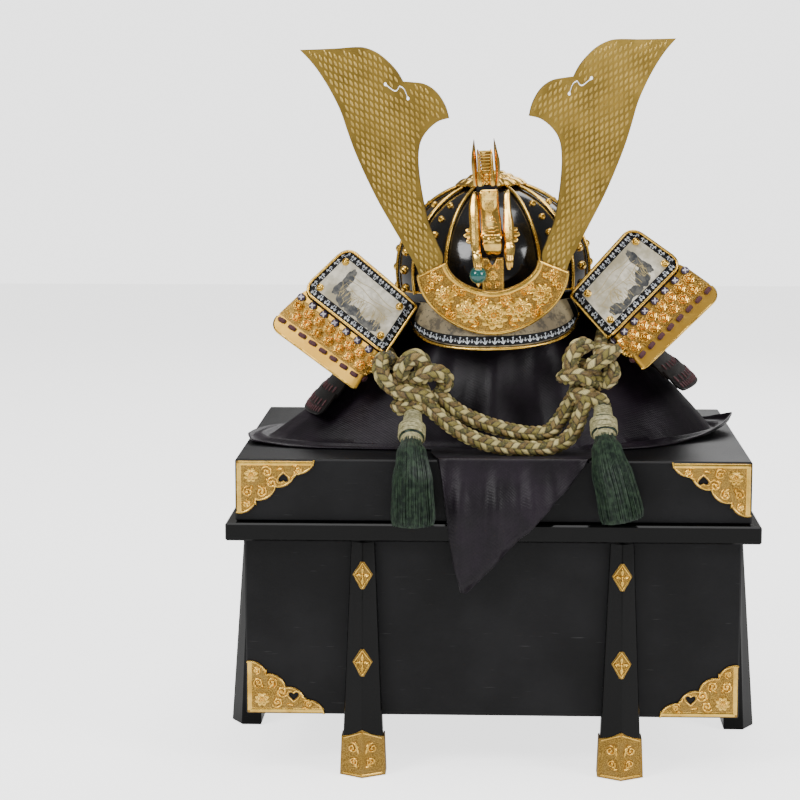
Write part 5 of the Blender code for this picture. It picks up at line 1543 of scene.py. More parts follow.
def visor_point(angle, share, off=0.0):
    """A point of the visor's upper face: share 0 at the bowl, 1 at its front edge."""
    turn = abs(angle) / visor_half_angle
    reach = visor_reach + (visor_end_reach - visor_reach) * turn**2
    low = visor_end_drop / visor_drop
    drop = visor_drop * sqrt(max(0.0, 1 - (1 - low**2) * turn**2.6))
    start = band_point(angle, touch_gap + visor_thickness * 0.5)
    swell = 0.10 * reach * sin(pi * share)
    point = start + band_normal(angle) * (reach * share + swell)
    point.z = visor_top - (drop + visor_top) * share
    slope = Vector((0, 0, 1)) * reach + band_normal(angle) * (drop + visor_top)
    return point + slope.normalized() * off


def visor_place(across, down, out):
    """A point over the visor: metres across from its middle and metres down its slope."""
    angle = across / bowl_half_length / visor_stretch
    return in_helmet(visor_point(angle, down / visor_length, visor_thickness / 2 + out))


def printed_strip(bm, place, rows, lift, sink=-0.0003):
    """Adds a thin printed patch over a grid of (across, down) spots."""
    thick_wall(bm, *[[[place(a, b, off) for a, b in row] for row in rows] for off in (lift, sink)])


def visor_skin(angle, share, out):
    """A point over the visor's upper face."""
    return in_helmet(visor_point(angle, share, visor_thickness / 2 + out))


visor_angles = [visor_half_angle * (2 * c / visor_columns - 1) for c in range(visor_columns + 1)]
visor_leather, shader, tree = plain_material("printed leather", (0.42, 0.34, 0.22), 0.6)
object_spot, _ = place_of(tree)
blotch = spots(tree, object_spot, 75.0, 6.0, 0.7).fade(0.50, 0.60)
specks = spots(tree, object_spot, 430.0, 2.0).fade(0.60, 0.66)
cloud = spots(tree, object_spot, 30.0, 3.0).fade(0.3, 0.7)
colour = mix(tree, cloud, (0.34, 0.275, 0.155), (0.20, 0.155, 0.085))
colour = mix(tree, blotch * 0.8, colour, (0.055, 0.045, 0.03))
feed(tree, shader, "Base Color", mix(tree, specks * 0.8, colour, (0.05, 0.045, 0.035)))
feed(tree, shader, "Roughness", cloud * 0.15 + 0.50)
bump(tree, shader, spots(tree, object_spot, 1100.0, 2.0), 0.25, 0.0004)
border_black = worn_finish(
    "printed border",
    (0.012, 0.012, 0.014),
    (60.0, 1100.0),
    ((0.004, 0.004, 0.005), (0.010, 0.010, 0.011)),
    (0.2, 0.0, 0.0, 0.46),
    (0.0, 1.0, 0.25, 0.0004),
    roughness=0.55,
    specular=0.15,
)
sprig_white = worn_finish(
    "printed sprigs",
    (0.70, 0.69, 0.63),
    (120.0, 1100.0),
    ((0.66, 0.69, 0.72), (0.42, 0.46, 0.52)),
    (0.0, 0.0, 0.0, 0.6),
    roughness=0.6,
)


def iris_sprig(bm, place, root, heading, length, height=0.00012):
    """Adds a printed sprig: a stem with three long leaves and a small flower."""
    for spread, share in ((-0.55, 0.72), (0.0, 1.0), (0.50, 0.78)):
        turn = heading + spread
        half = 0.5 * share * length
        middle = (root[0] + half * cos(turn), root[1] + half * sin(turn))
        rows = ((1.0, -0.0002), (0.96, height))
        raised(bm, place, middle, (half, 0.085 * length), rows, columns=8, turn=turn, power=1.4)
    tip = (root[0] + 1.02 * length * cos(heading), root[1] + 1.02 * length * sin(heading))
    rows = ((1.0, -0.0002), (0.9, height))
    raised(bm, place, tip, (0.17 * length, 0.17 * length), rows, columns=10, lobes=3, lobe_depth=0.4)


bm = bmesh.new()
thick_wall(
    bm,
    *two_faces(
        (visor_thickness / 2, -visor_thickness / 2),
        visor_rows + 1,
        visor_columns + 1,
        lambda off, row, column: in_helmet(visor_point(visor_angles[column], row / visor_rows, off)),
    ),
)
sprigs = bmesh.new()
border = bmesh.new()
front_band = []
for share in (0.76, 0.83, 0.91, border_reach):
    front_band.append([(border_reach * angle, share) for angle in visor_angles])
printed_strip(border, visor_skin, front_band, 0.0002)
for side in (-1, 1):
    angles = [side * visor_half_angle * (border_reach - 0.075 * s / 4) for s in range(5)]
    end_band = [[(angle, 0.02 + 0.76 * step / 24) for angle in angles] for step in range(25)]
    printed_strip(border, visor_skin, end_band, 0.00018)
for number in range(-11, 12):
    across = 0.0074 * number
    iris_sprig(sprigs, visor_place, (across, 0.0388), -pi / 2 + 0.12 * (-1) ** number, 0.0058, 0.0004)
    iris_sprig(sprigs, visor_place, (across + 0.0037, 0.0374), -pi / 2, 0.0030, 0.0004)
meshes = [
    close_mesh("visor", bm, visor_leather),
    close_mesh("visor border", border, border_black),
    close_mesh("visor sprigs", sprigs, sprig_white),
]
put_together("visor_leather", meshes, "printed leather", "visor", smooth=50)

line = []
for angle in visor_angles:
    edge = visor_point(angle, 1.0)
    along = (visor_point(angle + 0.01, 1.0) - visor_point(angle - 0.01, 1.0)).normalized()
    run = edge - visor_point(angle, 0.9)
    run = (run - along * run.dot(along)).normalized()
    line.append(in_helmet(edge + run * (visor_rim_radius + 2 * touch_gap)))
put_together("visor_rim_tube", [wire_mesh([line], visor_rim_radius, 14, bright_gilt)], "gilt", "visor_rim")

# Horn holder: a crescent of gilt copper with a chased ground, peonies in relief and plain raised
# borders. It carries the flat chased post behind the crest.
holder_half_width = 0.065
holder_top = 0.029
holder_bottom = -0.0225
holder_inner_half_width = 0.0385
holder_inner_top = 0.040
holder_inner_bottom = 0.0155
holder_sweep = 0.014
holder_thickness = 0.0025
post_width = 0.018
post_depth = 0.005
post_top = 0.043
post_bottom = -0.004
post_notch = 0.007


def holder_depth(x):
    """How far forward the horn holder's front stands at a distance from the middle."""
    foot = visor_point(0.0, (visor_top - holder_bottom) / (visor_drop + visor_top), visor_thickness / 2)
    return foot.y - touch_gap - holder_thickness + holder_sweep * (x / holder_half_width) ** 2


def holder_curve(share, half_width, top, bottom, power):
    """A U-shaped line from its left end over the bottom to its right end."""
    turn = pi * (1 - share)
    across = cos(turn)
    level = abs(sin(turn)) ** (2 / power)
    x = half_width * (abs(across) ** (2 / power)) * (1 if across > 0 else -1)
    return x, top - (top - bottom) * level


def holder_spot(share, across):
    """The holder's (x, z) at a share of its length and of its width, from its outer edge."""
    outer = holder_curve(share, holder_half_width, holder_top, holder_bottom, 1.86)
    inner = holder_curve(share, holder_inner_half_width, holder_inner_top, holder_inner_bottom, 1.80)
    return outer[0] + (inner[0] - outer[0]) * across, outer[1] + (inner[1] - outer[1]) * across


def holder_place(x, z, out):
    """A point over the holder's front."""
    return in_helmet((x, holder_depth(x) - out, z))


holder_columns = 120
holder_rows = 20


def holder_point(off, row, column):
    """A point of the holder's sheet."""
    return holder_place(*holder_spot(column / holder_columns, row / holder_rows), off)


ground = bmesh.new()
thick_wall(ground, *two_faces((0.0, -holder_thickness), holder_rows + 1, holder_columns + 1, holder_point))
relief = bmesh.new()
for across, wide, height in ((0.045, 0.0014, 0.0010), (0.910, 0.0026, 0.0011)):
    path = [holder_spot(0.012 + 0.976 * s / 140, across) for s in range(141)]
    ridge(relief, holder_place, path, wide, height)
for share in (0.012, 0.988):
    path = [holder_spot(share, 0.04 + 0.90 * s / 10) for s in range(11)]
    ridge(relief, holder_place, path, 0.0013, 0.0010)
for share, across, radius, petals in (
    (0.500, 0.45, 0.0132, 9),
    (0.350, 0.44, 0.0112, 8),
    (0.650, 0.44, 0.0112, 8),
    (0.205, 0.45, 0.0098, 8),
    (0.795, 0.45, 0.0098, 8),
    (0.425, 0.74, 0.0050, 6),
    (0.575, 0.74, 0.0050, 6),
    (0.280, 0.78, 0.0046, 6),
    (0.720, 0.78, 0.0046, 6),
    (0.275, 0.17, 0.0040, 6),
    (0.725, 0.17, 0.0040, 6),
    (0.070, 0.46, 0.0060, 7),
    (0.930, 0.46, 0.0060, 7),
):
    flower(relief, holder_place, holder_spot(share, across), radius, petals, 0.0026, turn=share * 7)
for share, across, heading, length in (
    (0.425, 0.22, 2.9, 0.0110),
    (0.425, 0.76, 3.5, 0.0100),
    (0.435, 0.50, 3.2, 0.0085),
    (0.270, 0.28, 2.3, 0.0095),
    (0.275, 0.70, 2.6, 0.0090),
    (0.130, 0.30, 1.9, 0.0080),
    (0.130, 0.66, 2.1, 0.0075),
):
    for side in (-1, 1):
        here = holder_spot(share if side < 0 else 1 - share, across)
        turn = heading if side < 0 else pi - heading
        for spread in (-0.55, 0.0, 0.55):
            own_length = length * (1 - 0.25 * abs(spread))
            leaf(relief, holder_place, here, turn + spread, own_length, 0.0034, 0.0016)
for share, across, hand in ((0.395, 0.82, 1), (0.300, 0.18, -1), (0.225, 0.80, 1), (0.112, 0.20, -1)):
    for side in (-1, 1):
        here = holder_spot(share if side < 0 else 1 - share, across)
        scroll(relief, holder_place, here, 0.0036, 1.0 if side < 0 else pi - 1.0, hand * side, width=0.0008)
relief_piece("horn_holder_chased", ground, relief, "horn_holder")

post_front = holder_depth(post_width / 2) + holder_thickness + touch_gap
post_half = post_width / 2


def post_place(x, z, out):
    """A point over the post's front."""
    return in_helmet((x, post_front - out, z))


ground = bmesh.new()
outline = [
    (-post_half, post_bottom),
    (post_half, post_bottom),
    (post_half * 1.05, post_top),
    (post_half * 0.45, post_top),
    (0.0, post_top - post_notch),
    (-post_half * 0.45, post_top),
    (-post_half * 1.05, post_top),
]
flat_plate(ground, [outline], -post_depth, post_place)
relief = bmesh.new()
border = [(-post_half + 0.0012, 0.016), (-post_half * 1.05 + 0.0013, post_top - 0.0012)]
border += [(-post_half * 0.45, post_top - 0.0012), (0.0, post_top - post_notch - 0.0012)]
border += [(-x, z) for x, z in border[::-1][1:]]
for start, end in zip(border, border[1:]):
    ridge(relief, post_place, straight(start, end, 8), 0.0007, 0.0006)
flower(relief, post_place, (0.0, 0.0285), 0.0046, 8, 0.0014)
for side in (-1, 1):
    scroll(relief, post_place, (side * 0.0042, 0.0355), 0.0025, pi / 2, side, width=0.0007)
    scroll(relief, post_place, (side * 0.0042, 0.0205), 0.0027, -pi / 2, -side, width=0.0007)
    leaf(relief, post_place, (side * 0.0015, 0.0200), -pi / 2 + side * 0.5, 0.0040, 0.0020)
relief_piece("crest_post_chased", ground, relief, "crest_post")

# Horns: a pair of tall flat blades cut from sheet brass, aged to a dull olive gold and covered
# with small raised lozenges. A bracket-shaped cut with round ends opens near each lobe.
horn_height = 0.2035
horn_reach = 0.1355
horn_root_height = 0.0205
horn_root_offset = 0.052
horn_thickness = 0.002
horn_foot_half_width = 0.0115
horn_foot_middle = 0.145
slit_radius = 0.0016
# The outline as shares of reach and height, from the foot up the inner side to the far tip
# and back down the outer side
horn_outline = (
    (0.155, 0.000), (0.070, 0.100), (0.105, 0.175), (0.155, 0.250), (0.185, 0.335),
    (0.208, 0.430), (0.218, 0.520), (0.205, 0.590), (0.160, 0.640), (0.085, 0.680),
    (0.005, 0.695), (0.030, 0.750), (0.085, 0.805), (0.160, 0.838), (0.250, 0.848),
    (0.305, 0.851), (0.345, 0.895), (0.400, 0.935), (0.470, 0.972), (0.550, 0.995),
    (0.620, 1.000), (0.740, 0.997), (0.865, 0.996), (1.000, 0.996), (0.925, 0.945),
    (0.860, 0.888), (0.795, 0.818), (0.733, 0.735), (0.690, 0.650), (0.643, 0.563),
    (0.575, 0.460), (0.492, 0.350), (0.400, 0.245), (0.315, 0.150), (0.245, 0.070),
    (0.220, 0.000),
)
horn_sharp = (10, 15, 23)
horn_lozenge_pitch = (0.0046, 0.0058)


def smooth_outline(table, sharp, steps):
    """A closed line through a table's points, rounded except at its sharp ones."""
    points = [Vector((a, b)) for a, b in table]
    result = []
    for number in range(len(points) - 1):
        p1, p2 = points[number], points[number + 1]
        p0 = p1 if number in sharp or number == 0 else points[number - 1]
        p3 = p2 if number + 1 in sharp or number + 2 >= len(points) else points[number + 2]
        for step in range(steps):
            t = step / steps
            line = 2 * p1 + (p2 - p0) * t + (2 * p0 - 5 * p1 + 4 * p2 - p3) * t * t
            result.append(0.5 * (line + (3 * p1 - p0 - 3 * p2 + p3) * t**3))
    result.append(points[-1])
    return [(point.x, point.y) for point in result]


def slit_loop():
    """The bracket-shaped cut: a thin line with a ball at each end."""
    middle = (0.330 * horn_reach, 0.832 * horn_height)
    path = [(-0.055, -0.052), (-0.030, -0.012), (0.0, 0.0), (0.030, -0.020), (0.095, 0.010)]
    path = smooth_outline([(a * horn_reach, b * horn_height) for a, b in path], (2,), 4)
    thin = slit_radius * 0.35
    one_side = []
    other_side = []
    for number, (x, z) in enumerate(path):
        before = path[max(number - 1, 0)]
        after = path[min(number + 1, len(path) - 1)]
        along = Vector((after[0] - before[0], after[1] - before[1])).normalized()
        one_side.append((middle[0] + x - along.y * thin, middle[1] + z + along.x * thin))
        other_side.append((middle[0] + x + along.y * thin, middle[1] + z - along.x * thin))
    balls = []
    for end, toward in ((path[-1], path[-2]), (path[0], path[1])):
        heading = atan2(toward[1] - end[1], toward[0] - end[0])
        ball = []
        for step in range(15):
            turn = heading + radians(310) - radians(260) * step / 14
            x = middle[0] + end[0] + slit_radius * cos(turn)
            ball.append((x, middle[1] + end[1] + slit_radius * sin(turn)))
        balls.append(ball)
    return one_side[1:-1] + balls[0] + other_side[1:-1][::-1] + balls[1]


def inside(spot, loop):
    """Whether a point lies in a closed loop."""
    within = False
    for (x0, z0), (x1, z1) in zip(loop, loop[1:] + loop[:1]):
        if (z0 > spot[1]) != (z1 > spot[1]):
            within ^= spot[0] < x0 + (x1 - x0) * (spot[1] - z0) / (z1 - z0)
    return within


def distance_to(spot, loop):
    """How far a point lies from a closed loop."""
    best = 1.0
    for (x0, z0), (x1, z1) in zip(loop, loop[1:] + loop[:1]):
        run = Vector((x1 - x0, z1 - z0))
        reach = Vector((spot[0] - x0, spot[1] - z0))
        share = min(1.0, max(0.0, reach.dot(run) / max(run.dot(run), 1e-12)))
        best = min(best, (reach - share * run).length)
    return best


old_gold = worn_finish(
    "aged horn ground",
    (0.24, 0.17, 0.055),
    (42.0, 800.0),
    ((0.32, 0.21, 0.045), (0.20, 0.13, 0.028)),
    (0.22, 0.1, 0.0, 0.28),
    (2.0, 1.0, 0.22, 0.0004),
    fade=(0.35, 0.70),
    scratched=(0.62, 0.78, 0.4, (0.50, 0.38, 0.14)),
    roughness=0.42,
    metallic=1.0,
)
# The lozenges are a lighter gold than the aged ground: partly wear on the raised metal, partly painted
# highlight standing for the slanted glints along them.
worn_and_highlit_gold = worn_finish(
    "worn horn lozenges",
    (0.55, 0.41, 0.14),
    (36.0, 800.0),
    ((0.62, 0.44, 0.13), (0.44, 0.30, 0.075)),
    (0.22, 0.1, 0.0, 0.22),
    (2.0, 1.0, 0.2, 0.0003),
    fade=(0.35, 0.70),
    roughness=0.32,
    metallic=1.0,
)

horn_place_slope = atan2(2 * holder_sweep * horn_root_offset / holder_half_width**2, 1.0)
horn_root_y = holder_depth(horn_root_offset) + holder_thickness + touch_gap
horn_root_y += holder_sweep * (horn_foot_half_width / holder_half_width) ** 2
horn_loop = [
    ((a - horn_foot_middle) * horn_reach, horn_root_height + b * horn_height)
    for a, b in smooth_outline(horn_outline, horn_sharp, 6)
]
horn_slit = [(x - horn_foot_middle * horn_reach, horn_root_height + z) for x, z in slit_loop()]


def lozenge_stamp(bm):
    """One small raised lozenge."""
    rows = ((1.0, -0.0003), (0.97, 0.00025), (0.60, 0.00085), (0.15, 0.00100))
    raised(bm, upright, (0.0, 0.0), (0.0031, 0.00125), rows, columns=8, power=1.4)


for name, side in (("left", -1), ("right", 1)):

    def place(out, up, depth):
        """A point of the horn: out from its foot, up, and back from its front face."""
        x = side * (horn_root_offset + out * cos(horn_place_slope) - depth * sin(horn_place_slope))
        y = horn_root_y + out * sin(horn_place_slope) + depth * cos(horn_place_slope)
        return in_helmet((x, y, up))

    bm = bmesh.new()
    flat_plate(bm, [horn_loop, horn_slit], horn_thickness, place)
    seats = []
    forward = place(0, 0, -1) - place(0, 0, 0)
    columns_across = int(horn_reach * 1.2 / horn_lozenge_pitch[0])
    rows_up = int(horn_height * 1.05 / horn_lozenge_pitch[1])
    for column in range(-4, columns_across):
        for row in range(rows_up):
            out = column * horn_lozenge_pitch[0]
            up = horn_root_height + 0.008 + (row + 0.3 * column % 1.0) * horn_lozenge_pitch[1]
            near = inside((out, up), horn_loop) and distance_to((out, up), horn_loop) > 0.0032
            if near and distance_to((out, up), horn_slit) > 0.0026 and not inside((out, up), horn_slit):
                heading = radians(62)
                upward = place(-sin(heading), cos(heading), 0) - place(0, 0, 0)
                seats.append((place(out, up, 0.0), forward, upward, 1.0))
                seats.append((place(out, up, horn_thickness), -forward, upward, 1.0))
    meshes = [close_mesh("horn blade", bm, old_gold), stamp_mesh(lozenge_stamp, seats, worn_and_highlit_gold)]
    put_together(f"horn_{name}_blade", meshes, "old gold plate", f"horn_{name}", smooth=35)

# Neck guard: five lames hang from the bowl's rim, each laced over the next one's upper edge. The
# first two turn outwards at the front as wings. The second is gilt and the others black.
guard_roll = radians(-4.2)
guard_front_angle = radians(61)
guard_side_slope = radians(47)
guard_back_slope = radians(52)
neck_clearance = 0.0009
facing_clearance = 0.0006
lame_thickness = 0.0016
lame_step = 0.0021
first_lame = 0.045
second_lame = 0.040
lower_lame = 0.023
lame_overlap = 0.0075
neck_height = 0.005
turn_reach = 0.032
turn_lean = radians(7)
turn_inset = -0.001
turn_rise = 0.009
wing_upper = 0.076
wing_rise = radians(39)
wing_sweep = radians(27)
wing_inner_side = 0.0534
wing_outer_side = 0.0574
wing_corner = 0.009
guard_arc_steps = 65
guard_turn_steps = 24
guard_wing_steps = 26
scale_pitch = 0.0062
scale_height = 0.00045
lacing_pitch = 0.0062
lacing_edge = 0.004
lame_rows = 14


def hermite(start, start_pull, end, end_pull, t):
    """A point of the smooth curve between two ends that leave and arrive along their pulls."""
    blend = (2 * t**3 - 3 * t**2 + 1) * start + (t**3 - 2 * t**2 + t) * start_pull
    return blend + (3 * t**2 - 2 * t**3) * end + (t**3 - t**2) * end_pull


def guard_columns():
    """Half of the guard, from the middle of the back to the turned wing's far end.

    Each column holds its upper and lower point, its neck flange and how much its corners are cut.
    """
    seat = neck_clearance + lame_thickness / 2
    found = []
    for step in range(guard_arc_steps + 1):
        angle = pi - (pi - guard_front_angle) * step / guard_arc_steps
        level = (angle - guard_front_angle) / (pi - guard_front_angle)
        slope = guard_side_slope + (guard_back_slope - guard_side_slope) * level**2
        upper = band_point(-angle, seat)
        lower = upper + first_lame * (band_normal(-angle) * cos(slope) - Vector((0, 0, sin(slope))))
        found.append((upper, lower, neck_height, 0.0))
    upper, lower = found[-1][:2]
    forward = Vector((sin(turn_lean), -cos(turn_lean), 0.0))
    heading = Vector((-cos(wing_sweep), sin(wing_sweep), 0.0)) * cos(wing_rise)
    heading += Vector((0, 0, sin(wing_rise)))
    inner_top = upper + forward * turn_reach + Vector((-turn_inset, 0, turn_rise))
    side = Vector((-0.594, -0.187, -0.780)).normalized()
    far_side = Vector((-0.765, -0.174, -0.622)).normalized()
    inner_low = inner_top + side * wing_inner_side
    pull = turn_reach * 1.45
    first_run = wing_corner * 0.7
    low_heading = (inner_top + heading * wing_upper + far_side * wing_outer_side - inner_low).normalized()
    for step in range(1, guard_turn_steps + 1):
        t = step / guard_turn_steps
        new_upper = hermite(upper, forward * pull, inner_top + heading * first_run, heading * pull, t)
        low_end = inner_low + low_heading * first_run
        new_lower = hermite(lower, forward * pull, low_end, low_heading * pull, t)
        found.append((new_upper, new_lower, neck_height * max(0.0, 1 - 2 * t), 0.0))
    far_top = inner_top + heading * wing_upper
    far_low = far_top + far_side * wing_outer_side
    start_top, start_low = found[-1][:2]
    run = (far_top - start_top).length
    for step in range(1, guard_wing_steps + 1):
        share = 1 - (1 - step / guard_wing_steps) ** 1.5
        from_end = (1 - share) * run
        cut = 1 - sqrt(1 - max(0.0, 1 - from_end / wing_corner) ** 2)
        found.append((start_top.lerp(far_top, share), start_low.lerp(far_low, share), 0.0, cut))
    return found


guard = guard_columns()
ring_count = guard_arc_steps + 1
facing_first = ring_count + guard_turn_steps * 2 // 3 - 1
relief_first = ring_count + guard_turn_steps * 3 // 8


def guard_spot(column, down, off):
    """A point of the guard's left half: column, metres down from its upper line, metres off it."""
    column = min(max(column, 0.0), len(guard) - 1.0)
    low = min(int(column), len(guard) - 2)
    part = column - low
    share = down / first_lame

    def at(number):
        """The point of one column that lies this share of the way down."""
        upper, lower = guard[number][:2]
        return upper.lerp(lower, share)

    point = at(low).lerp(at(low + 1), part)
    if low == 0 and part < 0.5:
        run = at(1) - at(0)
        run.z = 0.0
    else:
        run = at(min(low + 2, len(guard) - 1)) - at(max(low - 1, 0))
    upper, lower = [guard[low][end].lerp(guard[low + 1][end], part) for end in (0, 1)]
    return point + (lower - upper).cross(run).normalized() * off


def guard_world(side, point):
    """Puts a point of the left half on its own side of the helmet."""
    return in_helmet((point.x if side < 0 else -point.x, point.y, point.z), guard_roll)


guard_runs = {}


def column_at(metres, down, first=0):
    """The column that lies this far along a line of the guard from its first column."""
    key = (round(down, 4), first)
    if key not in guard_runs:
        run = [0.0]
        for number in range(first, len(guard) - 1):
            step = guard_spot(number + 1, down, 0.0) - guard_spot(number, down, 0.0)
            run.append(run[-1] + step.length)
        guard_runs[key] = run
    run = guard_runs[key]
    for number in range(len(run) - 1):
        if metres <= run[number + 1]:
            return first + number + (metres - run[number]) / (run[number + 1] - run[number])
    return float(len(guard) - 1)


def guard_length(down, first=0, last=None):
    """How long a line of the guard is between two of its columns."""
    column_at(0.0, down, first)
    run = guard_runs[(round(down, 4), first)]
    return run[-1] if last is None else run[last - first]


def lame_grids(top, bottom, level, flange, last, cut_top, rows_count, ridged):
    """The outer and inner points of one lame's left half."""
    half = lame_thickness / 2
    grids = []
    for face in (half, -half):
        rows = []
        if flange:
            rows.append([])
            for number in range(last):
                upper, lower, height, cut = guard[number]
                start = top + cut * wing_corner
                point = guard_spot(number, start, 0.0) + Vector((0, 0, max(height, 0.0004)))
                slant = guard_spot(number, start, 1.0) - guard_spot(number, start, 0.0)
                level_way = Vector((slant.x, slant.y, 0.0)).normalized() if height > 0 else slant
                share = height / neck_height
                outward = (slant * (1 - share) + level_way * share).normalized()
                rows[-1].append(point + outward * (level + face))
        for step in range(rows_count + 1):
            row = []
            for number in range(last):
                cut = guard[number][3]
                end_cut = 0.0
                if last == ring_count:
                    centre = (top + bottom) / 2
                    from_end = guard_length(centre, 0, last - 1) - guard_length(centre, 0, number)
                    reach = max(0.0, 1 - from_end / wing_corner)
                    end_cut = 0.55 * (1 - sqrt(1 - reach**2))
                start = top + (cut * wing_corner if cut_top else 0.0)
                end = bottom - (cut + end_cut) * wing_corner
                down = start + (end - start) * step / rows_count
                ridge = 0.0
                if ridged and face > 0 and number < ring_count:
                    along = guard_length(down, 0, number)
                    ridge = scale_height * (sqrt(abs(sin(pi * along / scale_pitch))) - 1)
                    ridge *= min(1.0, step / 2, (rows_count - step) / 2 + 0.35)
                row.append(guard_spot(number, down, level + face + ridge))
            rows.append(row)
        grids.append(rows)
    return grids


def both_halves(grid):
    """A left half grid joined with its mirror image at the middle of the back."""
    full = []
    for row in grid:
        left = [guard_world(-1, point) for point in row]
        right = [guard_world(1, point) for point in row]
        middle = (left[0] + right[0]) / 2
        full.append(left[:0:-1] + [middle] + right[1:])
    return full


lame_black = worn_finish(
    "lame lacquer",
    (0.008, 0.007, 0.007),
    (50.0, 900.0),
    ((0.004, 0.0035, 0.0035), (0.012, 0.009, 0.008)),
    (0.16, 0.1, 0.0, 0.18),
    (0.0, 1.0, 0.2, 0.0004),
    roughness=0.28,
    coat=0.03,
    specular=0.06,
)
lame_gilt = worn_finish(
    "satin gilt lame",
    (0.80, 0.54, 0.22),
    (36.0, 900.0),
    ((0.90, 0.53, 0.09), (0.72, 0.39, 0.055)),
    (0.12, 0.0, 0.15, 0.27),
    (0.0, 1.0, 0.06, 0.0002),
    fade=(0.35, 0.7),
    roughness=0.34,
    metallic=1.0,
)
lace_plum = plain_finish(
    "plum lacing silk",
    (0.13, 0.018, 0.035),
    1500.0,
    ((0.085, 0.012, 0.020), (0.035, 0.006, 0.008)),
    (0.3, 0.7),
    relief=(1500.0, 0.6, 0.0005),
    roughness=0.6,
    sheen=0.1,
)

lame_tops = [0.0, first_lame - lame_overlap]
lame_ends = [first_lame, first_lame - lame_overlap + second_lame]
for _ in range(3):
    lame_tops.append(lame_ends[-1] - lame_overlap)
    lame_ends.append(lame_tops[-1] + lower_lame)


def lacing_pad(bm):
    """One stretch of flat silk lacing."""
    rows = ((1.0, -0.0003), (0.96, 0.00035), (0.70, 0.00075), (0.30, 0.00085))
    raised(bm, upright, (0.0, 0.0), (0.0011, 0.0034), rows, columns=12, power=4.0)


def guard_seat(side, column, down, off, size=1.0):
    """A seat for a stamp on the guard, upright along its slope."""
    spot = guard_world(side, guard_spot(column, down, off))
    outward = guard_world(side, guard_spot(column, down, off + 0.01)) - spot
    upward = guard_world(side, guard_spot(column, down - 0.002, off)) - spot
    return spot, outward, upward, size


for number in range(5):
    top, bottom = lame_tops[number], lame_ends[number]
    last = len(guard) if number < 2 else ring_count
    level = number * lame_step
    grids = lame_grids(top, bottom, level, number == 0, last, number < 2, lame_rows, number != 1)
    bm = bmesh.new()
    thick_wall(bm, both_halves(grids[0]), both_halves(grids[1]))
    seats = []
    surface = level + lame_thickness / 2
    edge_row = bottom - lacing_edge
    arc_end = guard_length(edge_row, 0, ring_count - 1)
    first_row = top + (0.006 if number == 0 else lame_overlap + 0.004)
    for side in (-1, 1):
        metres = scale_pitch / 2
        count = 0
        while metres < arc_end - lacing_edge:
            column = column_at(metres, edge_row)
            seats.append(guard_seat(side, column, bottom - 0.0046, surface, 0.85))
            if count % 2 == 0:
                down = first_row
                while down < bottom - 0.011:
                    seats.append(guard_seat(side, column, down, surface))
                    down += lacing_pitch
            metres += scale_pitch
            count += 1
    edges = []
    for side in (-1, 1):
        ends = zip(grids[0][-1], grids[1][-1])
        edges.append([(guard_world(side, a) + guard_world(side, b)) / 2 for a, b in ends])
    plate_finish, edge_finish = (lame_gilt, bright_gilt) if number == 1 else (lame_black, lame_black)
    edge_radius = 0.0010 if number < 2 else 0.0009
    meshes = [
        close_mesh("lame", bm, plate_finish),
        stamp_mesh(lacing_pad, seats, lace_plum),
        wire_mesh([edges[0][::-1] + edges[1][1:]], edge_radius, 8, edge_finish),
    ]
    slot = "gilt lame" if number == 1 else "dark lame lacquer"
    put_together(f"lame_{number + 1}_laced", meshes, slot, f"lame_{number + 1}", smooth=45)

# Wings: each turned-back wing carries a panel of painted leather in a gilt wire rim, held by four
# domed studs. Below it a cast plate of flowers and rows of silk lacing cover the second lame.
leather_thickness = 0.0008
leather_margin = 0.0015
panel_rim_radius = 0.0012
relief_thickness = 0.002
border_width = 0.0058
leather_rows = 14
plate_rows = 8
sprig_length = 0.0034
blossom_pitch = 0.0061
panel_face = -lame_thickness / 2 - facing_clearance
plate_face = lame_step - lame_thickness / 2 - facing_clearance
plate_top = first_lame + 0.004
plate_bottom = lame_ends[1] - 0.011

picture_leather, shader, tree = plain_material("painted leather", (0.62, 0.61, 0.56), 0.5)
object_spot, _ = place_of(tree)
mist = spots(tree, object_spot, 38.0, 4.0).fade(0.35, 0.68)
fine = spots(tree, object_spot, 240.0, 3.0).fade(0.4, 0.65)
colour = mix(tree, mist, (0.72, 0.67, 0.55), (0.34, 0.29, 0.18))
feed(tree, shader, "Base Color", mix(tree, fine * 0.4, colour, (0.26, 0.24, 0.16)))
feed(tree, shader, "Roughness", mist * 0.12 + 0.44)
bump(tree, shader, spots(tree, object_spot, 1300.0, 2.0), 0.25, 0.0003)

rock_tones = ((0.015, 0.018, 0.022), (0.11, 0.105, 0.09))
rock_grey = plain_finish(
    "painted rocks", (0.20, 0.21, 0.21), 170.0, rock_tones, (0.35, 0.65), detail=5.0, grit=0.7, roughness=0.55
)
grass_tones = ((0.55, 0.44, 0.20), (0.24, 0.18, 0.07))
reed_ochre = plain_finish("painted grass", (0.42, 0.33, 0.13), 300.0, grass_tones, roughness=0.5)
bed_tones = ((0.010, 0.007, 0.016), (0.06, 0.035, 0.08))
bed_dark = plain_finish("dark lacing cord", (0.03, 0.02, 0.045), 900.0, bed_tones, roughness=0.6)
white_tones = ((0.84, 0.82, 0.84), (0.40, 0.34, 0.44))
cord_white = plain_finish(
    "white lacing cord", (0.60, 0.56, 0.62), 700.0, white_tones, (0.4, 0.6), roughness=0.6
)
stud_gold = worn_finish(
    "amber stud gold",
    (0.86, 0.52, 0.10),
    (160.0, 1200.0),
    ((0.98, 0.66, 0.14), (0.66, 0.36, 0.06)),
    (0.2, 0.0, 0.0, 0.12),
    fade=(0.0, 1.0),
    roughness=0.2,
    metallic=1.0,
)


def stamp_of(half, rows, columns, **form):
    """A stamp of one low closed form."""
    return lambda bm: raised(bm, upright, (0.0, 0.0), half, rows, columns, **form)


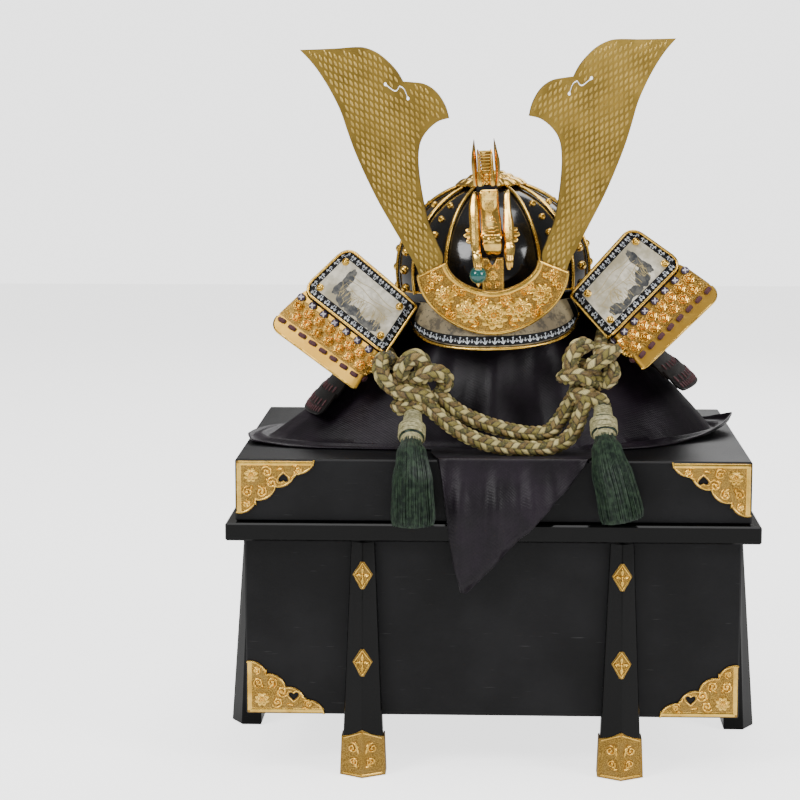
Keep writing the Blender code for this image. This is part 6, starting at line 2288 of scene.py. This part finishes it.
def small_flower(bm):
    """A blossom stamp for the cast plate: curled petals round a raised eye."""
    outer = ((1.0, -0.0004), (0.95, 0.0013), (0.82, 0.0015), (0.70, 0.0003))
    raised(bm, upright, (0.0, 0.0), (0.0056, 0.0056), outer, 32, lobes=8, lobe_depth=0.16)
    inner = ((1.0, 0.0), (0.93, 0.0022), (0.76, 0.0024), (0.58, 0.0010))
    raised(bm, upright, (0.0, 0.0), (0.0038, 0.0038), inner, 24, lobes=6, lobe_depth=0.12)
    eye = ((1.0, 0.0), (0.88, 0.0027), (0.45, 0.0033))
    raised(bm, upright, (0.0, 0.0), (0.0019, 0.0019), eye, 10)


def plate_leaf(bm):
    """A leaf stamp for the cast plate."""
    leaf(bm, upright, (0.0, 0.0), pi / 2, 0.0056, 0.0030, 0.0018)


plate_bud = stamp_of((0.0014, 0.0014), ((1.0, -0.0004), (0.9, 0.0010), (0.4, 0.0018)), 10)
# broad flat silk lacing, laced slantwise
dash_rows = ((1.0, -0.0003), (0.96, 0.0005), (0.70, 0.0011), (0.30, 0.0013))
lacing_dash = stamp_of((0.0021, 0.0037), dash_rows, 16, power=5.0, turn=0.12)
# the dark round pad under a crossed lacing knot
bed_rows = ((1.0, -0.0004), (1.0, 0.0006), (0.86, 0.0012), (0.4, 0.0013))
knot_bed = stamp_of((0.0037, 0.0037), bed_rows, 16)
stud_rows = ((1.0, -0.0003), (1.0, 0.0004), (0.90, 0.0007), (0.78, 0.0008))
stud_rows += ((0.74, 0.0016), (0.5, 0.0026), (0.2, 0.0031))
domed_stud = stamp_of((0.0034, 0.0034), stud_rows, 18)


def crossed_cord(bm):
    """The two arms of a crossed lacing knot."""
    rows = ((1.0, 0.0006), (0.95, 0.0016), (0.6, 0.0022), (0.2, 0.0024))
    for turn in (pi / 4, -pi / 4):
        raised(bm, upright, (0.0, 0.0), (0.0031, 0.0008), rows, columns=12, turn=turn, power=3.0)


def corner_cut(from_end):
    """How far a wing's edges are cut back at a distance from its far end."""
    return wing_corner * (1 - sqrt(1 - max(0.0, 1 - from_end / wing_corner) ** 2))


panel_top = leather_margin
panel_depth = first_lame - 2 * leather_margin
panel_length = guard_length(first_lame / 2, facing_first)
plate_length = guard_length(plate_bottom, relief_first)
sprig_line = border_width * 0.52 - 0.0016
sprig_pitch = 0.0036
for name, side in (("left", -1), ("right", 1)):

    def wing_place(along, down, out):
        """A point over the panel: metres from its inner edge, metres down it and out from it."""
        column = column_at(along, first_lame / 2, facing_first)
        return guard_world(side, guard_spot(column, panel_top + down, panel_face - leather_thickness - out))

    def plate_place(along, down, out):
        """A point over the flower plate: metres from its inner edge, metres down the guard, and out."""
        column = column_at(along, plate_bottom, relief_first)
        return guard_world(side, guard_spot(column, down, plate_face - relief_thickness * 0.45 - out))

    def leather_point(off, row, column):
        """A point of the panel's leather, between its cut edges."""
        number = facing_first + column
        cut = guard[number][3] * wing_corner
        down = panel_top + cut + (panel_depth - 2 * cut) * row / leather_rows
        return guard_world(side, guard_spot(number, down, off))

    def plate_point(off, row, column):
        """A point of the flower plate's ground."""
        down = plate_top + (plate_bottom - plate_top) * row / plate_rows
        return guard_world(side, guard_spot(relief_first + column, down, off))

    def wing_seat(place, along, down, turn=0.0, size=1.0):
        """A stamp's seat on the panel or the plate, turned from the way up."""
        upward = place(along + 0.002 * sin(turn), down - 0.002 * cos(turn), 0.0) - place(along, down, 0.0)
        return wall_seat(place, along, down, size, upward=upward)

    leather = bmesh.new()
    offs = (panel_face, panel_face - leather_thickness)
    thick_wall(leather, *two_faces(offs, leather_rows + 1, len(guard) - facing_first, leather_point))
    border = bmesh.new()
    for top_strip in (True, False):
        strip = [[], [], [], []]
        for step in range(4):
            for column in range(61):
                along = panel_length * column / 60
                cut = corner_cut(panel_length - along)
                inward = max(border_width - 0.55 * cut, 0.0008) * step / 3
                strip[step].append((along, cut + inward if top_strip else panel_depth - cut - inward))
        printed_strip(border, wing_place, strip, 0.00012)
    for start in (0.0, panel_length - border_width):
        strip = []
        for step in range(13):
            strip.append([])
            for column in range(9):
                along = start + border_width * column / 8
                cut = corner_cut(panel_length - along)
                strip[-1].append((along, cut + (panel_depth - 2 * cut) * step / 12))
        printed_strip(border, wing_place, strip, 0.00016)

    sprigs = bmesh.new()
    chance = random.Random(f"sprigs {name}")
    lean = 0.30
    along = 0.0035
    while along < panel_length - 0.006:
        for down, heading in ((sprig_line, pi / 2), (panel_depth - sprig_line, -pi / 2)):
            iris_sprig(sprigs, wing_place, (along, down), heading + lean, sprig_length, 0.0003)
        lean = -lean
        along += sprig_pitch
    down = border_width + 0.0010
    while down < panel_depth - border_width:
        for along, heading in ((sprig_line, 0.0), (panel_length - sprig_line, pi)):
            iris_sprig(sprigs, wing_place, (along, down), heading + lean, sprig_length, 0.0003)
        lean = -lean
        down += sprig_pitch

    rocks = bmesh.new()
    reeds = bmesh.new()
    for along, down, wide, tall, turn in (
        (0.020, 0.0315, 0.0075, 0.0045, 0.3),
        (0.030, 0.0335, 0.0090, 0.0026, -0.1),
        (0.042, 0.0320, 0.0080, 0.0040, 0.2),
        (0.055, 0.0290, 0.0090, 0.0062, -0.5),
        (0.063, 0.0160, 0.0046, 0.0085, 0.15),
        (0.064, 0.0250, 0.0042, 0.0070, -0.2),
    ):
        rows = ((1.0, -0.0003), (0.98, 0.0001))
        raised(rocks, wing_place, (along, down), (wide, tall), rows, 28, turn, lobes=7, lobe_depth=0.16)
    for number in range(46):
        root = (0.014 + 0.050 * chance.random(), 0.034 - 0.010 * chance.random())
        bend = chance.uniform(-0.9, 0.9)
        length = chance.uniform(0.004, 0.011)
        line = []
        for share in [step / 8 for step in range(9)]:
            reach = length * share
            line.append((root[0] + reach * sin(bend * share), root[1] - reach * cos(bend * share)))
        stroke(reeds, wing_place, line, [0.00036 * (1.05 - s / 8) for s in range(9)], 0.00022, 0.0002)
    for number in (0, 2, 4):
        line = []
        for share in [step / 24 for step in range(25)]:
            down = 0.012 + 0.0022 * number + 0.0010 * sin(9 * share + 2 * number)
            line.append((0.012 + 0.050 * share, down))
        ridge(reeds, wing_place, line, 0.00022, 0.00018, 0.0002)
    meshes = [
        close_mesh("panel", leather, picture_leather),
        close_mesh("panel border", border, border_black),
        close_mesh("panel sprigs", sprigs, sprig_white),
        close_mesh("panel rocks", rocks, rock_grey),
        close_mesh("panel grass", reeds, reed_ochre),
    ]
    put_together(f"picture_panel_{name}_leather", meshes, "picture leather", f"picture_panel_{name}")

    off = panel_face - leather_thickness - touch_gap - panel_rim_radius
    top_line = []
    low_line = []
    for number in range(facing_first, len(guard)):
        inset = panel_top * 0.8 + guard[number][3] * wing_corner
        top_line.append(guard_world(side, guard_spot(number, inset, off)))
        low_line.append(guard_world(side, guard_spot(number, first_lame - inset, off)))
    end_line = [top_line[-1].lerp(low_line[-1], s / 12) for s in range(1, 12)]
    start_line = [low_line[0].lerp(top_line[0], s / 12) for s in range(1, 12)]
    rim_loop = top_line + end_line + low_line[::-1] + start_line
    rim = wire_mesh([rim_loop], panel_rim_radius, 12, bright_gilt, closed=True)
    put_together(f"panel_rim_{name}_wire", [rim], "gilt", f"panel_rim_{name}")

    seats = []
    for along in (0.0095, panel_length - 0.0090):
        for down in (0.0085, panel_depth - 0.0085):
            seats.append(wing_seat(wing_place, along, down))
    put_together(f"panel_studs_{name}", [stamp_mesh(domed_stud, seats, stud_gold)], "gilt")

    ground = bmesh.new()
    offs = (plate_face, plate_face - relief_thickness * 0.45)
    thick_wall(ground, *two_faces(offs, plate_rows + 1, len(guard) - relief_first, plate_point))
    blossoms = []
    leaves = []
    buds = []
    along = 0.0042
    count = 0
    while along < plate_length - 0.0040:
        odd = count % 2
        size = 0.88 + 0.12 * chance.random()
        blossoms.append(wing_seat(plate_place, along, plate_top + (0.0122, 0.0052)[odd], count, size))
        other = plate_top + (0.0036, 0.0138)[odd]
        for turn in (-1.2, 1.2):
            leaves.append(wing_seat(plate_place, along + 0.0011 * turn, other, turn, 0.62))
        buds.append(wing_seat(plate_place, along + 0.0034, plate_top + (0.0158, 0.0022)[odd], 0.0, 0.7))
        buds.append(wing_seat(plate_place, along - 0.0010, other + (-0.0018, 0.0018)[odd], 0.0, 0.7))
        along += blossom_pitch
        count += 1
    knots = []
    for number in range(8):
        along = plate_length / 7.6 * (number + 0.35)
        if along < plate_length - 0.003:
            knots.append(wing_seat(plate_place, along, plate_top - 0.0008, 0.0, 0.95))
    dashes = []
    for number in range(9):
        along = plate_length / 9 * (number + 0.5)
        dashes.append(wing_seat(plate_place, along, plate_bottom + 0.0026, pi / 2))
    meshes = [close_mesh("flower plate", ground, punched_gilt)]
    for shape, seats, finish in (
        (small_flower, blossoms, bright_gilt),
        (plate_leaf, leaves, bright_gilt),
        (plate_bud, buds, bright_gilt),
        (crossed_cord, knots, cord_white),
        (knot_bed, knots, bed_dark),
        (lacing_dash, dashes, lace_plum),
    ):
        meshes.append(stamp_mesh(shape, seats, finish))
    put_together(f"flower_plate_{name}_cast", meshes, "gilt", f"flower_plate_{name}")

# Crest: a horned beast climbs the front of the bowl, cast in gilt brass in one piece and polished.
# Its head looks down over the holder, and its left claw grips a round green jewel.
crest_gold = worn_finish(
    "polished crest gold",
    (0.93, 0.66, 0.30),
    (90.0, 900.0),
    ((0.96, 0.64, 0.17), (0.72, 0.42, 0.08)),
    (0.14, 0.0, 0.15, 0.12),
    (1.0, 0.0, 0.25, 0.0012),
    fade=(0.35, 0.65),
    roughness=0.14,
    metallic=1.0,
)
jewel_green = plain_finish(
    "green glass jewel",
    (0.01, 0.16, 0.13),
    90.0,
    ((0.006, 0.075, 0.066), (0.012, 0.12, 0.105)),
    (0.4, 0.7),
    detail=3.0,
    roughness=0.08,
    coat=0.6,
)

crest_back = post_front + post_depth / 2
crest_ladder = (133.4, 130.8, 128.4, 125.8, 123.0, 120.2, 117.6)

# rows of (across, up, forward, half width, half depth) in millimetres from the post's middle line
horn_left_rows = (
    (-11.6, 103.5, 2.0, 1.4, 2.4), (-12.6, 106.2, 2.5, 1.7, 2.8), (-13.1, 115.0, 3.0, 2.2, 3.6),
    (-13.5, 124.4, 3.2, 2.4, 3.8), (-13.5, 133.6, 2.6, 1.6, 2.6), (-13.2, 143.4, 1.2, 0.25, 0.4),
)
horn_right_rows = (
    (4.6, 103.5, 2.0, 1.4, 2.4), (5.3, 106.2, 2.5, 1.7, 2.8), (6.2, 115.0, 3.0, 2.0, 3.6),
    (6.0, 124.4, 3.2, 2.3, 3.8), (4.9, 133.6, 2.6, 1.5, 2.6), (3.7, 144.0, 1.2, 0.25, 0.4),
)
bar_left_rows = (
    (-8.3, 103.5, 3.5, 2.2, 1.8), (-8.6, 108.0, 4.4, 2.4, 2.2), (-9.2, 119.0, 4.6, 1.7, 1.8),
    (-9.9, 131.0, 4.2, 1.2, 1.3), (-10.3, 135.2, 3.4, 0.5, 0.6),
)
bar_right_rows = (
    (1.6, 103.5, 3.5, 2.2, 1.8), (1.7, 108.0, 4.4, 2.4, 2.2), (1.5, 119.0, 4.6, 1.8, 1.8),
    (1.2, 131.0, 4.2, 1.3, 1.3), (1.0, 135.2, 3.4, 0.5, 0.6),
)
head_rows = (
    (1.6, 45.4, 2.0, 3.6, 3.0), (1.1, 47.4, 5.4, 6.4, 5.0), (0.6, 50.5, 7.0, 7.9, 6.4),
    (0.3, 55.0, 7.6, 8.6, 7.0), (0.2, 58.0, 7.4, 8.3, 7.0), (0.1, 62.0, 6.6, 9.3, 6.6),
    (-0.2, 65.0, 5.2, 8.9, 6.2), (-0.5, 74.0, 3.6, 8.7, 6.0), (-1.2, 84.0, 2.6, 8.2, 5.8),
    (-1.6, 92.0, 2.0, 8.2, 6.0), (-1.9, 99.0, 1.4, 8.3, 5.8), (-2.1, 101.6, 0.8, 7.4, 4.6),
)
leg_left_rows = (
    (-12.6, 31.4, 14.6, 1.6, 1.6), (-12.3, 34.6, 14.0, 3.0, 3.0), (-12.6, 41.0, 12.6, 4.1, 4.0),
    (-13.0, 47.2, 11.0, 4.2, 4.2), (-13.4, 49.4, 9.8, 3.7, 3.8), (-13.8, 53.0, 8.8, 4.4, 4.4),
    (-14.0, 61.0, 7.0, 4.7, 4.6), (-14.2, 70.0, 5.0, 4.7, 4.8), (-14.3, 80.0, 3.0, 4.9, 4.8),
    (-14.2, 88.0, 1.4, 4.7, 4.4), (-13.9, 95.0, 0.6, 3.4, 3.4), (-13.4, 99.4, 0.0, 1.6, 2.0),
)
leg_right_rows = (
    (13.8, 33.8, 14.6, 1.3, 1.4), (13.9, 37.8, 13.8, 2.7, 2.8), (14.4, 45.6, 12.0, 4.1, 3.8),
    (14.9, 52.3, 10.4, 4.8, 4.4), (14.5, 56.2, 9.2, 4.1, 4.2), (14.5, 60.0, 8.2, 4.7, 4.6),
    (14.2, 73.0, 5.2, 4.6, 4.8), (13.6, 82.5, 2.8, 3.6, 4.4), (13.5, 90.0, 1.4, 3.2, 4.0),
    (13.7, 96.2, 0.6, 2.8, 3.2), (14.6, 100.2, 0.0, 1.5, 2.0),
)


def crest_spot(across, up, forward):
    """A point of the crest from its millimetres across, up and forward."""
    return in_helmet((across * 0.001, crest_back - forward * 0.001, up * 0.001))


def cast_bar(bm, rows, corners=10, power=3.0, turn=0.5, steps=4):
    """A cast limb through its rows, with rounded edges between a few flat sides."""
    sections = []
    for number in range(len(rows) - 1):
        before = rows[max(number - 1, 0)]
        near, far = rows[number], rows[number + 1]
        after = rows[min(number + 2, len(rows) - 1)]
        for step in range(steps if number < len(rows) - 2 else steps + 1):
            t = step / steps
            values = []
            for a, b, c, d in zip(before, near, far, after):
                bend = (2 * b, c - a, 2 * a - 5 * b + 4 * c - d, 3 * b - 3 * c + d - a)
                values.append(0.5 * (bend[0] + bend[1] * t + bend[2] * t * t + bend[3] * t**3))
            sections.append(values)
    rings = []
    for across, up, forward, wide, deep in sections:
        ring = []
        for corner in range(corners):
            angle = 2 * pi * (corner + turn) / corners
            swell = (abs(cos(angle)) ** power + abs(sin(angle)) ** power) ** (-1 / power)
            here = across + wide * swell * cos(angle)
            ring.append(crest_spot(here, up, forward + deep * swell * sin(angle)))
        rings.append(ring)
    closed_tube(bm, rings)


def head_front(up):
    """How far forward the head's face stands at a height."""
    for near, far in zip(head_rows, head_rows[1:]):
        if up <= far[1]:
            share = min(1.0, max(0.0, (up - near[1]) / (far[1] - near[1])))
            return near[2] + near[4] + share * (far[2] + far[4] - near[2] - near[4])
    return head_rows[-1][2] + head_rows[-1][4]


def face_place(across, up, out):
    """A point off the beast's face, from millimetres across and up and metres out."""
    return crest_spot(across, up, head_front(up) - 0.25 * abs(across / 8.0) ** 3 + out * 1000)


bm = bmesh.new()
for rows in (horn_left_rows, horn_right_rows):
    cast_bar(bm, rows, corners=4, power=1.4, turn=0.0)
for rows in (bar_left_rows, bar_right_rows):
    cast_bar(bm, rows, corners=8, power=2.0)
cast_bar(bm, head_rows, corners=20, power=4.5)
cast_bar(bm, leg_left_rows, corners=10, power=2.0, steps=3)
cast_bar(bm, leg_right_rows, corners=10, power=2.0, steps=3)
back_rows = (
    (-3.2, 101.0, 1.2, 2.6, 1.0), (-3.4, 112.0, 2.6, 3.0, 1.0),
    (-4.0, 126.0, 2.8, 4.2, 1.0), (-4.3, 133.6, 2.6, 4.6, 0.8),
)
cast_bar(bm, back_rows, corners=8, power=4.0)
for up, half in ((113.6, 2.9), (109.4, 2.2), (105.8, 1.7)):
    low, high = [(-3.2, up + way * 1.5, 3.6, half * 0.7, 1.2) for way in (-1, 1)]
    cast_bar(bm, (low, (-3.2, up, 4.4, half, 2.0), high), corners=12, power=2.0)

# the shield on its forehead, the folds over its nose and its lip
shield = []
for step in range(25):
    angle = pi + pi * step / 24
    shield.append((-1.6 + 6.9 * cos(angle), 88.6 + 6.4 * sin(angle)))
shield += [(5.6, 94.5), (5.2, 100.2), (-0.6, 100.6), (-1.4, 96.0)]
shield += [(-2.2, 100.6), (-8.5, 100.0), (-8.5, 94.5)]
for scale, lift in ((1.0, 0.0014), (0.62, 0.0022)):
    middle = (-1.5, 91.5 if scale == 1.0 else 87.2)
    outer = []
    inner = []
    for across, up in shield:
        at = (middle[0] + scale * (across - middle[0]), middle[1] + scale * (up - 91.5))
        outer.append(bm.verts.new(face_place(at[0], at[1], -0.0015)))
        near = (middle[0] + 0.9 * (at[0] - middle[0]), middle[1] + 0.92 * (at[1] - middle[1]))
        inner.append(bm.verts.new(face_place(near[0], near[1], lift)))
    for number in range(len(outer)):
        after = (number + 1) % len(outer)
        bm.faces.new([outer[number], outer[after], inner[after], inner[number]])
    bm.faces.new(outer[::-1])
    bm.faces.new(inner)
for up, half, drop, wide in (
    (79.2, 2.2, 1.4, 1.0),
    (76.2, 3.6, -1.6, 0.7),
    (73.4, 4.8, -2.0, 0.7),
    (70.6, 5.8, 1.8, 0.75),
    (67.8, 6.6, 2.2, 0.8),
):
    line = []
    for step in range(13):
        share = step / 6 - 1
        line.append((-0.2 + half * share, up - drop * (1 - abs(share)) + 0.5 * cos(3 * pi * share)))
    stroke(bm, face_place, line, [wide * (1.15 - abs(s / 6 - 1)) for s in range(13)], 0.0013, 0.0008)
for across, turn in ((-5.2, 0.25), (5.4, -0.25)):
    rows = ((1.0, -0.001), (0.9, 0.0006), (0.55, 0.0013))
    raised(bm, face_place, (across, 61.0), (3.1, 3.6), rows, columns=10, turn=turn, power=3.0)
rows = ((1.0, -0.001), (0.9, 0.0008), (0.6, 0.0014))
raised(bm, face_place, (0.2, 62.2), (2.3, 2.6), rows, columns=8, turn=pi / 4, power=1.6)
# three talons on each claw, from its first talon's tip
for first, tip, dip, nose, middle, root, back in (
    (-13.9, 31.8, 1.6, 16.6, 36.0, 40.5, 15.8),
    (12.6, 35.6, 1.8, 15.8, 40.0, 46.0, 15.2),
):
    for number in range(3):
        across = first + 1.9 * number
        talon = (
            (across, tip - dip * (number == 1), nose, 0.4, 0.4),
            (across, middle, nose + 0.8, 1.1, 1.3),
            (across, root, back, 1.0, 1.2),
        )
        cast_bar(bm, talon, corners=6, power=2.0, steps=3)
for side in (-1, 1):
    for up, reach, half in ((66.8, 4.6, 2.0), (62.4, 6.2, 2.4), (57.6, 4.4, 2.2)):
        rings = []
        for share, wide in ((0.0, 0.9), (0.5, 1.0), (0.85, 0.8), (1.0, 0.3)):
            ring = []
            for corner in range(8):
                angle = 2 * pi * corner / 8
                across = side * (17.4 + share * reach)
                height = up + half * wide * sin(angle)
                ring.append(crest_spot(across, height, 2.0 - share + 1.3 * cos(angle)))
            rings.append(ring)
        closed_tube(bm, rings)
rungs = []
for number, up in enumerate(crest_ladder):
    narrow = 0.22 * number
    ends = [(-9.0 + narrow, up, 4.2), (-3.8, up, 5.0), (1.2 - narrow, up, 4.2)]
    rungs.append([crest_spot(*end) for end in ends])
# Painted shade: a black band round the crest between the head and the horns stands for the dark gap there.
gap_shade_band = bmesh.new()
gap_shade_rows = ((-3.2, 99.6, 1.4, 8.6, 4.2), (-3.2, 101.8, 1.8, 8.8, 4.2), (-3.2, 104.4, 1.8, 8.8, 3.6))
cast_bar(gap_shade_band, gap_shade_rows, corners=16, power=5.0)
meshes = [
    close_mesh("crest cast", bm, crest_gold),
    wire_mesh(rungs, 0.00075, 10, crest_gold),
    close_mesh("crest gap shade", gap_shade_band, border_black),
]
put_together("crest_cast_beast", meshes, "gilt", "crest", smooth=32)

jewel = bmesh.new()
bmesh.ops.create_uvsphere(jewel, u_segments=40, v_segments=24, radius=0.0074)
bmesh.ops.translate(jewel, vec=crest_spot(-12.4, 29.6, 13.0), verts=jewel.verts[:])
prong = bmesh.new()
prong_rows = ((-12.4, 19.4, 13.6, 0.5, 0.5), (-12.4, 21.2, 13.6, 1.5, 1.5), (-12.4, 23.4, 13.6, 2.4, 2.4))
cast_bar(prong, prong_rows, corners=10, power=2.0)
meshes = [close_mesh("jewel", jewel, jewel_green), close_mesh("jewel prong", prong, crest_gold)]
put_together("crest_jewel_glass", meshes, "green jewel", "crest_jewel")

low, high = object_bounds()
{"cad": [list(cad_low), list(cad_high)], "visual": [list(low), list(high)]}
